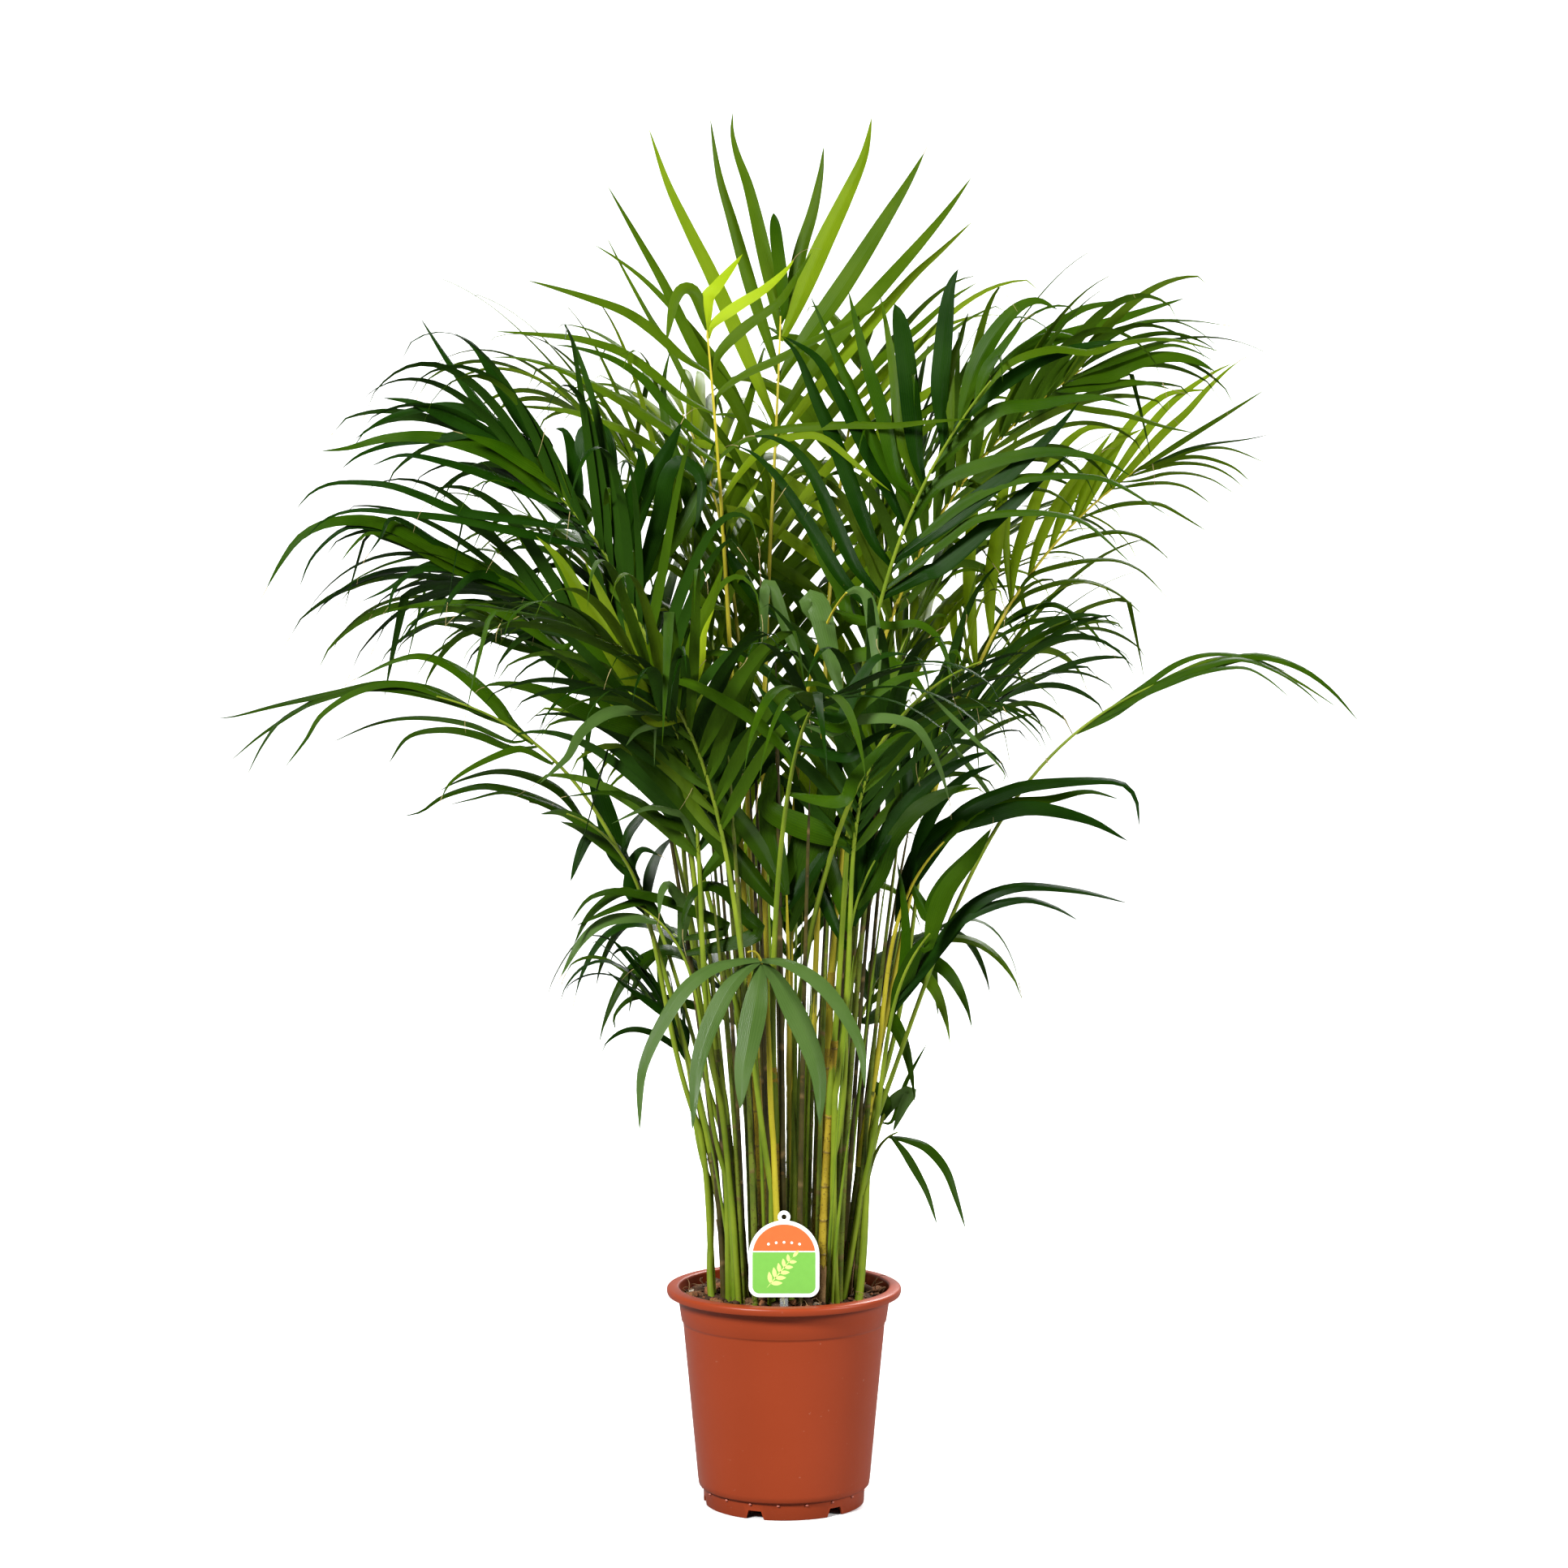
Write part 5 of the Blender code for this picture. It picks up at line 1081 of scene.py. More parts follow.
class Rib:
    """A frond's midline from its foot on the cane to its end, measured by share of length."""

    def __init__(self, frond):
        cane = CANES[frond.cane]
        stem, along = cane_point(cane, frond.share)
        tip = around(frond.azimuth, frond.reach, frond.height)
        away = Vector((tip.x - stem.x, tip.y - stem.y, 0.0)).normalized()
        foot = stem + along * GAP
        start = along
        if frond.share < 1.0:
            start = (along + away * SPREAD).normalized()
            foot = stem + away * (cane_radius(cane, frond.share) + GAP + PETIOLE)
        pitch = math.radians(frond.pitch)
        end = away * math.cos(pitch) + UP * math.sin(pitch)
        span = (tip - foot).length
        knots = (foot, foot + start * span * START_HANDLE, tip - end * span * END_HANDLE, tip)
        self.frond = frond
        self.offset = foot - stem
        self.side = UP.cross(away)
        self.points = [self.bezier(knots, i / RIB_SAMPLES) for i in range(RIB_SAMPLES + 1)]
        self.lengths = [0.0]
        for a, b in zip(self.points, self.points[1:]):
            self.lengths.append(self.lengths[-1] + (b - a).length)
        self.length = self.lengths[-1]

    @staticmethod
    def bezier(knots, t):
        a, b, c, d = knots
        u = 1.0 - t
        return a * u ** 3 + b * 3 * u * u * t + c * 3 * u * t * t + d * t ** 3

    def at(self, share):
        """Point, direction along the rib, sideways axis and upper normal at a share."""
        goal = min(max(share, 0.0), 1.0) * self.length
        i = 0
        while i < RIB_SAMPLES - 1 and self.lengths[i + 1] < goal:
            i += 1
        part = (goal - self.lengths[i]) / (self.lengths[i + 1] - self.lengths[i])
        point = self.points[i].lerp(self.points[i + 1], part)
        before = self.points[max(i - 1, 0)]
        after = self.points[min(i + 2, RIB_SAMPLES)]
        along = (after - before).normalized()
        turn = math.radians(self.frond.roll) * min(share / self.frond.bare, 1.0)
        side = Matrix.Rotation(turn, 3, along) @ self.side
        return point, along, side, along.cross(side)

    def radius(self, share):
        return mix(PETIOLE, RIB_END, share ** 1.7)


RIBS = [Rib(frond) for frond in FRONDS]


def rib_profile(centre, side, normal, radius, groove):
    """A round section with a shallow groove along its upper side."""
    ring = []
    for k in range(RIB_SIDES):
        angle = 2.0 * math.pi * k / RIB_SIDES
        upward = max(math.sin(angle), 0.0) ** 3
        reach = radius * (1.0 - groove * upward)
        ring.append(centre + side * (math.cos(angle) * reach) + normal * (math.sin(angle) * reach))
    return ring


def sheath_rings(rib):
    """A leaf sheath that closes round the cane's end and narrows into the petiole."""
    frond = rib.frond
    cane = CANES[frond.cane]
    _, _, side, _ = rib.at(0.0)
    low = frond.share - SHEATH_LENGTH / cane.height
    for i in range(SHEATH_RINGS):
        share = i / SHEATH_RINGS
        place = mix(low, frond.share, share)
        axis, along = cane_point(cane, place)
        swell = SHEATH_SWELL * math.sin(math.pi * min(share * 1.2 + 0.05, 1.0)) + 0.0002
        radius = mix(cane_radius(cane, place) + swell, PETIOLE + 0.0004, smooth(share))
        level = (side - along * side.dot(along)).normalized()
        yield rib_profile(axis + rib.offset * smooth(share), level, along.cross(level), radius, 0.0), -share


def stem_rings(rib, rng):
    """A side frond's stalk on its way down beside the cane into the soil."""
    frond = rib.frond
    cane = CANES[frond.cane]
    _, _, side, _ = rib.at(0.0)
    turn = rng.uniform(-70.0, 70.0)
    apart = rng.uniform(0.001, 0.013)
    foot = rng.uniform(0.0030, 0.0044)
    for i in range(STEM_RINGS):
        share = i / STEM_RINGS
        place = mix(-0.02, frond.share, share)
        axis, along = cane_point(cane, place)
        thick = mix(foot, PETIOLE, share)
        radial = Matrix.Rotation(math.radians(turn * (1.0 - share)), 3, along) @ rib.offset.normalized()
        clear = cane_radius(cane, place) + GAP + thick + apart * (1.0 - smooth(share))
        level = (side - along * side.dot(along)).normalized()
        yield rib_profile(axis + radial * clear, level, along.cross(level), thick, 0.0), share * 4.0 - 4.0


def add_rib(work, rib, rng):
    """Sheath or stalk, petiole and rib as one tapering tube."""
    below = sheath_rings(rib) if rib.frond.share == 1.0 else stem_rings(rib, rng)
    across = [k / RIB_SIDES for k in range(RIB_SIDES)]
    rings, uvs = [], []
    for ring, level in below:
        rings.append(ring)
        uvs.append([(u, level) for u in across])
    for i in range(RIB_RINGS + 1):
        share = i / RIB_RINGS
        point, _, side, normal = rib.at(share)
        groove = CHANNEL * smooth(share * 6.0)
        rings.append(rib_profile(point, side, normal, rib.radius(share), groove))
        uvs.append([(u, share * 8.0) for u in across])
    work.rings(rings, uvs, [0] * RIB_SIDES, cap_start=True, cap_end=True)


# Leaflets

def leaflet_length(frond, u):
    """Length of the leaflet that grows at a share u of the blade."""
    if u < LONGEST_AT:
        return frond.blade * (1.0 - (1.0 - LENGTH_AT_COLLAR) * (1.0 - u / LONGEST_AT) ** 2)
    return frond.blade * (1.0 - (1.0 - frond.form.last) * ((u - LONGEST_AT) / (1.0 - LONGEST_AT)) ** 2)


Habit = namedtuple("Habit", "turn raised scale droop curve kink bend twist width")
PLAIN = Habit(0.0, 0.0, 1.0, 1.0, DROOP_CURVE, 1.0, 0.0, 0.0, 1.0)


class Leaflet:
    """One leaflet, which leaves the rib on a heading, bends, twists and falls towards its tip."""
    collar = COLLAR_WIDTH
    reach = COLLAR_REACH

    def __init__(self, rib, share, side, habit=PLAIN):
        frond = rib.frond
        form = frond.form
        root, rib_along, across, normal = rib.at(share)
        u = (share - frond.bare) / (1.0 - frond.bare)
        angle = math.radians(mix(form.wide, form.narrow, max(u, 0.0) ** form.sweep) + habit.turn)
        lift = math.radians(form.lift * (1.0 - LIFT_LOSS * u) + habit.raised)
        outward = across * (side * math.cos(lift)) + normal * math.sin(lift)
        heading = rib_along * math.cos(angle) + outward * math.sin(angle)
        bend = math.radians(habit.bend * side)
        self.form = form
        self.steps = LEAF_STEPS
        self.length = leaflet_length(frond, u) * habit.scale
        self.width = form.width * habit.width * min(1.0, 0.45 + 3.0 * self.length)
        self.across = [2.0 * k / (form.columns - 1) - 1.0 for k in range(form.columns)]
        level = rib_along * side if share < 1.0 else across
        self.points = [root]
        self.frames = []
        for step in range(LEAF_STEPS + 1):
            t = (step + 0.5) / LEAF_STEPS
            fall = 2.0 * form.droop * habit.droop * t ** habit.curve
            fall += KINK_FALL * smooth((t - habit.kink) / 0.05)
            swept = Matrix.Rotation(bend * t, 3, normal) @ heading
            along = (swept - UP * fall).normalized()
            level = (level - along * level.dot(along)).normalized()
            turn = Matrix.Rotation(math.radians(habit.twist) * (step / LEAF_STEPS) ** 1.3, 3, along)
            width = turn @ level
            self.frames.append((width, width.cross(along)))
            self.points.append(self.points[-1] + along * (self.length / LEAF_STEPS))

    def half_width(self, share):
        rise = mix(self.collar, 1.0, math.sin(math.pi / 2 * min(share / self.reach, 1.0)))
        return self.width / 2 * rise * (1.0 - share ** self.form.taper) ** 0.85

    def ring(self, step):
        """Upper side from edge to edge, pleated, and the underside back again."""
        share = step / self.steps
        centre = self.points[step]
        width, normal = self.frames[step]
        half = self.half_width(share)
        fold = math.tan(math.radians(mix(FOLD_AT_ROOT, FOLD_ALONG, smooth(share / FOLD_FADE))))
        upper = []
        for k, x in enumerate(self.across):
            rise = half * (PLEAT * (k % 2) - abs(x) * fold)
            upper.append(centre + width * (x * half) + normal * rise)
        lower = [point - normal * LEAF_THICKNESS for point in reversed(upper[1:-1])]
        return upper + lower

    def add_to(self, work):
        rings = [self.ring(step) for step in range(self.steps)]
        across = [(x + 1.0) / 2 for x in self.across]
        across += list(reversed(across[1:-1]))
        uvs = [[(u, step / self.steps) for u in across] for step in range(self.steps)]
        sides = self.form.columns - 1
        work.rings(rings, uvs, [0] * sides + [1] * sides, cap_start=True, tip=self.points[-1])

    def add_thread(self, work, rng):
        """The dry thread that many leaflets end in."""
        width, normal = self.frames[-1]
        along = (self.points[-1] - self.points[-3]).normalized()
        centre = self.points[-1] - along * 0.004
        length = rng.uniform(0.014, 0.034)
        curl = rng.uniform(-1.0, 1.0)
        drop = rng.uniform(0.1, 1.2)
        rings, uvs = [], []
        for step in range(8):
            t = step / 7
            radius = mix(THREAD_RADIUS, 0.00012, t)
            ring = [centre + width * radius, centre + normal * radius,
                    centre - width * radius, centre - normal * radius]
            rings.append(ring)
            uvs.append([(k / 4, t) for k in range(4)])
            way = (along + width * (curl * t) - UP * (drop * t)).normalized()
            centre = centre + way * (length / 7)
        work.rings(rings, uvs, [2] * 4, cap_end=True)


def curve_through(knots, steps):
    """Points at even distances on a smooth curve through the knots."""
    ends = [knots[0] * 2 - knots[1], *knots, knots[-1] * 2 - knots[-2]]
    path = []
    for a, b, c, d in zip(ends, ends[1:], ends[2:], ends[3:]):
        for i in range(CURVE_STEPS):
            t = i / CURVE_STEPS
            square = (a * 2 - b * 5 + c * 4 - d) * (t * t)
            cube = (b * 3 - a - c * 3 + d) * t ** 3
            path.append((b * 2 + (c - a) * t + square + cube) * 0.5)
    path.append(knots[-1])
    walked = [0.0]
    for a, b in zip(path, path[1:]):
        walked.append(walked[-1] + (b - a).length)
    points = []
    i = 0
    for step in range(steps + 1):
        goal = walked[-1] * step / steps
        while i < len(path) - 2 and walked[i + 1] < goal:
            i += 1
        points.append(path[i].lerp(path[i + 1], (goal - walked[i]) / max(walked[i + 1] - walked[i], 1e-9)))
    return points


def seen_at(point):
    """Where a point of the frame lies in the photograph, in pixels."""
    from_eye = point - EYE
    ahead = from_eye.y * math.cos(EYE_PITCH) - from_eye.z * math.sin(EYE_PITCH)
    above = from_eye.z * math.cos(EYE_PITCH) + from_eye.y * math.sin(EYE_PITCH)
    return Vector((PHOTO_SIDE / 2 + FOCAL_PIXELS * from_eye.x / ahead, PHOTO_SIDE / 2 - FOCAL_PIXELS * above / ahead))


def placed_at(mark, depth):
    """The point of the frame that lies at a mark in the photograph, on the plane y = depth."""
    across = (mark[0] - PHOTO_SIDE / 2) / FOCAL_PIXELS
    above = (PHOTO_SIDE / 2 - mark[1]) / FOCAL_PIXELS
    ahead = math.cos(EYE_PITCH) + above * math.sin(EYE_PITCH)
    way = Vector((across, ahead, above * math.cos(EYE_PITCH) - math.sin(EYE_PITCH)))
    return EYE + way * ((depth - EYE.y) / ahead)


def knots_on(rib, marks, behind):
    """The rib's point nearest to the first mark, and the others at depths that run from it."""
    points = [rib.at(i / RIB_MARKS)[0] for i in range(RIB_MARKS + 1)]
    root = min(points, key=lambda point: (seen_at(point) - Vector(marks[0])).length)
    walked = [0.0]
    for a, b in zip([seen_at(root), *marks[1:]], marks[1:]):
        walked.append(walked[-1] + (Vector(b) - Vector(a)).length)
    knots = [root]
    for mark, far in zip(marks[1:], walked[1:]):
        knots.append(placed_at(mark, root.y + behind * (far / walked[-1]) ** DEPTH_CURVE))
    return knots


class PlacedLeaflet(Leaflet):
    """A leaflet that follows its own points, with its upper side to the front."""
    collar = PLACED_COLLAR
    reach = PLACED_REACH

    def __init__(self, rib, twist, width, face, behind, taper, marks):
        knots = knots_on(rib, marks, behind)
        columns = 9 if width > 17 else 5
        self.form = rib.frond.form._replace(taper=taper, columns=columns)
        self.steps = PLACED_STEPS
        self.width = width / 1000.0
        self.across = [2.0 * k / (columns - 1) - 1.0 for k in range(columns)]
        self.points = curve_through(knots, PLACED_STEPS)
        self.frames = []
        tip_up = math.radians(face)
        front = Vector((0.0, -math.cos(tip_up), math.sin(tip_up)))
        for step in range(PLACED_STEPS + 1):
            before = self.points[max(step - 1, 0)]
            after = self.points[min(step + 1, PLACED_STEPS)]
            along = (after - before).normalized()
            turn = Matrix.Rotation(math.radians(twist) * step / PLACED_STEPS, 3, along)
            level = turn @ along.cross(front).normalized()
            self.frames.append((level, level.cross(along)))


def limb_search():
    """A search tree of points on canes and ribs, with the number of the rib each lies on."""
    marks = []
    for number, rib in enumerate(RIBS):
        marks += [(point, number) for point in rib.points[::2]]
    for cane in CANES:
        marks += [(cane_point(cane, i / 12)[0], -1) for i in range(13)]
    tree = kdtree.KDTree(len(marks))
    for i, (point, _) in enumerate(marks):
        tree.insert(point, i)
    tree.balance()
    return tree, [number for _, number in marks]


def is_clear(leaf, number, search):
    """Whether a leaflet keeps its distance from canes and from the other fronds' ribs."""
    tree, owners = search
    for point in leaf.points[2:]:
        for _, index, _ in tree.find_range(point, CLEAR_OF_LIMBS):
            if owners[index] != number:
                return False
    return leaf.points[-1].z > POT_HEIGHT


def habit_for(rng, attempt, stray):
    swing = stray * (1.0 + 0.6 * attempt)
    return Habit(
        turn=rng.uniform(-6.5, 6.5) * swing,
        raised=rng.uniform(-9.0, 9.0) * swing,
        scale=1.0 + rng.uniform(-0.20, 0.05) * stray - 0.03 * attempt,
        droop=1.0 + rng.uniform(-0.55, 0.50) * stray,
        curve=rng.uniform(1.5, 2.6),
        kink=rng.uniform(0.35, 0.75) if rng.random() < KINKED_SHARE * stray else 1.0,
        bend=rng.uniform(-16.0, 12.0) * stray,
        twist=rng.uniform(-42.0, 42.0) * stray,
        width=rng.uniform(0.82, 1.10),
    )


def leaflet_shares(rib):
    """Where pairs leave the rib: the solids' stretches, cut finer."""
    frond = rib.frond
    pairs = max(round(frond.pairs * frond.form.fineness), 1)
    chord = ROOT / rib.length
    pitch = (1.0 - frond.bare - chord) / pairs
    return [frond.bare + pitch * (pair + 0.5) for pair in range(pairs)], pitch


def tone_for(number, share, rng):
    tone = FRONDS[number].tone
    if number == LIME_FROM[0] and share > LIME_FROM[1]:
        tone = "lime"
    return NEXT_TONE[tone] if rng.random() < OTHER_TONE_SHARE else tone


def add_leaflets(number, rib, works, search):
    """Leaflets on both sides, a little out of step with each other, and one past the end."""
    for k, (tone, width, face, behind, taper, *marks) in enumerate(PLACED.get(number + 1, ())):
        rng = random.Random(number * 100 + k)
        leaf = PlacedLeaflet(rib, rng.uniform(-22.0, 22.0), width, face, behind, taper, marks)
        leaf.add_to(works[tone])
        if taper < 3.0 and rng.random() < THREAD_SHARE:
            leaf.add_thread(works[tone], rng)
    if number + 1 in SINGLY:
        return
    form = rib.frond.form
    shares, pitch = leaflet_shares(rib)
    for pair, middle in enumerate(shares):
        if middle < OTHERS_FROM.get(number + 1, 0.0):
            continue
        for side in (1, -1):
            rng = random.Random(number * 1000 + pair * 10 + side)
            share = min(middle + side * 0.18 * pitch + rng.uniform(-0.1, 0.1) * pitch, 0.995)
            for attempt in range(LEAF_TRIES):
                leaf = Leaflet(rib, share, side, habit_for(rng, attempt, form.stray))
                if is_clear(leaf, number, search):
                    work = works[tone_for(number, share, rng)]
                    leaf.add_to(work)
                    if rng.random() < THREAD_SHARE:
                        leaf.add_thread(work, rng)
                    break
    last = Leaflet(rib, 1.0, 1, PLAIN._replace(turn=-form.narrow, scale=END_LEAFLET, width=0.9))
    last.add_to(works[tone_for(number, 1.0, random.Random(number))])


# Settings

class PotSettings(bpy.types.PropertyGroup):
    """Pot of the palm"""
    colour: FloatVectorProperty(name="Plastic", description="Colour of the pot's plastic", subtype="COLOR",
                                size=3, min=0.0, max=1.0, default=(0.254, 0.0365, 0.0094))
    turns: IntProperty(name="Facets", description="Steps round the pot", default=120, min=24, max=256)
    nub_radius: FloatProperty(name="Nub", description="Radius of the moulding nubs over the foot ring",
                              default=0.0016, unit="LENGTH")


class SoilSettings(bpy.types.PropertyGroup):
    """Potting soil"""
    colour: FloatVectorProperty(name="Soil", description="Colour of damp potting soil", subtype="COLOR",
                                size=3, min=0.0, max=1.0, default=(0.040, 0.020, 0.011))
    roughness: FloatProperty(name="Unevenness", description="Height of the soil's lumps", default=0.0042,
                             unit="LENGTH")
    crumbs: IntProperty(name="Crumbs", description="How many loose crumbs lie on the soil", default=520)


class LabelSettings(bpy.types.PropertyGroup):
    """Plant label"""
    card: FloatVectorProperty(name="Card", description="Colour of the label's border", subtype="COLOR",
                              size=3, min=0.0, max=1.0, default=(0.86, 0.87, 0.84))
    field: FloatVectorProperty(name="Field", description="Colour of the printed field", subtype="COLOR",
                               size=3, min=0.0, max=1.0, default=(0.16, 0.42, 0.06))
    sprig: FloatVectorProperty(name="Sprig", description="Colour of the printed sprig", subtype="COLOR",
                               size=3, min=0.0, max=1.0, default=(0.60, 0.74, 0.22))
    band: FloatVectorProperty(name="Band", description="Colour of the printed band", subtype="COLOR",
                              size=3, min=0.0, max=1.0, default=(0.78, 0.13, 0.03))


class CaneSettings(bpy.types.PropertyGroup):
    """Canes and ribs"""
    scar_spacing: FloatProperty(name="Scars", description="Distance between leaf scars on a cane",
                                default=0.034, unit="LENGTH")
    scar_height: FloatProperty(name="Scar ridge", description="Height of a scar's ridge", default=0.00045,
                               unit="LENGTH")
    sides: IntProperty(name="Sides", description="Sides of a cane's mesh", default=18, min=8, max=48)


class StudioSettings(bpy.types.PropertyGroup):
    """Floor and camera"""
    floor: FloatVectorProperty(name="Floor", description="Colour of the pale floor", subtype="COLOR",
                               size=3, min=0.0, max=1.0, default=(0.92, 0.92, 0.92))
    camera_distance: FloatProperty(name="Distance", description="From the pot's axis to the camera",
                                   default=-EYE.y, unit="LENGTH")
    camera_height: FloatProperty(name="Height", description="Height of the camera", default=EYE.z,
                                 unit="LENGTH")
    camera_pitch: FloatProperty(name="Pitch", description="How far the camera looks down",
                                default=EYE_PITCH, subtype="ANGLE")


SETTINGS = {
    "palm_pot": PotSettings,
    "palm_soil": SoilSettings,
    "palm_label": LabelSettings,
    "palm_canes": CaneSettings,
    "palm_studio": StudioSettings,
}

# Leaf tones: upper side, its lighter clouds and veins, light that comes through, roughness
Tone = namedtuple("Tone", "colour light glow roughness slot")
TONES = {
    "lime": Tone((0.240, 0.330, 0.006), (0.340, 0.430, 0.020), 0.30, 0.38, "young_leaf"),
    "fresh": Tone((0.040, 0.090, 0.0012), (0.085, 0.145, 0.003), 0.28, 0.34, "young_leaf"),
    # This tone is painted light: a lighter, yellower copy of the leaf colour for leaflets that light falls on or
    # shines through
    "painted_sunlit": Tone((0.110, 0.178, 0.003), (0.178, 0.245, 0.008), 0.34, 0.38, "young_leaf"),
    "mid": Tone((0.0150, 0.053, 0.0005), (0.048, 0.106, 0.001), 0.24, 0.33, "leaf"),
    "deep": Tone((0.0026, 0.018, 0.0003), (0.0120, 0.046, 0.0005), 0.14, 0.32, "leaf"),
    "olive": Tone((0.0095, 0.034, 0.0006), (0.028, 0.064, 0.001), 0.14, 0.30, "broad_leaf"),
    # This tone is partly the broad leaflets' own grey-green and partly painted sheen: its grey and blue stand in for
    # the white shine of their gloss
    "silver_and_painted_sheen": Tone((0.048, 0.098, 0.018), (0.082, 0.145, 0.034), 0.18, 0.22, "broad_leaf"),
}


# Pot

def body_radius(height):
    top = COLLAR_FOOT_RADIUS - STEP
    share = (height - BODY_FOOT) / (COLLAR_FOOT - STEP - BODY_FOOT)
    return mix(BODY_FOOT_RADIUS, top, share)


def arc(centre, radius, start, end, steps):
    """Points along an arc, angles in degrees."""
    points = []
    for i in range(steps + 1):
        angle = math.radians(start + (end - start) * i / steps)
        points.append((centre[0] + radius * math.cos(angle), centre[1] + radius * math.sin(angle)))
    return points


def pot_profile():
    """Radius and height pairs, from the inner floor over the rolled rim to the underside's centre."""
    floor = BASE_UNDERSIDE + 0.0020
    rim_inside = COLLAR_TOP_RADIUS - WALL
    under = POT_HEIGHT - RIM_HEIGHT
    roll = 0.0030
    inside = [
        (0.0, floor),
        (body_radius(floor) - WALL - 0.0012, floor),
        (body_radius(BODY_FOOT) - WALL, BODY_FOOT + 0.0012),
        (body_radius(COLLAR_FOOT) - WALL, COLLAR_FOOT - 0.0032),
        (COLLAR_FOOT_RADIUS - WALL, COLLAR_FOOT),
        (rim_inside, POT_HEIGHT - RIM_HEIGHT),
        (rim_inside, POT_HEIGHT - 0.0030),
    ]
    rim = arc((rim_inside + 0.0022, POT_HEIGHT - 0.0022), 0.0022, 160, 90, 4)
    rim += arc((RIM_RADIUS - roll, POT_HEIGHT - roll - 0.0004), roll, 78, 0, 6)
    rim += [
        (RIM_RADIUS - 0.0002, under + 0.0024),
        (RIM_RADIUS - 0.0010, under + 0.0006),
        (RIM_RADIUS - 0.0026, under),
        (RIM_RADIUS - 0.0036, under + 0.0002),
        (RIM_RADIUS - 0.0046, under + 0.0016),
        (COLLAR_TOP_RADIUS + 0.0010, under + 0.0014),
        (COLLAR_TOP_RADIUS, under + 0.0002),
    ]
    body = [
        (mix(COLLAR_TOP_RADIUS, COLLAR_FOOT_RADIUS, 0.5), mix(under, COLLAR_FOOT, 0.5)),
        (COLLAR_FOOT_RADIUS + 0.0001, COLLAR_FOOT + 0.0010),
        (COLLAR_FOOT_RADIUS - 0.0004, COLLAR_FOOT),
        (COLLAR_FOOT_RADIUS - STEP + 0.0002, COLLAR_FOOT - STEP * 0.7),
        (COLLAR_FOOT_RADIUS - STEP, COLLAR_FOOT - STEP * 1.5),
        (body_radius(0.12), 0.12),
        (body_radius(0.06), 0.06),
        (body_radius(0.024), 0.024),
        (BODY_FOOT_RADIUS - 0.0003, BODY_FOOT - 0.0002),
        (BODY_FOOT_RADIUS - 0.0019, BODY_FOOT - 0.0019),
        (FOOT_RING_RADIUS + 0.0004, BODY_FOOT - 0.0023),
        (FOOT_RING_RADIUS, BODY_FOOT - 0.0032),
        (FOOT_RING_RADIUS - 0.0006, 0.0008),
        (FOOT_RING_RADIUS - 0.0012, 0.0),
        (FOOT_RING_RADIUS - FOOT_RING_WALL, 0.0),
        (FOOT_RING_RADIUS - FOOT_RING_WALL, BASE_UNDERSIDE),
        (0.0, BASE_UNDERSIDE),
    ]
    return inside + rim + body


def notch_cutter(angle):
    """A bar across the foot ring, wider at the ground, that cuts two facing notches."""
    bm = bmesh.new()
    bmesh.ops.create_cube(bm, size=1.0)
    for vert in bm.verts:
        flare = NOTCH_FLARE if vert.co.z < 0.0 else 1.0
        vert.co = Vector((vert.co.x * 2.4 * FOOT_RING_RADIUS,
                          vert.co.y * NOTCH_WIDTH * flare,
                          vert.co.z * 2.0 * NOTCH_HEIGHT))
    mesh = bpy.data.meshes.new("notch_cutter")
    bm.to_mesh(mesh)
    bm.free()
    cutter = mesh_object("notch_cutter", mesh)
    cutter.rotation_euler.z = math.radians(angle)
    return cutter


class PALM_OT_pot(bpy.types.Operator):
    """Turns the pot with its rolled rim, collar and notched foot ring"""
    bl_idname = "palm.pot"
    bl_label = "Pot"

    def execute(self, context):
        settings = context.scene.palm_pot
        shared_groups()
        profile = pot_profile()
        mesh = bpy.data.meshes.new("nursery_pot")
        verts = [(radius, 0.0, height) for radius, height in profile]
        mesh.from_pydata(verts, [(i, i + 1) for i in range(len(verts) - 1)], [])
        pot = mesh_object("nursery_pot", mesh)
        screw = pot.modifiers.new("turn", "SCREW")
        screw.steps = screw.render_steps = settings.turns
        screw.use_merge_vertices = True
        screw.merge_threshold = 0.00001
        cutters = [notch_cutter(angle) for angle in NOTCH_ANGLES]
        for cutter in cutters:
            cut = pot.modifiers.new("notch", "BOOLEAN")
            cut.operation = "DIFFERENCE"
            cut.object = cutter
        apply_modifiers(pot)
        for cutter in cutters:
            bpy.data.objects.remove(cutter)
        pot.data.materials.clear()
        pot.data.materials.append(pot_finish(settings.colour))
        pot.data.shade_smooth()
        pot.data.set_sharp_from_angle(angle=math.radians(38))
        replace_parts(keep(pot, "pot"), "pot")
        self.nubs(settings)
        return {"FINISHED"}

    def nubs(self, settings):
        """Small pale moulding nubs in the groove over the foot ring."""
        bm = bmesh.new()
        for i in range(18):
            angle = math.radians(6 + 20 * i)
            place = Vector((math.cos(angle), math.sin(angle), 0.0)) * (FOOT_RING_RADIUS + 0.0006)
            place.z = BODY_FOOT - 0.0042
            made = bmesh.ops.create_uvsphere(bm, u_segments=12, v_segments=8, radius=settings.nub_radius)
            bmesh.ops.scale(bm, verts=made["verts"], vec=(1.0, 1.0, 0.7))
            bmesh.ops.translate(bm, verts=made["verts"], vec=place)
        pale = tuple(min(c * 1.5 + 0.10, 1.0) for c in settings.colour)
        nubs = from_bmesh("foot_nubs", bm, print_finish("nub_plastic", pale, settings.colour, 0.45))
        keep(nubs, "pot")


# Soil

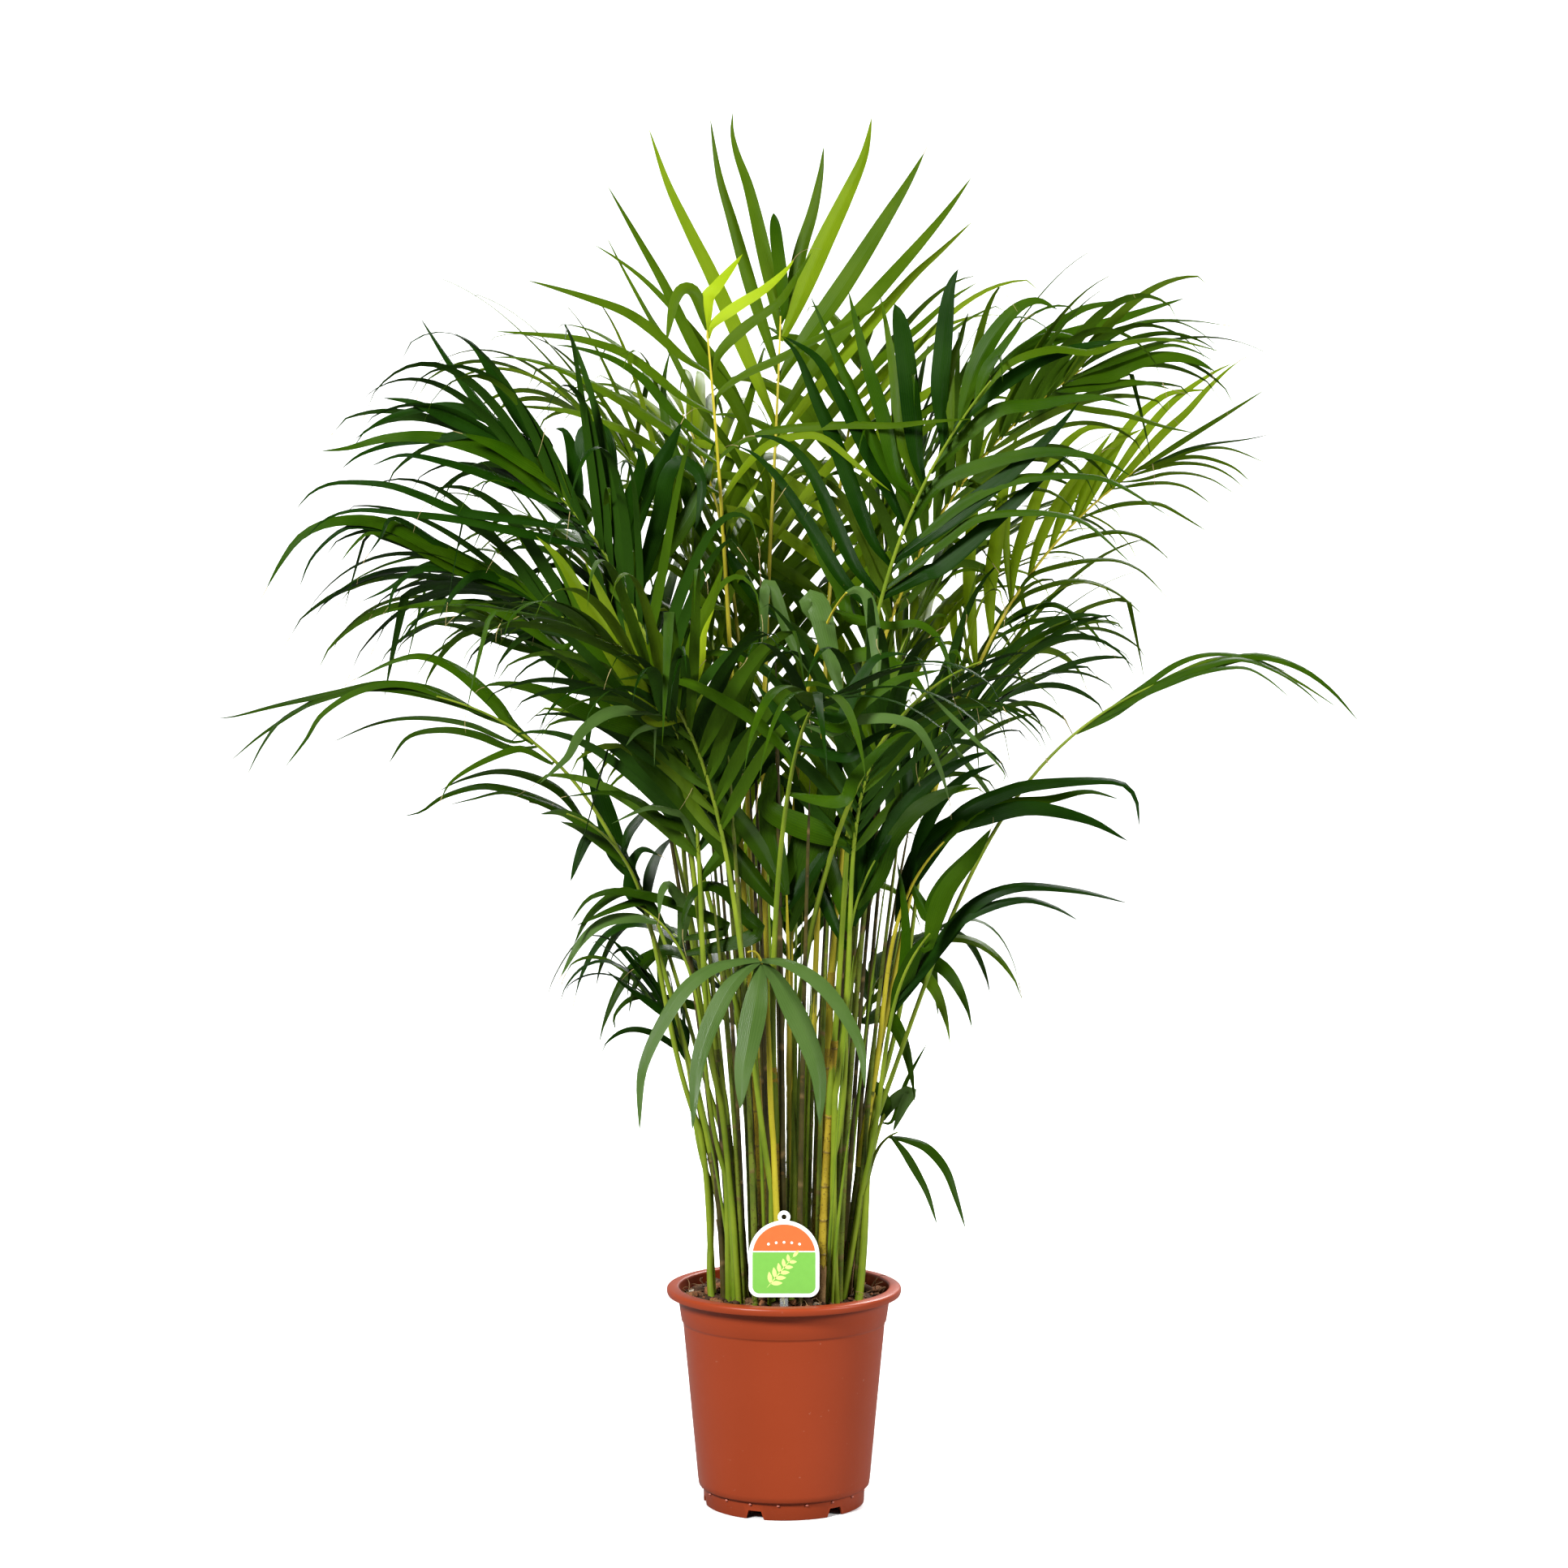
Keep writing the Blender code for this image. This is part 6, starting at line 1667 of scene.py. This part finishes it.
def soil_edge_radius():
    low = COLLAR_FOOT_RADIUS - WALL
    high = COLLAR_TOP_RADIUS - WALL
    share = (SOIL_EDGE - COLLAR_FOOT) / (POT_HEIGHT - RIM_HEIGHT - COLLAR_FOOT)
    return mix(low, high, share) - GAP


def soil_surface(radius):
    """Height of the soil before its lumps."""
    share = (radius - SOIL_FLAT_RADIUS) / (soil_edge_radius() - SOIL_FLAT_RADIUS)
    return mix(SOIL_TOP, SOIL_EDGE, max(share, 0.0))


def lump(x, y, height):
    """Unevenness of the soil at a point."""
    broad = noise.noise(Vector((x * 38.0, y * 38.0, 0.3)))
    fine = noise.noise(Vector((x * 150.0, y * 150.0, 4.1)))
    grain = noise.noise(Vector((x * 420.0, y * 420.0, 9.7)))
    return height * (0.55 * broad + 0.40 * fine + 0.25 * grain - 0.1)


class PALM_OT_soil(bpy.types.Operator):
    """Lays the lumpy soil with its crumbs, bark chips, pale grains and fibres"""
    bl_idname = "palm.soil"
    bl_label = "Soil"

    def execute(self, context):
        settings = context.scene.palm_soil
        shared_groups()
        self.surface(settings)
        self.crumbs(settings)
        self.fibres()
        return {"FINISHED"}

    def surface(self, settings):
        radial, turns = 64, 220
        edge = soil_edge_radius()
        work = Sheetwork()
        rings, uvs = [], []
        for i in range(radial + 1):
            radius = edge * (1.0 - i / (radial + 1))
            ring = []
            for k in range(turns):
                angle = 2.0 * math.pi * k / turns
                x, y = radius * math.cos(angle), radius * math.sin(angle)
                rise = lump(x, y, settings.roughness)
                ring.append(Vector((x, y, soil_surface(radius) + rise)))
            rings.append(ring)
            uvs.append([(k / turns, i / radial) for k in range(turns)])
        skirt = [Vector((v.x, v.y, SOIL_EDGE - 0.012)) for v in rings[0]]
        rings.insert(0, skirt)
        uvs.insert(0, uvs[0])
        centre = Vector((0.0, 0.0, SOIL_TOP + lump(0.0, 0.0, settings.roughness)))
        work.rings(rings, uvs, [0] * turns, cap_start=True, tip=centre)
        dark = soil_finish("damp_soil", settings.colour, tuple(c * 2.4 for c in settings.colour))
        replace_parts(work.piece("potting_soil_surface", [dark], "potting_soil", 180.0), "potting_soil")

    def crumbs(self, settings):
        """Irregular lumps in four colours."""
        rng = random.Random(41)
        bm = bmesh.new()
        edge = soil_edge_radius() - 0.003
        for _ in range(settings.crumbs):
            radius = edge * math.sqrt(rng.uniform(0.02, 1.0))
            angle = rng.uniform(0.0, 2.0 * math.pi)
            size = rng.uniform(0.0012, 0.0040) * (1.0 if rng.random() < 0.85 else 1.9)
            x, y = radius * math.cos(angle), radius * math.sin(angle)
            z = soil_surface(radius) + lump(x, y, settings.roughness) + size * 0.25
            made = bmesh.ops.create_icosphere(bm, subdivisions=1, radius=1.0)["verts"]
            seed = rng.uniform(0.0, 100.0)
            stretch = Vector((rng.uniform(0.7, 1.5), rng.uniform(0.7, 1.2), rng.uniform(0.45, 0.9)))
            turn = Matrix.Rotation(rng.uniform(0.0, 6.28), 3, "Z") @ Matrix.Rotation(rng.uniform(-0.5, 0.5), 3, "X")
            draw = rng.random()
            kind = 3 if draw < 0.010 else 2 if draw < 0.26 else 1 if draw < 0.5 else 0
            for vert in made:
                rough = 1.0 + 0.35 * noise.noise(vert.co * 1.7 + Vector((seed, 0.0, 0.0)))
                local = Vector((vert.co.x * stretch.x, vert.co.y * stretch.y, vert.co.z * stretch.z))
                vert.co = turn @ (local * size * rough) + Vector((x, y, z))
            for face in {face for vert in made for face in vert.link_faces}:
                face.material_index = kind
        colours = (
            soil_finish("crumb_dark", settings.colour, tuple(c * 2.0 for c in settings.colour)),
            soil_finish("crumb_brown", (0.085, 0.042, 0.020), (0.14, 0.07, 0.03)),
            soil_finish("bark_chip", (0.17, 0.065, 0.026), (0.26, 0.11, 0.045)),
            soil_finish("pale_grain", (0.30, 0.25, 0.19), (0.44, 0.38, 0.30)),
        )
        crumbs = from_bmesh("soil_crumbs", bm, colours[0], 60.0)
        for finish in colours[1:]:
            crumbs.data.materials.append(finish)
        keep(crumbs, "potting_soil")

    def fibres(self):
        """Thin curved root and peat fibres that stick out of the soil."""
        rng = random.Random(77)
        work = Sheetwork()
        for _ in range(70):
            radius = soil_edge_radius() * math.sqrt(rng.uniform(0.05, 0.94))
            angle = rng.uniform(0.0, 2.0 * math.pi)
            place = Vector((radius * math.cos(angle), radius * math.sin(angle), soil_surface(radius)))
            heading = rng.uniform(0.0, 2.0 * math.pi)
            length = rng.uniform(0.008, 0.030)
            rise = rng.uniform(0.15, 0.8)
            rings, uvs = [], []
            for i in range(7):
                t = i / 6
                swing = heading + t * rng.uniform(0.5, 1.6)
                level = Vector((math.cos(swing), math.sin(swing), 0.0))
                centre = place + level * (length * t) + UP * (length * rise * math.sin(math.pi * t * 0.8))
                thick = mix(0.00045, 0.00015, t)
                normal = level.cross(UP)
                ring = [centre + normal * thick, centre + UP * thick, centre - normal * thick, centre - UP * thick]
                limit = soil_edge_radius() - 0.001
                rings.append([self.inside(p, limit) for p in ring])
                uvs.append([(k / 4, t) for k in range(4)])
            work.rings(rings, uvs, [0] * 4, cap_start=True, cap_end=True)
        work.piece("soil_fibres", [dry_finish("root_fibre", (0.15, 0.085, 0.035), (0.28, 0.17, 0.08))],
                   "potting_soil", 80.0)

    @staticmethod
    def inside(point, limit):
        flat = math.hypot(point.x, point.y)
        if flat > limit:
            return Vector((point.x * limit / flat, point.y * limit / flat, point.z))
        return point


# Label

def card_outline(inset):
    """The arched card with round lower corners, drawn in by an inset."""
    half = LABEL_WIDTH / 2
    corner = half - LABEL_CORNER
    low = LABEL_LOW.z + LABEL_CORNER
    outline = arc((corner, low), LABEL_CORNER - inset, -90, 0, 8)
    outline += arc((0.0, LABEL_SHOULDER), half - inset, 0, 180, 40)
    outline += arc((-corner, low), LABEL_CORNER - inset, 180, 270, 8)
    return outline


def clipped(outline, height, above):
    """The part of an outline over or under a level."""
    sign = 1.0 if above else -1.0
    kept = []
    for (x0, z0), (x1, z1) in zip(outline, outline[1:] + outline[:1]):
        if (z0 - height) * sign >= 0.0:
            kept.append((x0, z0))
        if (z0 - height) * (z1 - height) < 0.0:
            share = (height - z0) / (z1 - z0)
            kept.append((mix(x0, x1, share), height))
    return kept


def leaf_outline(root, heading, length, width):
    """A pointed oval, as a simple printed leaf."""
    turn = math.radians(heading)
    ax, az = math.cos(turn), math.sin(turn)
    left, right = [], []
    for i in range(13):
        t = i / 12
        half = width / 2 * math.sin(math.pi * t) ** 0.8 * (1.15 - 0.3 * t)
        x, z = root[0] + ax * length * t, root[1] + az * length * t
        left.append((x - az * half, z + ax * half))
        right.append((x + az * half, z - ax * half))
    return right + list(reversed(left[1:-1]))


def plate(bm, outline, back, front, rounding=0.0):
    """A flat plate of an outline in the XZ plane, between two depths along Y."""
    face = bm.faces.new([bm.verts.new((x, front, z)) for x, z in outline])
    made = bmesh.ops.extrude_face_region(bm, geom=[face])
    moved = [item for item in made["geom"] if isinstance(item, bmesh.types.BMVert)]
    bmesh.ops.translate(bm, verts=moved, vec=(0.0, back - front, 0.0))
    if rounding:
        rim = [edge for edge in face.edges]
        bmesh.ops.bevel(bm, geom=rim, offset=rounding, segments=2, affect="EDGES")


class PALM_OT_label(bpy.types.Operator):
    """Makes the arched plant label with a printed sprig, and the clear stake behind it"""
    bl_idname = "palm.label"
    bl_label = "Label"

    def execute(self, context):
        settings = context.scene.palm_label
        shared_groups()
        card = self.card(settings)
        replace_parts(card, "plant_label")
        self.prints(settings)
        self.stake()
        return {"FINISHED"}

    def card(self, settings):
        """The white card with its hanging loop."""
        half = LABEL_WIDTH / 2
        loop = (0.0, LABEL_SHOULDER + half + LOOP_RADIUS * 0.6)
        low = LABEL_LOW.z + LABEL_CORNER
        corner = half - LABEL_CORNER
        outline = arc((corner, low), LABEL_CORNER, -90, 0, 8)
        outline += arc((0.0, LABEL_SHOULDER), half, 0, 82, 18)
        outline += arc(loop, LOOP_RADIUS, -62, 242, 24)
        outline += arc((0.0, LABEL_SHOULDER), half, 98, 180, 18)
        outline += arc((-corner, low), LABEL_CORNER, 180, 270, 8)
        curve = bpy.data.curves.new("label_card", "CURVE")
        curve.dimensions = "2D"
        curve.fill_mode = "BOTH"
        curve.extrude = 0.00032
        curve.bevel_depth = 0.00016
        curve.bevel_resolution = 2
        for points in (outline, arc(loop, LOOP_HOLE, 0, 345, 23)):
            spline = curve.splines.new("POLY")
            spline.points.add(len(points) - 1)
            for point, (x, z) in zip(spline.points, points):
                point.co = (x, z, 0.0, 1.0)
            spline.use_cyclic_u = True
        drawn = mesh_object("label_curve", curve)
        mesh = bpy.data.meshes.new_from_object(drawn.evaluated_get(bpy.context.evaluated_depsgraph_get()))
        bpy.data.objects.remove(drawn)
        middle = (LABEL_LOW.y + LABEL_HIGH.y) / 2
        mesh.transform(Matrix.Translation((0.0, middle, 0.0)) @ Matrix.Rotation(math.radians(90), 4, "X"))
        bm = bmesh.new()
        bm.from_mesh(mesh)
        bmesh.ops.remove_doubles(bm, verts=bm.verts, dist=0.000005)
        bmesh.ops.recalc_face_normals(bm, faces=bm.faces)
        finish = print_finish("label_card", settings.card, tuple(c * 0.95 for c in settings.card), 0.3)
        return keep(from_bmesh("label_card", bm, finish, 35.0), "label")

    def prints(self, settings):
        """Field, band and sprig as thin raised layers on the card's face."""
        face = LABEL_FRONT + 0.00002
        inset = 0.0036
        field = card_outline(inset)
        band_foot = LABEL_SHOULDER + 0.0045
        layers = (
            ("label_field", [clipped(field, band_foot - 0.0012, False)], settings.field, 0.00008),
            ("label_band", [clipped(field, band_foot, True)], settings.band, 0.00008),
            ("label_sprig", self.sprig(), settings.sprig, 0.00014),
            ("label_dots", self.dots(band_foot), settings.card, 0.00014),
        )
        for name, outlines, colour, rise in layers:
            bm = bmesh.new()
            for outline in outlines:
                plate(bm, outline, face, face - rise)
            bmesh.ops.recalc_face_normals(bm, faces=bm.faces)
            finish = print_finish(name, colour, tuple(min(c * 1.12, 1.0) for c in colour))
            keep(from_bmesh(name, bm, finish), "label")

    @staticmethod
    def sprig():
        """A stem with paired leaves, leaning across the field."""
        root = (-0.017, LABEL_LOW.z + 0.0085)
        lean = math.radians(50)
        stem_length = 0.040
        way = (math.cos(lean), math.sin(lean))
        outlines = [leaf_outline(root, 50, stem_length, 0.0011)]
        for i in range(5):
            t = 0.16 + 0.17 * i
            foot = (root[0] + way[0] * stem_length * t, root[1] + way[1] * stem_length * t)
            length = 0.0125 * (1.0 - 0.45 * t)
            outlines.append(leaf_outline(foot, 50 + 48, length, 0.0046 * (1.0 - 0.3 * t)))
            outlines.append(leaf_outline(foot, 50 - 48, length, 0.0046 * (1.0 - 0.3 * t)))
        top = (root[0] + way[0] * stem_length, root[1] + way[1] * stem_length)
        outlines.append(leaf_outline(top, 50, 0.0085, 0.0034))
        return outlines

    @staticmethod
    def dots(band_foot):
        """A row of small discs along the band."""
        return [arc((0.0075 * i, band_foot + 0.0085 - 0.00045 * i * i), 0.0013, 0, 330, 11) for i in (-2, -1, 0, 1, 2)]

    @staticmethod
    def stake():
        """The clear strip that the label hangs on, with rounded edges."""
        low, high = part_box("label_stake")
        bm = bmesh.new()
        bmesh.ops.create_cube(bm, size=1.0)
        bmesh.ops.scale(bm, verts=bm.verts, vec=high - low)
        bmesh.ops.translate(bm, verts=bm.verts, vec=(low + high) / 2)
        bmesh.ops.bevel(bm, geom=list(bm.edges), offset=0.0004, segments=2, affect="EDGES")
        stake = keep(from_bmesh("clear_stake", bm, stake_finish()), "stake")
        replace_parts(stake, "label_stake")


# Canes

def add_cane(work, index, cane, settings):
    """A stem with ridged leaf scars, a flared foot and slight unevenness."""
    levels = 96
    rings, uvs = [], []
    rng = random.Random(300 + index)
    phase = rng.random()
    for i in range(levels + 1):
        share = mix(-0.012, 1.0, i / levels)
        point, along = cane_point(cane, share)
        height = cane.height * share
        scars = height / settings.scar_spacing + phase
        off = abs((scars % 1.0) - 0.5) * settings.scar_spacing
        ridge = settings.scar_height * bump(off, 0.0016)
        side = along.orthogonal().normalized()
        other = along.cross(side)
        ring = []
        for k in range(settings.sides):
            angle = 2.0 * math.pi * k / settings.sides
            way = side * math.cos(angle) + other * math.sin(angle)
            rough = 0.00022 * noise.noise(point * 90.0 + way * 2.0 + Vector((index, 0.0, 0.0)))
            ring.append(point + way * (cane_radius(cane, share) + ridge + rough))
        rings.append(ring)
        uvs.append([(k / settings.sides, scars) for k in range(settings.sides)])
    work.rings(rings, uvs, [0] * settings.sides, cap_start=True, cap_end=True)


def add_old_sheath(work, index, cane):
    """A ragged papery remnant wrapped round a cane's foot."""
    rng = random.Random(500 + index)
    sides, levels = 20, 10
    height = rng.uniform(0.030, 0.085)
    start = rng.uniform(0.0, 360.0)
    sweep = rng.uniform(200.0, 300.0)
    inner, outer = [], []
    for i in range(levels + 1):
        row_in, row_out = [], []
        for k in range(sides + 1):
            angle = math.radians(start + sweep * k / sides)
            ragged = 1.0 - 0.45 * abs(noise.noise(Vector((k * 0.45, index, 2.0))))
            rise = height * ragged * i / levels
            point, along = cane_point(cane, rise / cane.height)
            side = along.orthogonal().normalized()
            way = side * math.cos(angle) + along.cross(side) * math.sin(angle)
            loose = 0.0005 + 0.0022 * (i / levels) ** 2 * (0.4 + abs(noise.noise(Vector((k * 0.3, index, 7.0)))))
            radius = cane_radius(cane, rise / cane.height) + loose
            row_in.append(point + way * radius)
            row_out.append(point + way * (radius + 0.0005))
        inner.append(row_in)
        outer.append(row_out)
    rings = [a + list(reversed(b)) for a, b in zip(outer, inner)]
    uvs = [[(k / len(ring), i / levels) for k in range(len(ring))] for i, ring in enumerate(rings)]
    work.rings(rings, uvs, [0] * len(rings[0]), cap_start=True, cap_end=True)


class PALM_OT_canes(bpy.types.Operator):
    """Grows the canes with their leaf scars, old sheaths and young shoots"""
    bl_idname = "palm.canes"
    bl_label = "Canes"

    def execute(self, context):
        settings = context.scene.palm_canes
        shared_groups()
        finishes = {
            "green_cane": cane_finish("green_cane", (0.046, 0.060, 0.005), (0.140, 0.156, 0.014)),
            "golden_cane": cane_finish("golden_cane", (0.240, 0.165, 0.010), (0.400, 0.300, 0.024)),
        }
        for name, finish in finishes.items():
            work = Sheetwork()
            nodes = []
            for index, cane in enumerate(CANES):
                if cane.finish == name:
                    add_cane(work, index, cane, settings)
                    nodes.append(f"cane_{index + 1:02d}")
            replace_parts(work.piece(name + "s", [finish], "cane", 60.0), *nodes)
        work = Sheetwork()
        for index in (0, 2, 3, 4, 6, 8, 9, 10, 11, 13):
            add_old_sheath(work, index, CANES[index])
        dry = dry_finish("dry_sheath", (0.16, 0.085, 0.030), (0.30, 0.18, 0.07))
        work.piece("old_sheaths", [dry], "cane", 60.0)
        self.shoots()
        self.stalks()
        return {"FINISHED"}

    def stalks(self):
        """Leaf stalks that rise from the soil between the canes, some green and some nearly black as painted shade."""
        rng = random.Random(23)
        works = (Sheetwork(), Sheetwork())
        for i in range(STALKS):
            azimuth = 137.5 * i + rng.uniform(-10.0, 10.0)
            ring = mix(0.016, 0.074, math.sqrt((i + 0.5) / STALKS))
            height = rng.uniform(0.42, 0.66)
            lean = ring * rng.uniform(1.0, 2.2)
            thick = rng.uniform(0.0026, 0.0037)
            rings, uvs = [], []
            for step in range(25):
                t = step / 24
                centre = around(azimuth, ring + lean * height * t ** 1.5, SOIL_TOP - 0.004 + height * t)
                radius = thick * (1.0 - 0.55 * t) * (1.0 if t < 0.9 else 1.0 - (t - 0.9) * 9.0)
                rings.append([centre + Vector((math.cos(a), math.sin(a), 0.0)) * max(radius, 0.0002)
                              for a in (2.0 * math.pi * k / 10 for k in range(10))])
                uvs.append([(k / 10, t * 6.0) for k in range(10)])
            works[i % 2].rings(rings, uvs, [0] * 10, cap_start=True, cap_end=True)
        green = cane_finish("stalk_green", (0.050, 0.080, 0.005), (0.150, 0.185, 0.016))
        # Half the stalks are nearly black: painted shade of stalks deep in the clump
        shaded = cane_finish("stalk_painted_shade", (0.016, 0.014, 0.003), (0.072, 0.060, 0.010))
        works[0].piece("green_stalks", [green], "cane", 60.0)
        works[1].piece("shaded_stalks", [shaded], "cane", 60.0)

    def shoots(self):
        """Slender unopened shoots between the canes."""
        rng = random.Random(11)
        work = Sheetwork()
        for i in range(28):
            azimuth = 360.0 / 28 * i + rng.uniform(-6.0, 6.0)
            ring = rng.uniform(0.022, 0.076)
            height = rng.uniform(0.12, 0.50)
            lean = ring * rng.uniform(1.2, 3.0)
            thick = rng.uniform(0.0014, 0.0026)
            rings, uvs = [], []
            for step in range(19):
                t = step / 18
                centre = around(azimuth, ring + lean * height * t ** 1.4, SOIL_TOP - 0.003 + height * t)
                radius = thick * (1.0 - t ** 1.8) + 0.00025
                rings.append([centre + Vector((math.cos(a), math.sin(a), 0.0)) * radius
                              for a in (2.0 * math.pi * k / 8 for k in range(8))])
                uvs.append([(k / 8, t * 4.0) for k in range(8)])
            work.rings(rings, uvs, [0] * 8, cap_start=True, cap_end=True)
        shoot = rib_finish("young_shoot", (0.085, 0.150, 0.006), (0.190, 0.260, 0.016))
        work.piece("young_shoots", [shoot], "cane", 60.0)


class PALM_OT_ribs(bpy.types.Operator):
    """Draws each frond's leaf sheath, petiole and grooved rib"""
    bl_idname = "palm.ribs"
    bl_label = "Petioles and Ribs"

    def execute(self, context):
        shared_groups()
        golden, green = Sheetwork(), Sheetwork()
        for number, rib in enumerate(RIBS):
            add_rib(golden if number in GOLDEN_RIBS else green, rib, random.Random(700 + number))
        golden.piece("golden_ribs", [rib_finish("golden_rib", (0.330, 0.290, 0.014), (0.500, 0.420, 0.035))],
                     "cane", 70.0)
        green.piece("green_ribs", [rib_finish("green_rib", (0.105, 0.165, 0.007), (0.225, 0.285, 0.018))],
                    "cane", 70.0)
        return {"FINISHED"}


class PALM_OT_leaflets(bpy.types.Operator):
    """Grows the leaflets of all fronds, joined by tone"""
    bl_idname = "palm.leaflets"
    bl_label = "Leaflets"

    def execute(self, context):
        shared_groups()
        works = {name: Sheetwork() for name in TONES}
        search = limb_search()
        for number, rib in enumerate(RIBS):
            add_leaflets(number, rib, works, search)
        owned = {name: [] for name in TONES}
        for number, frond in enumerate(FRONDS):
            owned[frond.tone].append(f"frond_{number + 1:02d}")
        thread = dry_finish("dry_thread", (0.20, 0.15, 0.055), (0.40, 0.32, 0.14))
        for name, tone in TONES.items():
            upper = leaf_finish(name + "_leaf", tone.colour, tone.light, tone.glow, tone.roughness)
            under = underside_finish(name + "_underside", tone.colour, tone.light, tone.glow)
            piece = works[name].piece(name + "_leaflets", [upper, under, thread], tone.slot, 48.0)
            if owned[name]:
                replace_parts(piece, *owned[name])
        return {"FINISHED"}


# Studio

class PALM_OT_stage(bpy.types.Operator):
    """Sets a pale sweep, soft lights and the camera"""
    bl_idname = "palm.stage"
    bl_label = "Studio"

    def execute(self, context):
        settings = context.scene.palm_studio
        shared_groups()
        self.sweep(settings)
        self.lights(context.scene)
        self.camera(context.scene, settings)
        context.scene.view_settings.view_transform = "Standard"
        return {"FINISHED"}

    @staticmethod
    def sweep(settings):
        """A floor that curves up into a backdrop all round."""
        flat, rise, wall = 4.5, 1.6, 7.0
        profile = [(0.0, 0.0), (flat, 0.0)]
        profile += [(flat + rise * math.sin(a), rise * (1.0 - math.cos(a)))
                    for a in (math.pi / 2 * i / 8 for i in range(1, 9))]
        profile.append((flat + rise, wall))
        work = Sheetwork()
        turns = 72
        rings = [[Vector((r * math.cos(2 * math.pi * k / turns), r * math.sin(2 * math.pi * k / turns), z - 0.0002))
                  for k in range(turns)] for r, z in reversed(profile[1:])]
        uvs = [[(0.0, 0.0)] * turns for _ in rings]
        work.rings(rings, uvs, [0] * turns, tip=Vector((0.0, 0.0, -0.0002)))
        mesh = bpy.data.meshes.new("studio_sweep")
        mesh.from_pydata([tuple(v) for v in work.verts], [], work.faces)
        mesh.shade_smooth()
        finish = Finish("studio_paper", (0.22, 0.22, 0.22), 0.9, 0.1)
        seen = finish.tree.nodes.new("ShaderNodeLightPath").outputs["Is Camera Ray"]
        finish.layer(seen, settings.floor)
        mesh.materials.append(finish.done())
        mesh_object("studio_sweep", mesh)

    @staticmethod
    def lights(scene):
        world = bpy.data.worlds.new("studio")
        world.use_nodes = True
        world.node_tree.nodes["Background"].inputs["Color"].default_value = (1.0, 1.0, 1.0, 1.0)
        world.node_tree.nodes["Background"].inputs["Strength"].default_value = 0.13
        scene.world = world
        centre = (0.0, 0.0, 0.75)
        for name, place, target, size, power in (
            ("key", (-2.0, -2.7, 2.6), centre, 0.9, 290.0),
            ("side", (2.9, -1.6, 1.7), centre, 0.8, 120.0),
            ("back", (1.2, 2.6, 2.8), centre, 1.6, 190.0),
            ("backdrop_left", (-3.0, 2.4, 2.6), (-1.0, 6.1, 1.2), 2.4, 230.0),
            ("backdrop_right", (3.0, 2.4, 2.6), (1.0, 6.1, 1.2), 2.4, 230.0),
        ):
            light = bpy.data.lights.new(name, "AREA")
            light.shape = "SQUARE"
            light.size = size
            light.energy = power
            lamp = bpy.data.objects.new(name, light)
            lamp.location = place
            lamp.rotation_euler = (Vector(target) - Vector(place)).to_track_quat("-Z", "Y").to_euler()
            scene.collection.objects.link(lamp)

    @staticmethod
    def camera(scene, settings):
        """The camera that took the photograph."""
        data = bpy.data.cameras.new("studio_camera")
        data.sensor_width = 36.0
        data.lens = FOCAL_PIXELS / PHOTO_SIDE * data.sensor_width
        camera = bpy.data.objects.new("studio_camera", data)
        camera.location = (0.0, -settings.camera_distance, settings.camera_height)
        camera.rotation_euler = (math.pi / 2 - settings.camera_pitch, 0.0, 0.0)
        scene.collection.objects.link(camera)
        scene.camera = camera


OPERATORS = (
    PALM_OT_stage,
    PALM_OT_pot,
    PALM_OT_soil,
    PALM_OT_label,
    PALM_OT_canes,
    PALM_OT_ribs,
    PALM_OT_leaflets,
)


class PALM_PT_panel(bpy.types.Panel):
    """Lists the palm's pieces and their settings"""
    bl_label = "Areca Palm"
    bl_idname = "PALM_PT_panel"
    bl_space_type = "VIEW_3D"
    bl_region_type = "UI"
    bl_category = "Areca Palm"

    def draw(self, context):
        for operator in OPERATORS:
            self.layout.operator(operator.bl_idname)
        for name, group in SETTINGS.items():
            box = self.layout.box()
            for label in group.__annotations__:
                box.prop(getattr(context.scene, name), label)


def register():
    for group in SETTINGS.values():
        bpy.utils.register_class(group)
    for operator in OPERATORS:
        bpy.utils.register_class(operator)
    bpy.utils.register_class(PALM_PT_panel)
    for name, group in SETTINGS.items():
        setattr(bpy.types.Scene, name, PointerProperty(type=group))


def unregister():
    for name in SETTINGS:
        delattr(bpy.types.Scene, name)
    bpy.utils.unregister_class(PALM_PT_panel)
    for operator in reversed(OPERATORS):
        bpy.utils.unregister_class(operator)
    for group in reversed(list(SETTINGS.values())):
        bpy.utils.unregister_class(group)


def main():
    register()
    bpy.ops.palm.stage()
    bpy.ops.palm.pot()
    bpy.ops.palm.soil()
    bpy.ops.palm.label()
    bpy.ops.palm.canes()
    bpy.ops.palm.ribs()
    bpy.ops.palm.leaflets()


if __name__ == "__main__":
    main()
